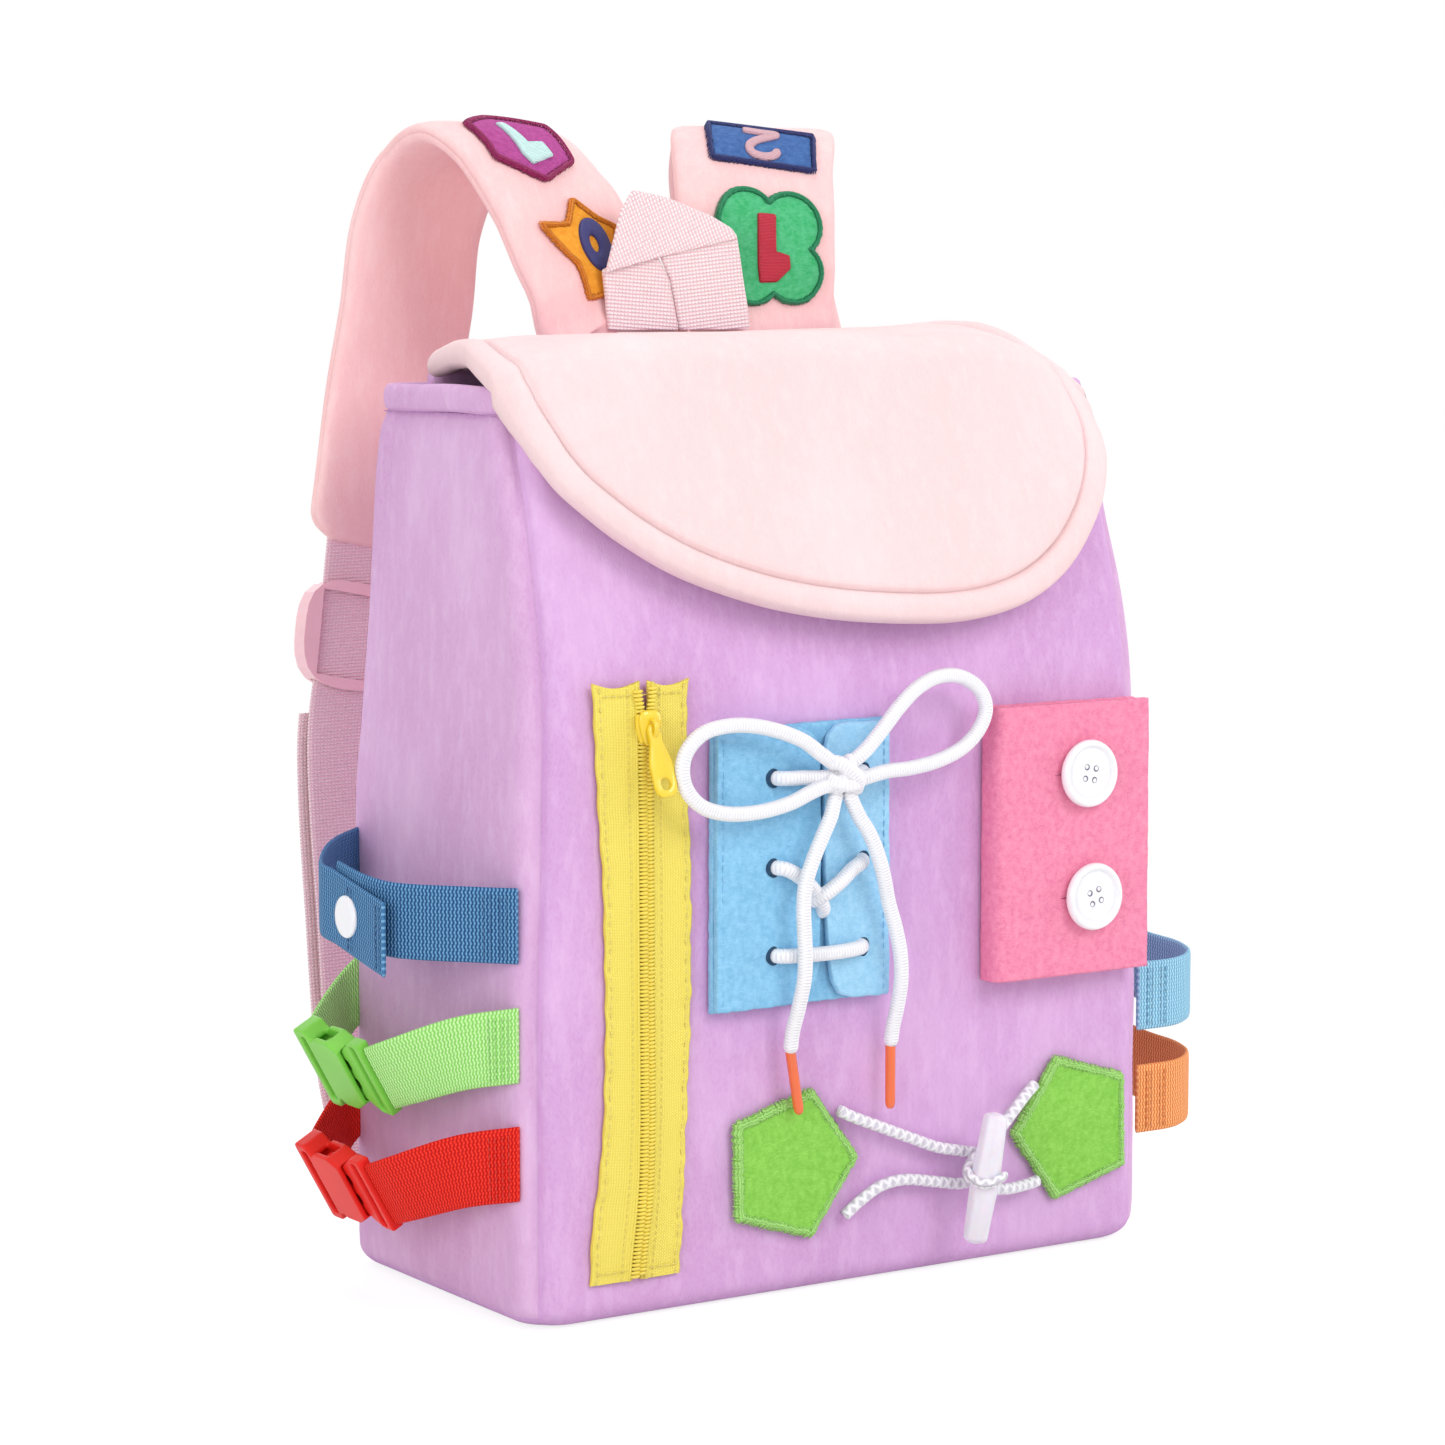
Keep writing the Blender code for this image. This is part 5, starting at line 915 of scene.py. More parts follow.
def resting(rings, depth, clear):
    """The flap's points with the moves that clear the bag spread over their neighbours.

    Each move is averaged with its two neighbours on the ring, 14 times over, and then grows by a tenth.
    """
    plain = flap_place(rings[..., 0], rings[..., 1], depth)
    move = flap_place(rings[..., 0], rings[..., 1], depth, clear) - plain
    for _ in range(14):
        move = (move + np.roll(move, 1, 1) + np.roll(move, -1, 1)) / 3
    return plain + move * 1.1


def make_flap():
    """The padded flap with its rolled border, as one closed skin."""
    count = 300
    outline = flap_outline(count)
    centre = np.array([0.0, 0.005])
    inward = inwards(outline, tangents(outline, loop=True), centre)
    border = 0.0098
    ring_at = np.array([0, 0.0004, 0.0013, 0.0027, 0.0043, 0.0058, 0.0072, 0.0084, 0.0092, border, 0.0104,
                        0.0112, 0.0125])
    rings = [soft_ring(outline + inward * d, int(40 * (d / 0.0125) ** 2)) for d in ring_at]
    last = rings[-1]
    shares = np.linspace(1, 0.02, 34)[1:]
    rings += [centre + (last - centre) * s for s in shares]
    rings = np.array(rings)
    distance = np.concatenate([ring_at, ring_at[-1] + (1 - shares) * 0.06])[:, None] * np.ones((1, count))
    rear_fade = np.clip((rings[..., 1] + 0.0731) / 0.006, 0, 1)
    roll = np.sqrt(np.clip(1 - ((distance - 0.0049) / 0.0049) ** 2, 0, 1))
    half = 0.0045
    in_border = distance <= border
    shoulder = np.clip((distance - border) / 0.0028, 0, 1)
    crown = 0.0026 + (0.0019 + 0.0008 * np.clip((distance - border) / 0.05, 0, 1)) * np.sqrt(
        np.clip(1 - (1 - shoulder) ** 2, 0, 1))
    bulk = np.where(in_border, 0.0010 + (half + 0.0004 - 0.0010) * roll, crown)
    bulk = np.where(distance == 0, 0.0002, bulk)
    bulk = bulk * (0.45 + 0.55 * rear_fade)
    noise_at = np.stack([rings[..., 0], rings[..., 1], 0 * rings[..., 0]], -1)
    soft = value_noise(noise_at, 0.04, 41) * 0.0006 + value_noise(noise_at, 0.016, 42) * 0.00025
    calm = np.clip(distance / 0.012, 0, 1)
    top = resting(rings, half - bulk - soft * calm, 0.0040)
    bottom = resting(rings, half + bulk, 0.0008)
    grid = np.concatenate([top[::-1], bottom[1:]])
    flat = np.concatenate([rings[::-1], rings[1:]]).reshape(-1, 2)
    return grid_object("flap_padded", grid, blush, loop_columns=True, caps=True, uv=flat)


flap = make_flap()
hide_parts("flap_top", "flap_front", "flap_border")
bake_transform(flap)

# %% [markdown]
# ## Carry handle
# One length of webbing folded into a pointed roof: two legs side by side and a slanted piece across
# their tops. Each flat piece has its own weave direction. Two feet are sewn to the bag, under the line
# on which the handle tilts.


# %% Carry handle
def flat_cloth(name, corners, y, thickness, turn, material, body):
    """A flat piece of cloth in the X-Z plane: its outline filled by shrinking rings, with thickness."""
    outline = polygon_path(corners, 160, 0.0012)
    centre = outline.mean(0)
    rings, depth = [], []
    profile = ((1.0, 0.0), (1.0, 0.5), (0.985, 0.93), (0.95, 1.0), (0.7, 1.0), (0.4, 1.0), (0.02, 1.0))
    for share, up in profile:
        rings.append(centre + (outline - centre) * share)
        depth.append(up)
    rings, depth = np.array(rings), np.array(depth)[:, None] * np.ones((1, 160))
    ripple = value_noise(np.stack([rings[..., 0], rings[..., 1], 0 * depth], -1), 0.012, 55) * 0.0002
    front = np.stack([rings[..., 0], y - depth * thickness / 2 - ripple * depth, rings[..., 1]], -1)
    back = np.stack([rings[..., 0], y + depth * thickness / 2, rings[..., 1]], -1)
    grid = np.concatenate([front[::-1], back[1:]])
    flat = np.concatenate([rings[::-1], rings[1:]]).reshape(-1, 2)
    c, s = math.cos(turn), math.sin(turn)
    uv = flat @ np.array([[c, s], [-s, c]])
    thing = grid_object(name, grid, material, loop_columns=True, caps=True, uv=uv)
    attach(thing, body)
    return thing


def handle_point(x, z):
    """A point given in millimetres from the handle's base centre."""
    return 0.003 + x * mm, 0.3195 + z * mm


left_leg = [handle_point(*p) for p in ((-31, 0), (-33.5, 21), (-12, 27), (-6.5, 18), (-2.5, 0))]
right_leg = [handle_point(*p) for p in ((-2.2, 0), (-6, 17), (-11, 27), (21, 34), (26, 8), (27, 0))]
roof = [handle_point(*p) for p in ((-33.6, 20), (-27.5, 41), (-22.5, 48.5), (-10, 46.5), (10, 39.8),
                                   (18.5, 35.5), (21, 32.0), (-11, 25.5))]
handle_y = 0.0494
legs = flat_cloth("handle_left_leg", left_leg, handle_y, 0.0022, math.radians(4), handle_web, "handle")
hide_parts("carry_handle")
flat_cloth("handle_right_leg", right_leg, handle_y - 0.0011, 0.0021, math.radians(-6), handle_web, "handle")
flat_cloth("handle_roof", roof, handle_y - 0.0024, 0.0021, math.radians(66), handle_web, "handle")
# sewn feet of the handle, under its hinge line
for name, x0, x1 in (("handle_foot_left", -28.0, -1.5), ("handle_foot_right", -0.5, 29.0)):
    foot = [(0.003 + x0 * mm, 0.3035), (0.003 + x0 * mm, 0.3188), (0.003 + x1 * mm, 0.3188),
            (0.003 + x1 * mm, 0.3035)]
    flat_cloth(name, foot, handle_y + 0.0002, 0.0020, 0.0, handle_web, "bag")

# %% [markdown]
# ## Shoulder pads
# A padded tube follows the same centre line as the model: up from the back seam, back over an arch and
# down. Its section is flat with full, rounded edges; a seam runs round the middle of each edge.

# %% Shoulder pads
pad_front_y = 0.048 + 0.0003 + 0.0022 + 0.0003 + 0.005
left_drift = np.array([0.0, 0.0, 0.06, 0.17, 0.31, 0.43, 0.54, 0.60, 0.70, 0.755, 0.86, 1.0])
right_drift = np.array([0.0, 0.0, 0.0, 0.0, 0.03, 0.12, 0.27, 0.38, 0.47, 0.54, 0.68, 0.82])
strap_depths = np.array([0.0, 0.0, 0.035, 0.07, 0.14, 0.34, 0.60, 0.86, 0.98, 1.0, 0.98, 0.91])
strap_rises = np.array([-0.20, 0.18, 0.30, 0.50, 0.73, 0.93, 1.0, 0.88, 0.62, 0.28, -0.12, -0.70])


def strap_line(hand, count=220):
    """Centre line of a shoulder pad with its side and face directions."""
    root = 0.0095 + hand * 0.0313
    drift = left_drift if hand < 0 else right_drift
    points = np.stack([root + hand * 0.068 * drift, pad_front_y + 0.057 * strap_depths,
                       rim + 0.085 * strap_rises], -1)
    path = smooth_path(points, count)
    share = np.linspace(0, 1, count)
    turn = math.radians(13) * np.clip((share - 0.12) / 0.08, 0, 1)
    across = np.stack([np.cos(turn), -hand * np.sin(turn), np.zeros(count)], -1)
    along = tangents(path)
    side = unit(across - along * np.sum(across * along, -1, keepdims=True))
    return path, side, np.cross(side, along)


def pad_section(width, thickness, count=26):
    """Flat faces with full rounded edges and a shallow seam line round the edges."""
    t = np.linspace(0, 2 * np.pi, count * 2, endpoint=False)
    x, y = np.cos(t), np.sin(t)
    reach = (np.abs(x) ** 3.4 + np.abs(y) ** 3.4) ** (-1 / 3.4)
    px, py = x * reach, y * reach
    edge = np.clip((np.abs(px) * width / 2 - (width / 2 - thickness * 0.62)) / (thickness * 0.62), 0, 1)
    full = np.sqrt(np.clip(1 - edge ** 2.2, 0, 1))
    height = np.sign(py) * np.minimum(np.abs(py), full)
    groove = 0.0007 * np.exp(-(py / 0.14) ** 2)
    return np.stack([px * (width / 2) - np.sign(px) * groove, height * thickness / 2], -1)


def make_pad(hand, word):
    """One shoulder pad."""
    path, side, face = strap_line(hand)
    section = pad_section(0.060, 0.0100)
    count = len(path)
    share = np.linspace(0, 1, count)
    reach = share * path_length(path)
    left = path_length(path) - reach
    wide = np.sqrt(np.clip(1 - np.clip(1 - left / 0.010, 0, 1) ** 2 * 0.55, 0, 1))
    thick = np.clip(0.35 + left / 0.006, 0, 1) * np.clip(0.6 + reach / 0.012, 0, 1)
    thick = thick * (1 + 0.05 * value_noise(path, 0.03, 61))
    points, quads, uv = sweep_parts(path, side, face, section, np.stack([wide, thick], -1))
    soft = value_noise(points, 0.03, 62 + hand) * 0.0004
    middle = np.repeat(path, len(section), 0)
    points = points + unit(points - middle) * soft[:, None]
    thing = link(word + "_pad_soft", points, quads, pad_plush, uv)
    outward(thing)
    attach(thing, "bag")
    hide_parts(word + "_strap_pad")
    return path, side, face


pads = {}
for hand, word in ((-1, "left"), (1, "right")):
    pads[hand] = make_pad(hand, word)

# %% [markdown]
# ## Embroidered patches
# Each patch is drawn flat, as it looks from the front: x to the right, z up. `on_pad` lays flat points
# on the pad: z becomes distance along the strap and x distance across it. The fill is felted thread, the
# edge a satin band, the digit a raised satin shape. The digits stand upside down, as on the real strap.


# %% Embroidered patches
def on_pad(hand, middle, x, z, lift):
    """Points on a pad's outer face at flat place (x, z) and a lift off the face."""
    path, side, face = pads[hand]
    reach = distances(path)
    where = middle * reach[-1] + z
    at = [np.stack([np.interp(where, reach, v[:, k]) for k in range(3)], -1) for v in (path, side, face)]
    crown = 0.0050 * (1 - 0.05 * (np.abs(x) / 0.026) ** 3)
    return at[0] + at[1] * x[..., None] + at[2] * (crown + lift)[..., None]


def filled(name, hand, middle, outline, lift, thick, material, hollow=None):
    """A flat shape filled by rings from its outline to its middle, or to a hollow's outline."""
    centre = outline.mean(0) if hollow is None else None
    rings, rise = [], []
    for share, up in ((0.0, 0.0), (0.02, 0.55), (0.06, 0.85), (0.14, 1.0), (0.35, 1.05), (0.6, 1.05),
                      (0.85, 1.05), (0.98, 1.05) if hollow is None else (1.0, 0.2)):
        inner = centre if hollow is None else hollow
        rings.append(outline * (1 - share) + inner * share)
        rise.append(up)
    rings, rise = np.array(rings), np.array(rise)[:, None] * np.ones((1, len(outline)))
    top = on_pad(hand, middle, rings[..., 0], rings[..., 1], lift + thick * rise)
    low = on_pad(hand, middle, rings[..., 0], rings[..., 1], lift - 0.0004 + 0 * rise)
    grid = np.concatenate([top[::-1], low])
    flat = np.concatenate([rings[::-1], rings]).reshape(-1, 2)
    if hollow is None:
        thing = grid_object(name, grid, material, loop_columns=True, caps=True, uv=flat)
    else:
        thing = grid_object(name, grid, material, loop_columns=True, loop_rows=True, uv=flat)
    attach(thing, "bag")
    return thing


def satin_edge(name, hand, middle, outline, width, lift, height, material):
    """Satin stitching round an outline: threads side by side, each arching across the edge."""
    count = int(path_length(closed(outline)) / 0.00048)
    path = even(closed(outline), count + 1)[:-1]
    along = tangents(path, loop=True)
    for _ in range(3):
        along = unit(along + np.roll(along, 1, 0) + np.roll(along, -1, 0))
    inward = inwards(path, along, path.mean(0))
    jitter = rng.uniform(-0.00028, 0.00028, (2, count))
    outer = path - inward * (width * 0.45 + jitter[0])[:, None]
    inner = path + inward * (width * 0.55 + jitter[1])[:, None]
    inner = inner + along * 0.0004
    zero = np.zeros(count)
    starts = on_pad(hand, middle, outer[:, 0], outer[:, 1], zero + lift * 0.2)
    ends = on_pad(hand, middle, inner[:, 0], inner[:, 1], zero + lift)
    above = on_pad(hand, middle, path[:, 0], path[:, 1], zero + lift + height)
    return stitches(name, starts, ends, above - (starts + ends) / 2, 0.00034, material, "bag", 5, 6)


def turned(points):
    """A shape turned half a turn, in millimetres to metres."""
    return -np.asarray(points, dtype=float) * mm


def arc_points(cx, cz, rx, rz, start, end, count):
    """Points along an ellipse, angles in degrees."""
    t = np.radians(np.linspace(start, end, count))
    return np.stack([cx + rx * np.cos(t), cz + rz * np.sin(t)], -1)


def stroke(name, hand, middle, points, half_width, lift, thick, material):
    """A stitched pen stroke along given points in millimetres, turned half a turn.

    Its section is a low arch. It is carried along the line and narrows at both ends, which leaves
    them rounded.
    """
    line = even(smooth_path(turned(points), 240), 110)
    along = tangents(line)
    beside = np.stack([-along[:, 1], along[:, 0]], -1)
    section = np.array([(-1, -0.4), (-1, 0.3), (-0.8, 0.8), (-0.4, 1.0), (0, 1.05), (0.4, 1.0), (0.8, 0.8),
                        (1, 0.3), (1, -0.4)])
    t = np.linspace(-1, 1, 110)
    wide = half_width * np.sqrt(np.clip(1 - np.clip((np.abs(t) - 0.95) / 0.05, 0, 0.97) ** 2, 0, 1))
    flat = line[:, None] + beside[:, None] * (wide[:, None] * section[:, 0])[..., None]
    raised = lift + thick * section[:, 1] * np.ones((110, 1))
    grid = on_pad(hand, middle, flat[..., 0], flat[..., 1], raised)
    thing = grid_object(name, grid, material, loop_columns=True, caps=True, uv=flat.reshape(-1, 2))
    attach(thing, "bag")
    return thing


def clover(size, count=240):
    """Four round lobes."""
    t = np.linspace(0, 2 * np.pi, count, endpoint=False)
    best = np.zeros(count)
    d, r = size * 0.275, size * 0.262
    for k in range(4):
        a = np.pi / 4 + k * np.pi / 2
        c = np.cos(t - a) * d
        best = np.maximum(best, c + np.sqrt(np.maximum(r ** 2 - (d * np.sin(t - a)) ** 2, 0)))
    best = np.maximum(best, size * 0.29)
    return np.stack([best * np.cos(t), best * np.sin(t)], -1)


patch_lift = 0.0006
magenta = felt("magenta_fill", (0.450, 0.065, 0.290), (0.570, 0.130, 0.390), (0.330, 0.035, 0.200))
magenta_edge = satin("magenta_edge", (0.330, 0.006, 0.110), (0.150, 0.002, 0.050))
aqua = satin("aqua_thread", (0.600, 0.820, 0.790), (0.330, 0.580, 0.560), 0.0005)
orange_fill = felt("orange_fill", (0.930, 0.420, 0.035), (0.960, 0.520, 0.080), (0.820, 0.290, 0.015))
orange_edge = satin("orange_edge", (0.760, 0.250, 0.012), (0.420, 0.110, 0.004))
navy = satin("navy_thread", (0.050, 0.055, 0.240), (0.014, 0.014, 0.080), 0.0005)
clover_fill = felt("clover_fill", (0.090, 0.510, 0.235), (0.160, 0.640, 0.300), (0.030, 0.400, 0.130))
clover_edge = satin("clover_edge", (0.020, 0.300, 0.130), (0.008, 0.140, 0.060))
crimson = satin("crimson_thread", (0.560, 0.008, 0.040), (0.280, 0.003, 0.018), 0.0005)
block_fill = felt("block_fill", (0.058, 0.150, 0.390), (0.110, 0.225, 0.490), (0.030, 0.090, 0.280))
block_edge = satin("block_edge", (0.018, 0.030, 0.170), (0.006, 0.010, 0.060))
dusty = satin("dusty_thread", (0.700, 0.430, 0.470), (0.420, 0.200, 0.260), 0.0005)

hexagon = polygon_path(np.array([(-19.5, -3.5), (-16.5, 12), (2, 16), (19.5, 4), (15.5, -12),
                                 (-3, -15.5)]) * mm, 240, 0.0012)
star = polygon_path(np.array([(-16.5, 15), (-4, 11), (3.5, 17), (10, 8), (16.5, 2), (11.5, -6), (16.5, -28.5),
                              (2, -17.5), (-8.5, -15), (-8.0, -2.5)]) * mm, 260, 0.001)
block = polygon_path(np.array([(-17.2, -9), (21.6, -9), (21.6, 10), (-17.2, 10)]) * mm, 240, 0.0015)
clover_line = clover(0.0432) + [0.0030, 0]
seven = polygon_path(turned([(-7.5, 8.5), (5, 9.5), (6.5, 5), (2.8, -9.5), (0.2, -9.0), (0.6, 1), (-0.5, 3.2),
                             (-7.5, 2.8)]), 160, 0.0010)
one = polygon_path(turned([(-5.2, -12), (1.6, -12), (2.2, 12.0), (-4.6, 12.0), (-10.4, 7.4), (-10.2, 2.6),
                           (-5.0, 2.8)]), 160, 0.001)
two = [(-8.0, 2.6), (-6.6, 5.0), (-2.8, 6.4), (1.4, 5.6), (2.6, 3.0), (0.6, 0.0), (-3.6, -3.0), (-7.4, -5.6),
       (-7.0, -6.4), (-2.0, -6.2), (4.6, -6.2)]
ring_out = arc_points(3.4, 0.2, 6.6, 9.6, 0, 360, 161)[:-1] * mm
ring_in = arc_points(2.8, 0.6, 2.0, 3.1, 0, 360, 161)[:-1] * mm
tail = polygon_path(np.array([(10.0, -2), (10.2, -9), (9.6, -13), (11.0, -18.5), (6.4, -19), (6.8, -13),
                              (6.4, -8.5), (5, -6)]) * mm, 120, 0.0008)

patch_list = ((-1, 0.375, "seven", hexagon, magenta, magenta_edge, aqua, (seven, None)),
              (-1, 0.228, "six", star, orange_fill, orange_edge, navy, (ring_out, ring_in)),
              (1, 0.365, "two", block, block_fill, block_edge, dusty, (None, None)),
              (1, 0.224, "one", clover_line, clover_fill, clover_edge, crimson, (one, None)))
for hand, middle, word, outline, fill, edge, thread, (digit, hollow) in patch_list:
    base = filled("patch_" + word + "_fill", hand, middle, outline, patch_lift, 0.0006, fill)
    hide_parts("patch_" + word)
    satin_edge("patch_" + word + "_edge", hand, middle, outline, 0.0021, patch_lift + 0.0006, 0.0009, edge)
    if digit is not None:
        filled("digit_" + word, hand, middle, digit, patch_lift + 0.0010, 0.0009, thread, hollow)
stroke("digit_two", 1, 0.365, two, 0.0016, patch_lift + 0.0010, 0.0009, dusty)
filled("digit_six_tail", -1, 0.228, tail, patch_lift + 0.0010, 0.0009, navy)

# %% [markdown]
# ## Webbing
# `strap` carries the woven section along a path. Side straps start at the bag's corner seams.

# %% Webbing
web_thick, web_gap = 0.0016, 0.0003


def strap(name, points, material, body, width=0.0245, thickness=web_thick, across=None, count=90,
          roll=(0.0, 0.0), hand=-1):
    """A length of webbing along a smooth path; its width direction is vertical unless given."""
    path = smooth_path(points, count) if len(points) < 40 else even(np.asarray(points, float), count)
    t = np.linspace(0, 1, count)
    if across is None:
        turn = roll[0] + (roll[1] - roll[0]) * t * t * (3 - 2 * t)
        side = np.stack([hand * np.sin(turn), 0 * t, np.cos(turn)], -1)
    else:
        side = np.broadcast_to(np.asarray(across, dtype=float), path.shape)
    along = tangents(path)
    normal = unit(np.cross(along, side))
    ripple = value_noise(path, 0.02, 71) * 0.0003
    path = path + normal * ripple[:, None] * np.sin(np.pi * t)[:, None]
    thing = sweep(name, path, side, normal, band_section(width, thickness), material)
    if body:
        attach(thing, body)
    return thing, path, side, normal


# %% [markdown]
# ## Shoulder strap webbing
# From the pad's lower end the webbing runs through the slide and down to the bag's bottom corner; its
# spare end hangs behind it.

# %% Shoulder strap webbing
web_lean = math.radians(8)
for hand, word in ((-1, "left"), (1, "right")):
    path, side, face = pads[hand]
    away = unit(path[-1] - path[-2])
    shift = side[-1] * (hand * 0.009)
    start = path[-1] + shift - away * 0.004
    straight = 0.038 * 1.9
    direction = unit(np.array([hand * 0.013, -straight * 0.12, -straight]))
    first = path[-1] + shift + away * 0.0003
    knee = first + direction * straight
    foot = np.array([hand * (half_base - 0.016), back_low + web_thick / 2 + web_gap, 0.022])
    out, up = knee[1] - foot[1], knee[2] - foot[2]
    line = [start, first, first + (knee - first) / 2, knee] + [
        (foot[0], foot[1] + out * a, foot[2] + up * b)
        for a, b in ((0.88, 0.58), (0.70, 0.25), (0.35, 0.092), (0.053, 0.036), (0.0, 0.0))]
    across = np.array([math.cos(web_lean), -hand * math.sin(web_lean), 0.0])
    thing, web_path, _, _ = strap(word + "_long_webbing", line, pink_web, "bag", 0.025, 0.0015, across, 150)
    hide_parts(word + "_strap_webbing")
    tail = web_path[40:128] + np.array([0, 0.0030, 0])
    tail = tail + np.array([hand * 0.0022, 0, 0])
    tail[:, 1] += 0.0016 * np.sin(np.linspace(0, np.pi, len(tail)))
    strap(word + "_spare_webbing", tail, pink_web, "bag", 0.025, 0.0015, across, 100)
    recolour(word + "_adjuster", pink_plastic)

# %% [markdown]
# ## Zip
# Two knitted tapes with wavy edges, a coil of small teeth on each, stitched down; a teardrop slider
# with its bridge and a pull tab with a round hole.

# %% Zip
zip_x, zip_low, zip_high = -0.084, 0.0135, 0.2085
zip_y = -0.0613


def chain_x(z):
    """The zip's line: it wanders a little to the right in the middle, as sewn."""
    knots_z = np.array([0.013, 0.022, 0.035, 0.048, 0.066, 0.083, 0.110, 0.145, 0.166, 0.206])
    knots_x = (-0.0875, -0.0865, -0.0848, -0.0838, -0.0834, -0.0834, -0.0836, -0.0837, -0.0838, -0.0842)
    return np.interp(z, knots_z, knots_x)


edge_knots_z = np.array([0.010, 0.030, 0.050, 0.066, 0.100, 0.143, 0.170, 0.197, 0.210])
edge_knots_x = {-1: (-0.1048, -0.1040, -0.1008, -0.0992, -0.0984, -0.0992, -0.1012, -0.1026, -0.1032),
                1: (-0.0712, -0.0698, -0.0688, -0.0680, -0.0664, -0.0662, -0.0672, -0.0680, -0.0668)}


def make_tape(hand, word):
    """One half of the zip tape: a thin sheet whose edge wavers, with a raised rib by the coil."""
    u = np.linspace(0, 1, 26)
    share = np.linspace(0, 1, 240)[:, None]
    top_z = zip_high + 0.0004 - 0.0020 * np.sin(np.pi * u)
    z_all = zip_low + (top_z - zip_low) * share
    z = z_all[:, 0]
    edge = np.interp(z_all, edge_knots_z, edge_knots_x[hand]) + 0.00022 * np.sin(z_all * 480 + hand)
    x = chain_x(z_all) + hand * 0.0016
    x = x + (edge - x) * u
    lift = 0.0010 + 0.0004 * np.exp(-((u - 0.12) / 0.05) ** 2)[None]
    lift = lift + 0.0003 * np.sin(z * 300)[:, None] * u[None] ** 2
    lift = lift + 0.0002 * np.sin(z * 900)[:, None] * (u[None] > 0.8)
    top = np.stack([x, zip_y - lift, z_all], -1)
    low = top.copy()
    low[..., 1] = zip_y + 0.0002
    ring = np.concatenate([top, low[:, ::-1]], 1)
    across = np.broadcast_to(np.concatenate([u, u[::-1]]) * 0.0165, (240, 52))
    uv = np.stack([across, np.concatenate([z_all, z_all[:, ::-1]], 1)], -1).reshape(-1, 2)
    thing = grid_object("zip_tape_" + word + "_knit", ring, zip_knit, loop_columns=True, uv=uv)
    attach(thing, "bag")
    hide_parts("zip_tape_" + word)
    stitch_line("zip_seam_" + word, top[:, 22], (0, -1, 0), 0.0022, 0.0008, 0.00026, thread_yellow, "bag")
    stitch_line("zip_inner_seam_" + word, top[:, 7], (0, -1, 0), 0.0016, 0.0007, 0.0002, thread_yellow, "bag")


for hand, word in ((-1, "left"), (1, "right")):
    make_tape(hand, word)
hem_rows = [(zip_low + 0.0035, "zip_hem_low"), (zip_high - 0.004, "zip_hem_high")]
for z, name in hem_rows:
    c = float(chain_x(np.array([z]))[0])
    line = [(c - 0.0155, zip_y - 0.0014, z), (c + 0.0155, zip_y - 0.0014, z)]
    stitch_line(name, line, (0, -1, 0), 0.0020, 0.0008, 0.00026, thread_yellow, "bag")


def make_coils():
    """Teeth: each turn of the coil is a small rounded bar across the tape, a bar of one side sitting
    between two of the other below the slider, and apart from them above it."""
    pitch = 0.00128
    slider_z = 0.1939
    z = np.arange(zip_low + 0.0015, zip_high - 0.0015, pitch)
    starts, ends = [], []
    for hand in (-1, 1):
        level = z + (pitch / 2 if hand > 0 else 0)
        open_by = np.clip((level - slider_z - 0.002) / 0.008, 0, 1) * 0.0015
        near = chain_x(level) + hand * (open_by - 0.0005)
        far = chain_x(level) + hand * (open_by + 0.0029)
        starts.append(np.stack([near, np.full_like(level, zip_y - 0.0019), level], -1))
        ends.append(np.stack([far, np.full_like(level, zip_y - 0.0017), level + 0.0002 * hand], -1))
    starts, ends = np.vstack(starts), np.vstack(ends)
    stitches("zip_coils", starts, ends, (0, -0.0007, 0), 0.00066, zip_coil_mat, "bag", 6, 6)


make_coils()
for hand in (-1, 1):
    z = np.linspace(zip_low, zip_high, 120)
    cord_x = chain_x(z) + hand * 0.0031
    rib = np.stack([cord_x, np.full_like(z, zip_y - 0.0013), z], -1)
    tube("zip_rib_%d" % (hand > 0), rib, 0.0006, 8, zip_knit, "bag", around=0.004)


def plate(outline, centre, y_low, y_high, edge=0.0006, dome=0.0):
    """Rings of a rounded flat plate in the X-Z plane, from its back face to its front face."""
    rings = []
    way = np.sign(y_high - y_low)
    for share, y in ((0.02, y_low), (1 - edge / 0.006, y_low), (1.0, y_low + way * edge * 0.6),
                     (1.0, y_high - way * edge), (1 - edge / 0.008, y_high - way * edge * 0.2),
                     (0.75, y_high + way * dome * 0.4), (0.4, y_high + way * dome * 0.85),
                     (0.02, y_high + way * dome)):
        ring = centre + (outline - centre) * share
        rings.append(np.stack([ring[:, 0], np.full(len(ring), y), ring[:, 1]], -1))
    return np.array(rings)


slider_low, slider_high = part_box("zip_slider")
sx = (slider_low[0] + slider_high[0]) / 2
sz = (slider_low[2] + slider_high[2]) / 2
tear = np.array([(-3.0, 5.7), (0, 5.9), (3.0, 5.7), (4.3, 3.2), (3.9, 0.5), (2.6, -3.6), (1.6, -5.6),
                 (0, -5.9), (-1.6, -5.6), (-2.6, -3.6), (-3.9, 0.5), (-4.3, 3.2)]) * mm
tear = polygon_path(tear + [sx, sz], 80, 0.0022)
slider_top = zip_y - 0.0036
slider_grid = plate(tear, np.array([sx, sz]), slider_top, slider_top - 0.0015, 0.0005, 0.0004)
top_plate = grid_object("slider_plate", slider_grid, zip_enamel, loop_columns=True, caps=True)
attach(top_plate, "slider")
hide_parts("zip_slider")
for hand in (-1, 1):
    wall_line = [(sx + hand * x * mm, zip_y - 0.0030, sz + z * mm)
                 for x, z in ((3.6, 4.4), (3.6, 2.5), (3.6, 0.4), (3.0, -1.8), (2.1, -4.6))]
    tube("slider_wall_%d" % (hand > 0), smooth_path(wall_line, 24), 0.0009, 10, zip_enamel, "slider")
bridge_at = ((0.0010, 0.0030), (0.0034, 0.0026), (0.0044, 0.0010), (0.0044, -0.0010), (0.0034, -0.0024),
             (0.0010, -0.0028))
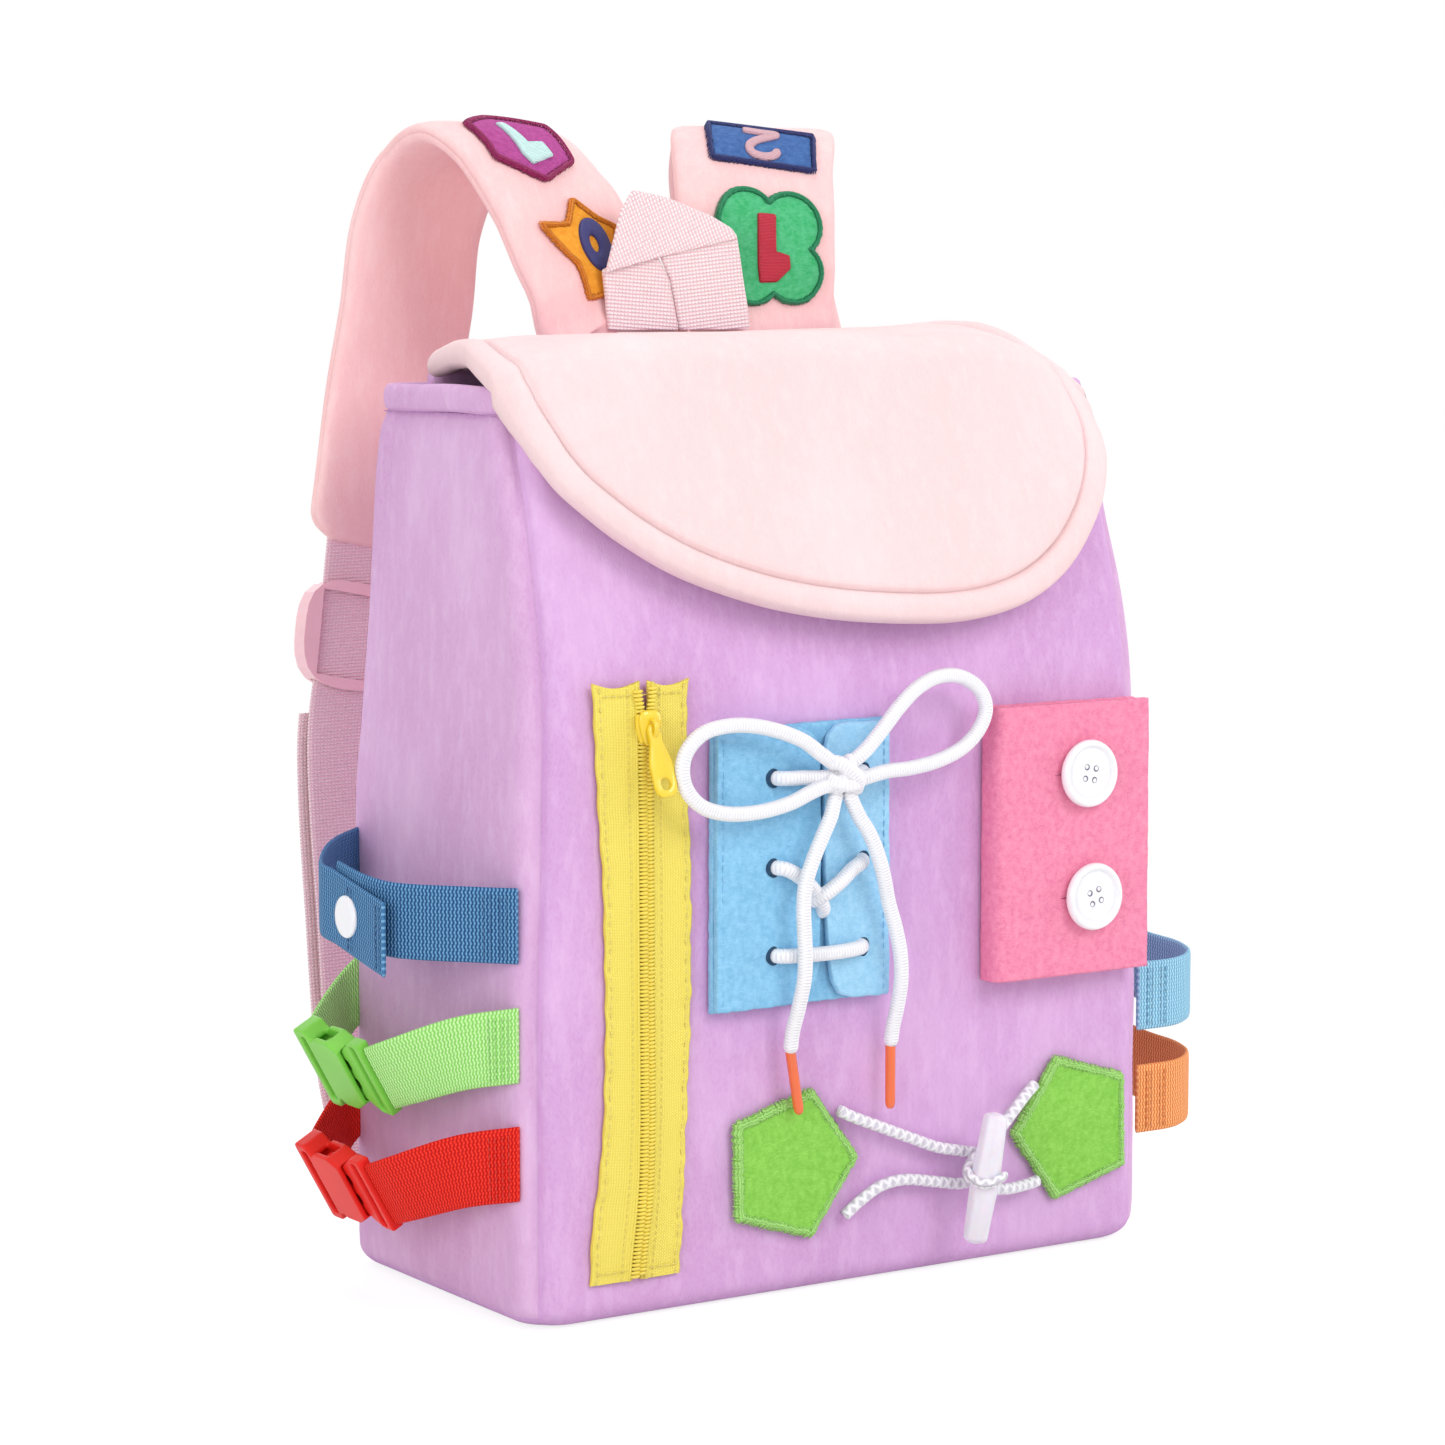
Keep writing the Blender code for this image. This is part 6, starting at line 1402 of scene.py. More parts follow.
bridge_line = [(sx, slider_top - out, sz + up) for out, up in bridge_at]
tube("slider_bridge", smooth_path(bridge_line, 40), 0.00075, 12, zip_enamel, "slider")

pin = Vector((zip_x, -0.0675, 0.1936))


def make_pull():
    """The pull tab: a narrow neck that hooks through the bridge, a broad end with a round hole."""
    shape = np.array([(-1.6, 1.6), (0, 2.0), (1.6, 1.6), (2.2, 0), (2.1, -4), (3.0, -7), (4.0, -10.5),
                      (4.1, -18), (3.6, -20.6), (2.0, -22), (-2.0, -22), (-3.6, -20.6), (-4.1, -18),
                      (-4.0, -10.5), (-3.0, -7), (-2.1, -4), (-2.2, 0)]) * mm
    outline = polygon_path(shape, 120, 0.0012)
    hole_centre = np.array([0.0, -0.0180])
    t = np.linspace(0, 2 * np.pi, 120, endpoint=False)
    start = np.arctan2(outline[0, 1] - hole_centre[1], outline[0, 0] - hole_centre[0])
    way = np.sign(np.cross(outline[0] - hole_centre, outline[5] - hole_centre))
    hole = hole_centre + 0.0019 * np.stack([np.cos(start + way * t), np.sin(start + way * t)], -1)
    half = 0.0008
    profile = ((0.0, 0.0), (0.0, 0.55), (0.03, 0.9), (0.10, 1.0), (0.88, 1.0), (0.97, 0.8), (1.0, 0.0))
    front, back = [], []
    for share, up in profile:
        ring = outline * (1 - share) + hole * share
        front.append(np.stack([ring[:, 0], np.full(120, -half * up), ring[:, 1]], -1))
        back.append(np.stack([ring[:, 0], np.full(120, half * up), ring[:, 1]], -1))
    grid = np.array(front + back[::-1][1:-1])
    angle = -math.radians(14)
    c, s = math.cos(angle), math.sin(angle)
    y, z = grid[..., 1] * c - grid[..., 2] * s, grid[..., 1] * s + grid[..., 2] * c
    lean = math.radians(6)
    x = grid[..., 0] * math.cos(lean) - z * math.sin(lean)
    z = grid[..., 0] * math.sin(lean) + z * math.cos(lean)
    grid = np.stack([x + pin.x, y + pin.y, z + pin.z], -1)
    thing = grid_object("pull_tab_plate", grid, zip_enamel, loop_columns=True, loop_rows=True)
    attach(thing, "pull_tab")
    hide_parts("zip_pull_tab")


make_pull()

# %% [markdown]
# ## Felt doors
# Felt is a thick soft sheet: its face undulates, its edge is cut straight and slightly rounded.


# %% Felt doors
def felt_sheet(name, corners, y_back, thickness, material, replaced, lift=None, radius=0.0008, seed=81):
    """A felt sheet in the X-Z plane. `lift(x, z)` raises it off the bag."""
    count = 320
    outline = polygon_path(corners, count, radius)
    rough = value_noise(np.column_stack([outline, np.zeros(count)]), 0.0021, seed) * 0.00022
    centre = outline.mean(0)
    outline = outline + unit(outline - centre) * rough[:, None]
    shares = np.concatenate([[1.0, 1.0, 0.997, 0.985], np.linspace(0.965, 0.02, 40)])
    up = np.concatenate([[0.08, 0.5, 0.86, 1.0], np.ones(40)])[:, None] * np.ones((1, count))
    rings = np.array([centre + (outline - centre) * share for share in shares])
    x, z = rings[..., 0], rings[..., 1]
    raised = lift(x, z) if lift else 0 * x
    at = np.stack([x, z, 0 * x], -1)
    swells = value_noise(at, 0.010, seed + 1) * 0.00025 * (up >= 1)
    face = thickness * up + swells + value_noise(at, 0.0028, seed + 2) * 0.00010
    front = np.stack([x, y_back - raised - face, z], -1)
    back = np.stack([x, y_back - raised, z], -1)
    grid = np.concatenate([front[::-1], back])
    thing = grid_object(name, grid, material, loop_columns=True, caps=True)
    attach(thing, "bag")
    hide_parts(replaced)


base_y = -0.0613
door_y = base_y - 0.0025
felt_sheet("lace_backing_felt", [(-0.059, 0.098), (0.011, 0.0985), (0.0108, 0.192), (-0.0585, 0.1915)],
           base_y, 0.0022, sky_felt, "lace_backing")


def left_lift(x, z):
    """The left door's free edge stands off a little."""
    return 0.0010 * np.clip((x + 0.045) / 0.028, 0, 1) ** 2


def right_lift(x, z):
    """The right door's free edge stands off a little."""
    return 0.0010 * np.clip((0.004 - x) / 0.02, 0, 1) ** 2


left_corners = [(-0.0585, 0.0985), (-0.0310, 0.0987), (-0.0245, 0.1002), (-0.0202, 0.1045), (-0.0184, 0.1110),
                (-0.0178, 0.150), (-0.0184, 0.1835), (-0.0205, 0.1885), (-0.0260, 0.1912), (-0.0582, 0.1912)]
right_corners = [(0.0105, 0.0985), (-0.0040, 0.0987), (-0.0095, 0.1003), (-0.0127, 0.1048), (-0.0142, 0.1120),
                 (-0.0156, 0.1280), (-0.0164, 0.1500), (-0.0164, 0.1815), (-0.0148, 0.1875),
                 (-0.0105, 0.1912), (0.0103, 0.1912)]
eyelet_z = (0.11586, 0.1450, 0.17461)
felt_sheet("lace_door_left_felt", left_corners, door_y, 0.0021, sky_felt, "lace_door_left", left_lift,
           radius=0.002, seed=84)
felt_sheet("lace_door_right_felt", right_corners, door_y, 0.0021, sky_felt_pale, "lace_door_right",
           right_lift, radius=0.002, seed=87)


def eyelet(name, x, z, y):
    """A dark oval with a soft rim: painted shadow in an opening of the felt."""
    turn = np.linspace(0, 2 * np.pi, 40, endpoint=False)
    wobble = 1 + 0.05 * np.sin(3 * turn + x * 900)
    profile = ((0.02, 0.0), (0.8, 0.0), (0.97, 0.00010), (1.0, 0.0), (1.0, -0.0006), (0.02, -0.0006))
    rows = np.array([np.stack([x + 0.0025 * r * wobble * np.cos(turn), np.full(40, y - up),
                               z + 0.0032 * r * wobble * np.sin(turn)], -1) for r, up in profile])
    shade = grid_object(name, rows, eyelet_shadow_felt, loop_columns=True, caps=True)
    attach(shade, "bag")


# Eyelet colour: painted shadow in the holes.
eyelet_shadow_felt = felt("eyelet_shadow", (0.020, 0.075, 0.150), (0.040, 0.130, 0.230), (0.008, 0.030, 0.070))
for side_name, x, lifted in (("left", -0.0368, left_lift), ("right", -0.0006, right_lift)):
    for i, z in enumerate(eyelet_z):
        eyelet("eyelet_%s_%d" % (side_name, i), x, z, door_y - 0.0024 - float(lifted(np.array(x), z)))
for side_name, x_low, x_high in (("left", -0.0562, -0.0560), ("right", 0.0080, 0.0080)):
    line = [(x_low, door_y - 0.0021, 0.1005), (x_high, door_y - 0.0021, 0.1895)]
    stitch_line("lace_seam_" + side_name, line, (0, -1, 0), 0.0024, 0.0009, 0.00022, sky_felt, "bag")

# button door: backing, then a thick flap folded at its left
felt_sheet("button_backing_felt", [(0.0555, 0.0995), (0.118, 0.0992), (0.1172, 0.1928), (0.0552, 0.193)],
           base_y, 0.0026, rose_felt, "button_backing", seed=90)


def make_button_door():
    """The folded door: its section is a strip that rises from the bag, turns and lies flat to the right."""
    z = np.linspace(0.099, 0.193, 110)
    thick = 0.0027
    line = smooth_path([(0.0533, -0.0616, 0), (0.0530, -0.0645, 0), (0.0536, -0.0682, 0),
                        (0.0562, -0.0696, 0), (0.0700, -0.0697, 0), (0.0900, -0.0696, 0),
                        (0.1177, -0.0694, 0)], 90)[:, :2]
    along = unit(np.gradient(line, axis=0))
    normal = np.stack([along[:, 1], -along[:, 0]], -1)
    outer, inner = line + normal * thick / 2, line - normal * thick / 2
    ring = np.concatenate([inner, outer[::-1]])
    grid = np.stack(np.broadcast_arrays(ring[None, :, 0], ring[None, :, 1], z[:, None]), -1)
    at = grid.copy()
    grid[..., 1] -= value_noise(at, 0.012, 95) * 0.00030 + value_noise(at, 0.003, 96) * 0.00010
    grid[..., 0] += value_noise(at, 0.0025, 97) * 0.00015
    top_lean = (z[:, None] - 0.099) / 0.094
    grid[..., 0] -= 0.0008 * top_lean * np.clip((grid[..., 0] - 0.06) / 0.06, 0, 1)
    thing = grid_object("button_door_felt", grid, rose_felt, loop_columns=True, caps=True)
    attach(thing, "bag")
    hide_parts("button_door")


make_button_door()
# Dark slits on the door: painted shadow inside its slits.
slit_shadow_felt = felt("slit_shadow", (0.330, 0.050, 0.120), (0.420, 0.080, 0.160), (0.220, 0.030, 0.080))
for i, (x, z) in enumerate(((0.089, 0.1687), (0.0916, 0.1260))):
    corners = [(x - 0.0135, z), (x, z + 0.0007), (x + 0.0135, z), (x, z - 0.0007)]
    slit = polygon_path(corners, 60, 0.0004)
    rings = [(slit * share + slit.mean(0) * (1 - share), depth)
             for share, depth in ((1.0, 0.0), (0.5, -0.0001), (0.02, -0.0001))]
    rows = np.array([np.stack([c[:, 0], np.full(60, -0.0713 + depth), c[:, 1]], -1) for c, depth in rings])
    rows = np.concatenate([rows, rows[::-1] + [0, 0.0008, 0]])
    shade = grid_object("slit_%d" % i, rows, slit_shadow_felt, loop_columns=True, caps=True)
    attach(shade, "bag")

# %% [markdown]
# ## Buttons
# A turned profile: rounded rim, a ring groove inside it and a dished middle. Four small dark discs stand for
# the holes: their dark colour is painted shade.


# %% Buttons
def lathe(profile, centre, steps=72):
    """A profile of (radius, depth towards -Y) turned about the Y direction."""
    turn = np.linspace(0, 2 * np.pi, steps, endpoint=False)
    profile = np.asarray(profile, dtype=float)
    x = centre[0] + profile[:, :1] * np.cos(turn)[None]
    z = centre[2] + profile[:, :1] * np.sin(turn)[None]
    y = centre[1] - np.broadcast_to(profile[:, 1:], x.shape)
    return np.stack([x, y, z], -1)


hole_profile = ((0.0003, 0.00310), (0.0009, 0.00314), (0.00105, 0.00322), (0.0011, 0.00314), (0.0003, 0.0029))


def make_button(node, body, spin):
    """One four-hole button."""
    low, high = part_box(node)
    centre = np.array([(low[0] + high[0]) / 2, -0.0712, (low[2] + high[2]) / 2])
    r = 0.0117
    profile = np.array([(0.0003, 0.0), (0.70, 0.0), (0.93, 0.14), (0.995, 0.42), (1.0, 0.62), (0.975, 0.82),
                        (0.93, 0.95), (0.88, 0.985), (0.83, 0.93), (0.795, 0.80), (0.765, 0.72),
                        (0.735, 0.70), (0.71, 0.74), (0.67, 0.78), (0.50, 0.76), (0.30, 0.73), (0.10, 0.72),
                        (0.0003, 0.72)])
    profile[1:-1, 0] *= r
    profile[:, 1] *= 0.0043
    grid = lathe(profile, centre)
    disc_thing = grid_object(node + "_disc", grid, button_mat, loop_columns=True, caps=True)
    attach(disc_thing, body)
    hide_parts(node)
    for k in range(4):
        turn = spin + k * math.pi / 2
        h = centre + np.array([math.cos(turn), 0, math.sin(turn)]) * 0.0028
        grid = lathe(hole_profile, h, 24)
        pit = grid_object("%s_hole_%d" % (node, k), grid, hole_shade_mat, loop_columns=True, caps=True)
        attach(pit, body)


# The holes' dark colour is painted shade inside them.
hole_shade_mat = gloss("button_hole_shade", (0.150, 0.125, 0.185), 0.5, 0.0, 0.0)
make_button("button_upper", "upper_button", math.radians(35))
make_button("button_lower", "lower_button", math.radians(62))

# %% [markdown]
# ## Lace
# The lace runs along the same routes as the model's solids, given here in millimetres.
# Tubes carry a fine braided relief; the knot is a wrapped band over crossed strands.

# %% Lace
lace_r = 0.0025


def lace(name, route, radius=lace_r, material=lace_mat, step=0.0007, sides=14, ends=(1.0, 1.0)):
    """A tube along a smooth route in millimetres, a little thinner at its ends if asked."""
    points = np.array(route) * mm
    count = max(24, int(path_length(smooth_path(points, 200)) / step))
    path = smooth_path(points, count)
    scale = np.ones(count)
    scale[:3], scale[-3:] = np.linspace(ends[0], 1, 3), np.linspace(1, ends[1], 3)
    return tube(name, path, radius, sides, material, "bag", scale), path


lacing_lines = (
    ("lace_bar", [(-35.5, -64.8, 115.8), (-35, -67.2, 115.8), (-32.5, -68.9, 115.8), (-26, -69.2, 115.6),
                  (-18, -69, 115.4), (-10, -69.2, 115.6), (-4.5, -68.9, 116), (-1.8, -67.2, 116.2),
                  (-1.4, -64.8, 116.2)]),
    ("lace_cross_left", [(-35.5, -64.8, 145), (-35, -67.2, 145), (-33.2, -68.9, 144.6), (-28.5, -69.1, 142),
                         (-23.5, -69, 138), (-19.6, -68.6, 133.5), (-17.5, -67.2, 130), (-17.2, -65.5, 129)]),
    ("lace_cross_right", [(-1.4, -64.8, 145), (-1.8, -67.2, 145), (-3.6, -69, 144.6), (-8, -69.8, 142.5),
                          (-13, -71.2, 139.5), (-18, -70.8, 136.2), (-21, -69, 134), (-22.2, -67.2, 133)]),
)
for i, (name, line) in enumerate(lacing_lines):
    strand, _ = lace(name, line)
    if i == 0:
        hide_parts("lacing")

stub_lines = (
    ("lace_stub_left", [(-35.5, -64.8, 174.6), (-35, -67.2, 174.6), (-32.6, -69, 174.6), (-27.5, -70, 174.6),
                        (-22, -71.5, 174.4), (-16, -72.8, 174.8)]),
    ("lace_stub_right", [(-1.4, -64.8, 174.6), (-1.8, -67.2, 174.6), (-3.6, -69.2, 174.6), (-8, -71.4, 174.8),
                         (-12.5, -72.8, 175.2)]),
)
for name, line in stub_lines:
    lace(name, line)

left_loop = [(-17, -73.8, 178.5), (-20.5, -74.5, 180.5), (-24.5, -75.2, 183), (-32, -74.8, 188),
             (-44, -73.8, 192.2), (-56, -72.8, 193.8), (-67, -72.2, 192.2), (-73.8, -72, 186.8),
             (-75.8, -72, 180), (-73.8, -72.2, 173.2), (-68, -72.8, 167.8), (-58.5, -73.4, 165.2),
             (-47, -74, 165.2), (-36, -74.5, 167.2), (-28, -74.8, 170.2), (-22.6, -74.7, 171.8),
             (-16.5, -73.8, 172)]
right_loop = [(-11, -73.8, 179), (-8, -74.6, 181.2), (-4.5, -75, 184.2), (1, -75.2, 189.8),
              (7.5, -74.8, 196.2), (15.5, -73.8, 202), (24.5, -72.8, 205.2), (34, -72, 205),
              (42.5, -71.6, 200.5), (45.8, -71.6, 193.5), (42.5, -71.8, 186.2), (35, -72.4, 180.6),
              (24.5, -73.2, 177.2), (13, -74, 175.6), (2.5, -74.6, 175.2), (-5.8, -74.8, 173.8),
              (-11.5, -73.8, 172.2)]
left_tail = [(-16.5, -73.2, 169), (-18, -74, 166.2), (-19.8, -74.8, 161.8), (-23.2, -75, 155.6),
             (-26.8, -74.8, 148), (-29.6, -74.6, 140), (-30.4, -74.7, 132), (-30, -74.6, 124),
             (-29.7, -74.7, 116), (-29.7, -74, 108), (-30, -71.2, 98.5), (-30.5, -68.6, 90.5),
             (-30.5, -67.2, 83.5)]
right_tail = [(-11.8, -73.2, 170), (-11.3, -73.8, 167.6), (-8, -73.8, 161.2), (-4, -74.4, 155),
              (-1, -75, 148), (2, -74.4, 140), (5, -73, 131), (7.8, -73.2, 122), (9.8, -73.2, 113),
              (10.8, -72.2, 104), (11, -69.8, 95), (10.7, -67.8, 88), (10.4, -66.8, 81.5)]
for name, line, node in (("bow_loop_left", left_loop, "bow"), ("bow_loop_right", right_loop, None)):
    loop, path = lace(name, line)
    if node:
        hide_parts(node)
tail_list = (("tail_left", left_tail, "lace_tail_left", "aglet_left", (0.17, 0.0, -1.0)),
             ("tail_right", right_tail, "lace_tail_right", "aglet_right", (0.0, 0.0, -1.0)))
for name, line, node, aglet, lean in tail_list:
    loop, path = lace(name, line, ends=(1.0, 0.72))
    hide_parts(node)
    down = unit(np.array(lean))
    tip_path = path[-1] - down * 0.0025 + down * np.linspace(0, 0.0240, 30)[:, None]
    scale = np.ones(30)
    scale[:2], scale[-3:] = (0.85, 0.98), (0.96, 0.86, 0.62)
    tip = tube(aglet + "_tube", tip_path, 0.00175, 18, tip_mat, "bag", scale)
    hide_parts(aglet)

knot_lines = (
    [(-20.5, -74.2, 174.2), (-18, -76.5, 172.8), (-14, -77.8, 172.2), (-10, -76.6, 173.2),
     (-8, -74.2, 174.8)],
    [(-19.2, -73.8, 179.6), (-17.2, -76.8, 179.2), (-14, -78.5, 176.8), (-11.2, -77.8, 173.5),
     (-9.8, -74.8, 170.2)],
    [(-17.2, -73.6, 169.8), (-16.6, -75.2, 172.2), (-15, -76.2, 175.2), (-13.2, -76, 178.2),
     (-11.8, -73.8, 180.2)],
)
for i, line in enumerate(knot_lines):
    lace("knot_wrap_%d" % i, line, step=0.0005)
knot_core = disc(0.0052, 24, 2.2, 0.0045)
core_path = np.linspace((-0.0140, -0.0685, 0.1750), (-0.0140, -0.0765, 0.1750), 12)
core_scale = np.sqrt(np.clip(1 - np.linspace(-1, 1, 12) ** 2, 0.03, 1))
core = sweep("knot_core", core_path, (1.0, 0, 0), (0, 0, 1.0), knot_core, lace_mat, core_scale[:, None])
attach(core, "bag")

# %% [markdown]
# ## Toggle fastening
# Felt pentagons with a satin edge, braided cords that come out from under them, and the frosted toggle
# hitched to the right cord.


# %% Toggle fastening
def pentagon(name, centre, facing, node, seed):
    """A felt pentagon with satin stitches over its edge."""
    turn = facing + np.arange(5) * 2 * np.pi / 5
    reach = np.array([1.0, 0.97, 1.03, 1.0, 0.98]) * 0.0268
    corners = np.stack([centre[0] + reach * np.cos(turn), centre[1] + reach * np.sin(turn)], -1)
    felt_sheet(name + "_felt", corners, base_y, 0.0023, leaf_felt, node, radius=0.0012, seed=seed)
    path = polygon_path(corners, 400, 0.0015)
    count = int(path_length(closed(path)) / 0.00055)
    path = even(closed(path), count + 1)[:-1]
    along = tangents(path, loop=True)
    inward = inwards(path, along, path.mean(0))
    jitter = rng.uniform(-0.0004, 0.0005, (2, count))
    outer = path - inward * (0.0007 + jitter[0])[:, None]
    inner = path + inward * (0.0024 + jitter[1])[:, None] + along * 0.0005
    starts = np.stack([outer[:, 0], np.full(count, base_y - 0.0006), outer[:, 1]], -1)
    ends = np.stack([inner[:, 0], np.full(count, base_y - 0.0024), inner[:, 1]], -1)
    stitches(name + "_edge", starts, ends, np.array([0, -0.0011, 0]), 0.00042, leaf_satin, "bag", 5, 6)


pentagon("pentagon_left", (-0.0270, 0.0440), 0.0, "pentagon_left", 101)
pentagon("pentagon_right", (0.0920, 0.0440), math.pi, "pentagon_right", 104)

left_cord = [(-8.5, -64, 60.8), (-3, -64.2, 58), (9, -64.2, 53), (21, -64.2, 48), (32, -64.2, 43.6),
             (42, -64.2, 41.2), (49, -64.2, 39.2), (51.8, -64.2, 35.2), (49, -64.2, 31.2), (42, -64.2, 29.8),
             (31, -64.2, 31.8), (19, -64.2, 34), (9, -64.2, 33.2), (1, -64.2, 29.6), (-6.2, -64, 24.8)]
right_cord = [(73.8, -63.8, 60.6), (70.5, -64.6, 58.6), (65, -66.8, 55.6), (57.5, -68.6, 50),
              (50, -68.8, 43.5), (44, -68.8, 38.5), (41.8, -68.8, 34.5), (44.5, -68.8, 30.2),
              (51.5, -68.8, 27.6), (59, -68.4, 26.6), (66, -66.2, 26.2), (71.5, -64.6, 26.2),
              (75.2, -64, 26.6)]
for name, line, node in (("braided_cord_left", left_cord, "toggle_cord_left"),
                         ("braided_cord_right", right_cord, "toggle_cord_right")):
    loop, path = lace(name, line, radius=0.0020, material=cord_mat, step=0.0005, sides=18)
    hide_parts(node)

toggle_c = np.array([0.0415, -0.0788, 0.0345])
tilt = math.radians(11.5)
toggle_along = np.array([math.sin(tilt), 0.0, math.cos(tilt)])
toggle_side = np.array([math.cos(tilt), 0.0, -math.sin(tilt)])
t = np.linspace(-0.5, 0.5, 60)
radius = 0.0040 + 0.0010 * (1 - np.abs(t) * 2)
radius = radius * np.sqrt(np.clip(1 - np.clip((np.abs(t) - 0.455) / 0.046, 0, 1) ** 2, 0.02, 1))
toggle_path = toggle_c + toggle_along * (t * 0.045)[:, None]
facets = disc(1.0, 48)
facets = facets * (1 + 0.018 * np.cos(9 * np.linspace(0, 2 * np.pi, 48, endpoint=False)))[:, None]
bar = sweep("toggle_bar", toggle_path, toggle_side, (0, -1.0, 0), facets, toggle_mat, radius[:, None])
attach(bar, "toggle")
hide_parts("toggle")
turn = np.linspace(0, 2 * np.pi, 73)[:-1]
hitch_r = 0.0062
forward = np.array([0, -1, 0])
hitch = np.array([toggle_c + toggle_side * math.cos(a) * hitch_r + forward * math.sin(a) * hitch_r
                  + toggle_along * 0.0016 * math.sin(a * 2) for a in turn])
ring_side = unit(hitch - toggle_c)
hitch_grid = (hitch[:, None] + ring_side[:, None] * disc(0.0014, 14)[None, :, :1]
              + toggle_along * disc(0.0018, 14)[None, :, 1:])
hitch_round = np.linspace(0, 1, 14, endpoint=False)
hitch_uv = np.stack(np.broadcast_arrays(hitch_round[None], (turn * hitch_r)[:, None]), -1).reshape(-1, 2)
hitch_ring = grid_object("toggle_hitch", hitch_grid, cord_mat, loop_rows=True, loop_columns=True, uv=hitch_uv)
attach(hitch_ring, "toggle")

# %% [markdown]
# ## Side straps
# Every strap leaves the bag's front seam and comes back at its rear seam. The rear half's free end
# closes over the front half: with a snap on the blue strap, with hook-and-loop tape on the right side.

# %% Side straps
front_round, back_round = 0.009, 0.014
front_seam_y = front_low + front_round * 0.72
back_seam_y = back_low - back_round * 0.52
tab_start_y, tab_free, tab_fall = 0.0145, 0.041, 0.008


def seam_x(y):
    """Where a strap leaves the rounded corner: the corner circle's x at this y, plus the strap's gap."""
    corner = front_round if y < 0 else back_round
    past = abs(y) - (back_low - corner)
    return half_base - corner + math.sqrt(corner ** 2 - max(past, 0) ** 2) + web_gap + web_thick * 0.6


def bar_tacks(name, path, side, normal, at, body, material, out):
    """Two rows of stitches across a strap at each given share of its length, `out` off its middle."""
    width = 0.021
    starts, ends, lifts = [], [], []
    for share in at:
        i = int(share * (len(path) - 1))
        for k in range(2):
            along = unit(path[min(i + 1, len(path) - 1)] - path[max(i - 1, 0)])
            for w in np.linspace(-width / 2, width / 2, 9)[:-1]:
                base = path[i] + along * (k * 0.0022) + normal[i] * out
                starts.append(base + side[i] * w)
                ends.append(base + side[i] * (w + width / 8 * 0.78))
                lifts.append(normal[i] * 0.0002 * np.sign(out))
    stitches(name, starts, ends, np.array(lifts), 0.00022, material, body, 5, 4)


def overlap_strap(hand, z, out, material, dark, word, moving_body):
    """Two halves of webbing that close on each other."""
    face = half_base + out
    end_y = tab_start_y - tab_free
    front = np.array([(hand * seam_x(front_seam_y), front_seam_y, z),
                      (hand * (face - out * 0.62), front_seam_y + out * 0.34, z),
                      (hand * (face - out * 0.14), front_seam_y + out * 0.90, z + tab_fall * 0.02),
                      (hand * face, end_y + tab_free * 0.38, z + tab_fall * 0.2),
                      (hand * face, end_y + tab_free * 0.84, z + tab_fall * 0.5)])
    if hand > 0:
        front = np.array([(seam_x(front_seam_y), front_seam_y, z), (0.146, front_seam_y + 0.0015, z - 0.0004),
                          (0.1605, front_seam_y + 0.0110, z), (0.1668, front_seam_y + 0.0250, z + 0.0008),
                          (face, end_y + tab_free * 0.38, z + tab_fall * 0.2),
                          (face, end_y + tab_free * 0.84, z + tab_fall * 0.5)])
    rear = np.array([(hand * seam_x(back_seam_y), back_seam_y, z + tab_fall),
                     (hand * (face - out * 0.42), back_seam_y - out * 0.55, z + tab_fall * 0.8),
                     (hand * (face - out * 0.04), tab_start_y + out * 0.12, z + tab_fall * 0.35),
                     (hand * face, tab_start_y - tab_free * 0.25, z + tab_fall * 0.1),
                     (hand * face, end_y, z - tab_fall * 0.65)])

    def shifted(points, inward):
        """The path moved off its line, growing from its sewn end."""
        path = smooth_path(points, 120)
        along = tangents(path)
        normal = unit(np.cross(along, [0, 0, 1.0]))
        ease = np.clip(np.arange(120) / 22, 0, 1)
        outward_x = np.sign(normal[:, :1] * hand)
        return path + normal * outward_x * (inward * (web_thick / 2 + web_gap) * ease)[:, None]

    path_front, path_rear = shifted(front, -1), shifted(rear, 1)
    a, p, s, n = strap(word + "_front_web", path_front, material, "bag", hand=hand, count=110)
    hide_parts(word + "_front_strap")
    way = np.sign(n[5, 0] * hand)
    bar_tacks(word + "_front_tacks", p, s, n, (0.05, 0.12), "bag", dark, out=0.0010 * way)
    b, p, s, n = strap(word + "_rear_web", path_rear, material, moving_body, hand=hand, count=130)
    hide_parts(word + "_rear_strap")
    way = np.sign(n[-5, 0] * hand)
    bar_tacks(word + "_tab_tacks", p, s, n, (0.965,), moving_body, dark, out=0.0010 * way)
    bar_tacks(word + "_tab_tacks_two", p, s, n, (0.76,), moving_body, dark, out=0.0010 * way)


blue_thread = satin("blue_thread", (0.100, 0.240, 0.470), (0.020, 0.070, 0.190))
green_thread = satin("green_thread", (0.500, 0.860, 0.330), (0.200, 0.520, 0.100))
red_thread = satin("red_thread", (0.900, 0.060, 0.040), (0.420, 0.005, 0.004))
sky_thread = satin("sky_thread", (0.320, 0.580, 0.740), (0.090, 0.280, 0.440))
orange_thread = satin("orange_thread", (0.900, 0.390, 0.160), (0.500, 0.120, 0.020))
overlap_strap(-1, 0.132, 0.033, blue_web, blue_thread, "blue", "blue_strap")
overlap_strap(1, 0.0850, 0.042, sky_web, sky_thread, "lightblue", "lightblue_strap")
overlap_strap(1, 0.0480, 0.042, orange_web, orange_thread, "orange", "orange_strap")

cap_low, cap_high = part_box("snap_cap")
cap_c = (np.array(cap_low) + np.array(cap_high)) / 2
turn = np.linspace(0, 2 * np.pi, 64, endpoint=False)
cap_profile = ((0.0003, 0.0), (0.0062, 0.0), (0.0070, 0.0005), (0.0070, 0.0011), (0.0066, 0.0016),
               (0.0055, 0.0019), (0.0030, 0.0021), (0.0003, 0.0021))
cap_grid = np.array([[(cap_high[0] - d, cap_c[1] + r * math.cos(a), cap_c[2] + r * math.sin(a)) for a in turn]
                     for r, d in cap_profile])
snap = grid_object("snap_cap_disc", cap_grid, button_mat, loop_columns=True, caps=True)
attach(snap, "blue_strap")
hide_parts("snap_cap")
recolour("snap_stud", button_mat)
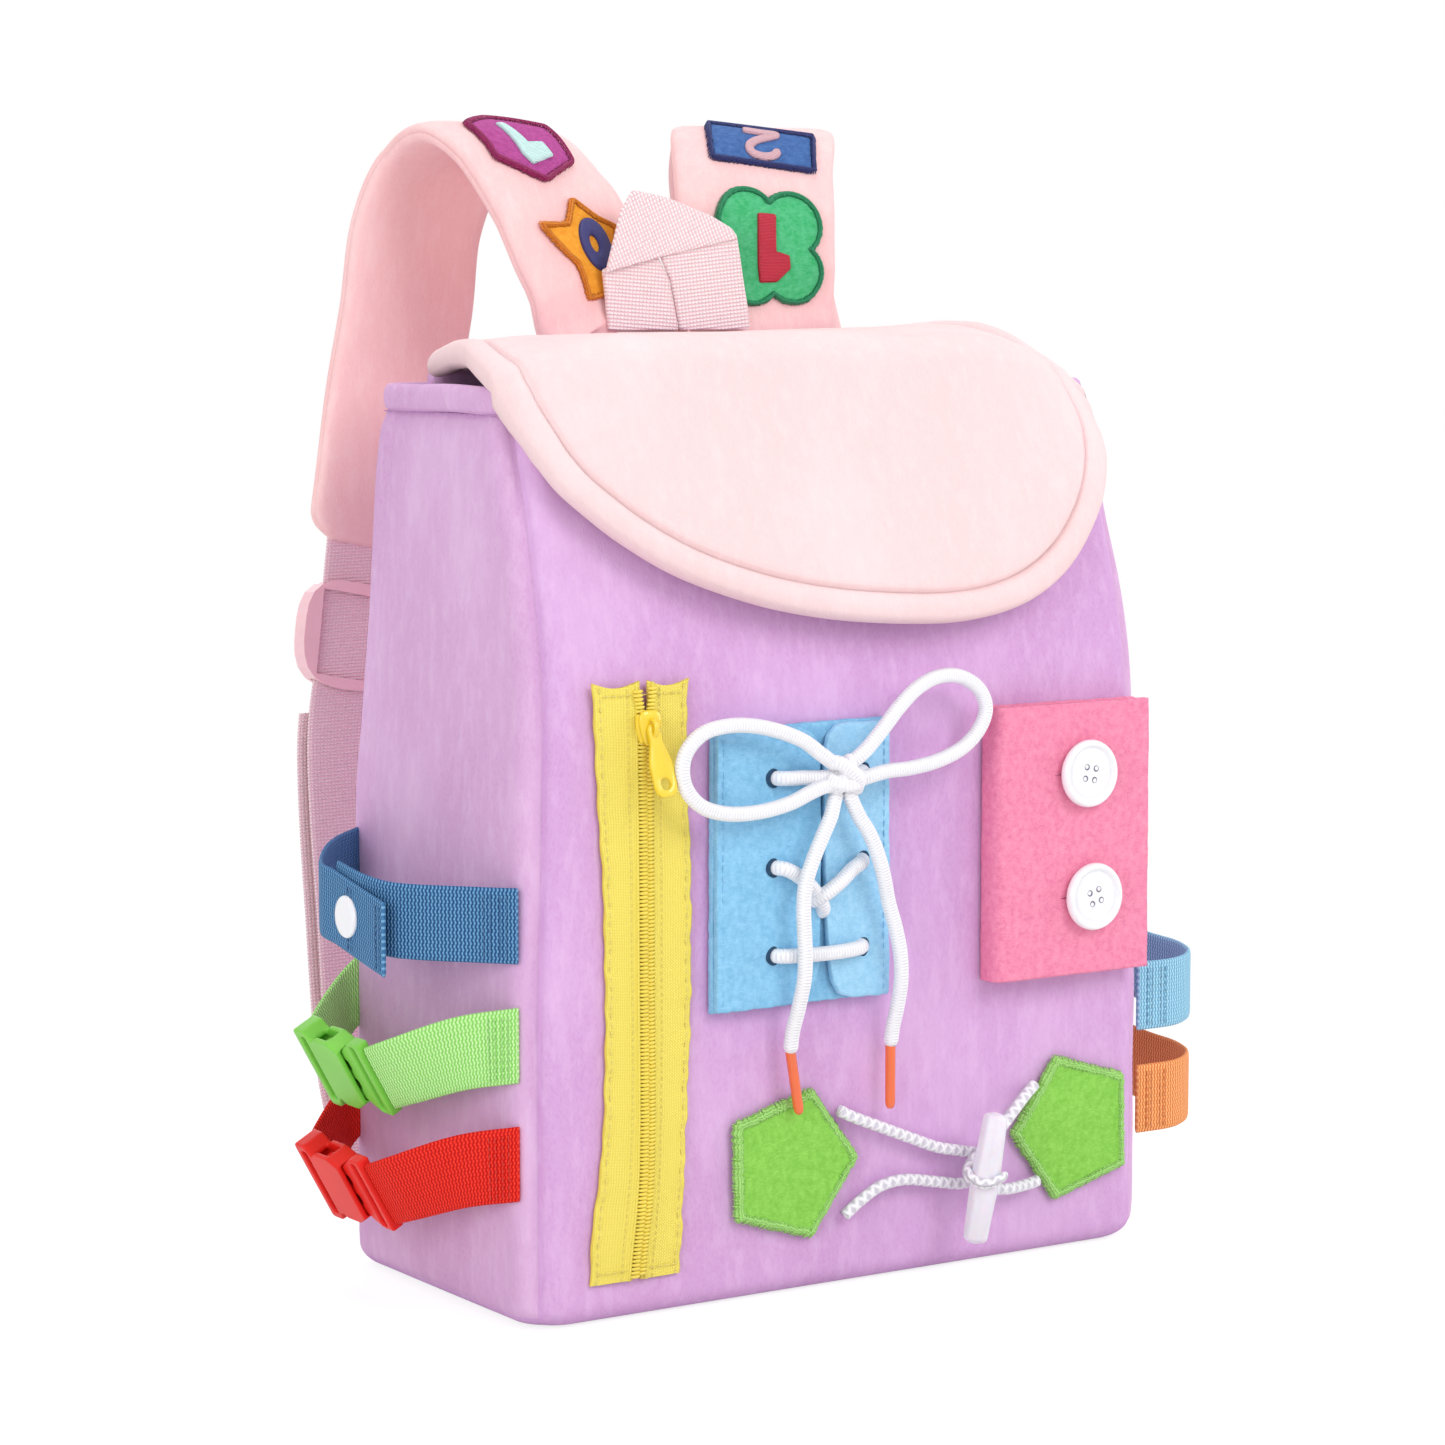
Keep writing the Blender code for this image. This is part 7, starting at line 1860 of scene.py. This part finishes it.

# %% [markdown]
# ## Buckle straps
# The buckles are the model's own solids with their edges softened. The webbing at the front runs from the
# bag's seam to the plug; it is not attached to a body.


# %% Buckle straps
def moulded(node, material):
    """Gives a rigid node its material and the soft edges of moulded plastic: an even fine mesh, relaxed."""
    recolour(node, material)
    thing = nodes[node]
    remesh = thing.modifiers.new("even", "REMESH")
    remesh.mode = "VOXEL"
    remesh.voxel_size = 0.00042
    remesh.use_smooth_shade = True
    relax = thing.modifiers.new("soft", "SMOOTH")
    relax.factor = 0.6
    relax.iterations = 10


roll = math.radians(29)
buckle_y, plug_length, socket_length = -0.0080, 0.0130, 0.0270
for z, word, web, plastic, thread in ((0.0935, "green", green_web, green_plastic, green_thread),
                                      (0.0550, "red", red_web, red_plastic, red_thread)):
    moulded(word + "_socket", plastic)
    moulded(word + "_plug", plastic)
    cx, cz = -(half_base + 0.026), z - 0.0155
    lead_y = buckle_y - 0.0009
    front = [(-seam_x(front_seam_y), front_seam_y, z), (cx + 0.013, front_seam_y + 0.0161, z - 0.0039),
             (cx + 0.0021, front_seam_y + 0.0351, z - 0.0116), (cx, lead_y + 0.0005, cz)]
    a, p, s, n = strap(word + "_front_web", front, web, None, roll=(0.0, roll), count=110)
    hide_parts(word + "_front_webbing")
    way = np.sign(-n[5, 0])
    bar_tacks(word + "_front_tacks", p, s, n, (0.06, 0.14), "bag", thread, out=0.0010 * way)
    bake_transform(a)
    rear_y = buckle_y + plug_length + web_gap + socket_length + 0.0009
    rear = [(-seam_x(back_seam_y), back_seam_y, z + 0.0033), (cx + 0.0172, back_seam_y - 0.0031, z - 0.0039),
            (cx, rear_y - 0.0005, cz)]
    b, p, s, n = strap(word + "_rear_web", rear, web, "bag", roll=(0.0, roll), count=90)
    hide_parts(word + "_rear_webbing")

# %% [markdown]
# ## Hem seam
# A running stitch follows the plan outline just under the rolled hem.

# %% Hem seam
lilac_thread = satin("lilac_thread", (0.560, 0.300, 0.600), (0.330, 0.150, 0.370))
seam_z = rim - 0.0088
p, _, _ = plan(seam_z, -0.0002, front_corner_r * 1.25, back_corner_r * 1.25, per_side)
line = closed(np.column_stack([p, np.full(len(p), seam_z)]))
stitch_line("hem_seam", line, (0, 0, -0.2), 0.0026, 0.0009, 0.0002, lilac_thread, "bag")

# %% [markdown]
# ## Floor and light
# A white floor and world as the camera sees them. Five soft square lamps: the key in front, one on the
# camera's left, a weaker fill on its right, one above and one behind.

# %% Floor and light
floor_mesh = bpy.data.meshes.new("floor")
floor_mesh.from_pydata([(-6, -6, 0), (6, -6, 0), (6, 6, 0), (-6, 6, 0)], [], [(0, 1, 2, 3)])
floor = bpy.data.objects.new("floor", floor_mesh)
floor.location.z = -0.0004
bpy.context.scene.collection.objects.link(floor)


def bright_rays(tree):
    """1 for rays from the camera, and for those seen in a gloss or through the toggle."""
    rays = tree.nodes.new("ShaderNodeLightPath")
    either = rays.outputs["Is Camera Ray"]
    for name in ("Is Glossy Ray", "Is Transmission Ray"):
        step = add_node(tree, "Math", {0: either, 1: rays.outputs[name]}, operation="MAXIMUM")
        either = step.outputs[0]
    return either


floor_mat = bpy.data.materials.new("floor")
floor_mat.use_nodes = True
tree = floor_mat.node_tree
tree.nodes.clear()
plain = add_node(tree, "BsdfDiffuse", {"Color": (0.8, 0.8, 0.8, 1)})
shade = add_node(tree, "BsdfDiffuse", {"Color": (0.32, 0.32, 0.32, 1)})
glow = add_node(tree, "Emission", {"Color": (1, 1, 1, 1), "Strength": 0.80})
near = add_node(tree, "AddShader", {0: shade.outputs[0], 1: glow.outputs[0]})
white = add_node(tree, "Emission", {"Color": (1, 1, 1, 1), "Strength": 1.0})
place = tree.nodes.new("ShaderNodeTexCoord")
reach = add_node(tree, "VectorMath", {0: place.outputs["Object"]}, operation="LENGTH")
far = add_node(tree, "MapRange", {0: reach.outputs["Value"], 1: 0.26, 2: 0.46},
               interpolation_type="SMOOTHSTEP")
seen_floor = add_node(tree, "MixShader", {0: far.outputs[0], 1: near.outputs[0], 2: white.outputs[0]})
mixed = add_node(tree, "MixShader", {0: bright_rays(tree), 1: plain.outputs[0], 2: seen_floor.outputs[0]})
tree.links.new(mixed.outputs[0], tree.nodes.new("ShaderNodeOutputMaterial").inputs[0])
floor_mesh.materials.append(floor_mat)

world = bpy.data.worlds.new("world")
bpy.context.scene.world = world
world.use_nodes = True
tree = world.node_tree
tree.nodes.clear()
ambient = add_node(tree, "Background", {"Color": (0.97, 0.98, 1.0, 1), "Strength": 0.62})
white = add_node(tree, "Background", {"Color": (1, 1, 1, 1), "Strength": 1.0})
mixed = add_node(tree, "MixShader", {0: bright_rays(tree), 1: ambient.outputs[0], 2: white.outputs[0]})
tree.links.new(mixed.outputs[0], tree.nodes.new("ShaderNodeOutputWorld").inputs[0])


def area_light(name, place, target, size, power):
    """A soft square lamp that looks at a point."""
    data = bpy.data.lights.new(name, "AREA")
    data.size = size
    data.energy = power
    lamp = bpy.data.objects.new(name, data)
    lamp.location = place
    lamp.rotation_euler = (Vector(target) - Vector(place)).to_track_quat("-Z", "Y").to_euler()
    bpy.context.scene.collection.objects.link(lamp)


area_light("key", (0.35, -1.5, 1.25), (0, 0, 0.18), 0.9, 11.0)
area_light("side", (-1.45, -0.75, 0.6), (0, 0, 0.16), 0.9, 8.5)
area_light("fill", (1.5, -0.7, 0.6), (0, 0, 0.14), 0.9, 6.0)
area_light("top", (0.0, 0.3, 1.6), (0, 0, 0.2), 1.0, 7.0)
area_light("rear", (0.6, 1.5, 0.8), (0, 0, 0.2), 1.0, 5.0)
bpy.context.scene.view_settings.view_transform = "Standard"

# %% [markdown]
# ## Finish
# The view layer is updated once more.

# %% Finish
bpy.context.view_layer.update()
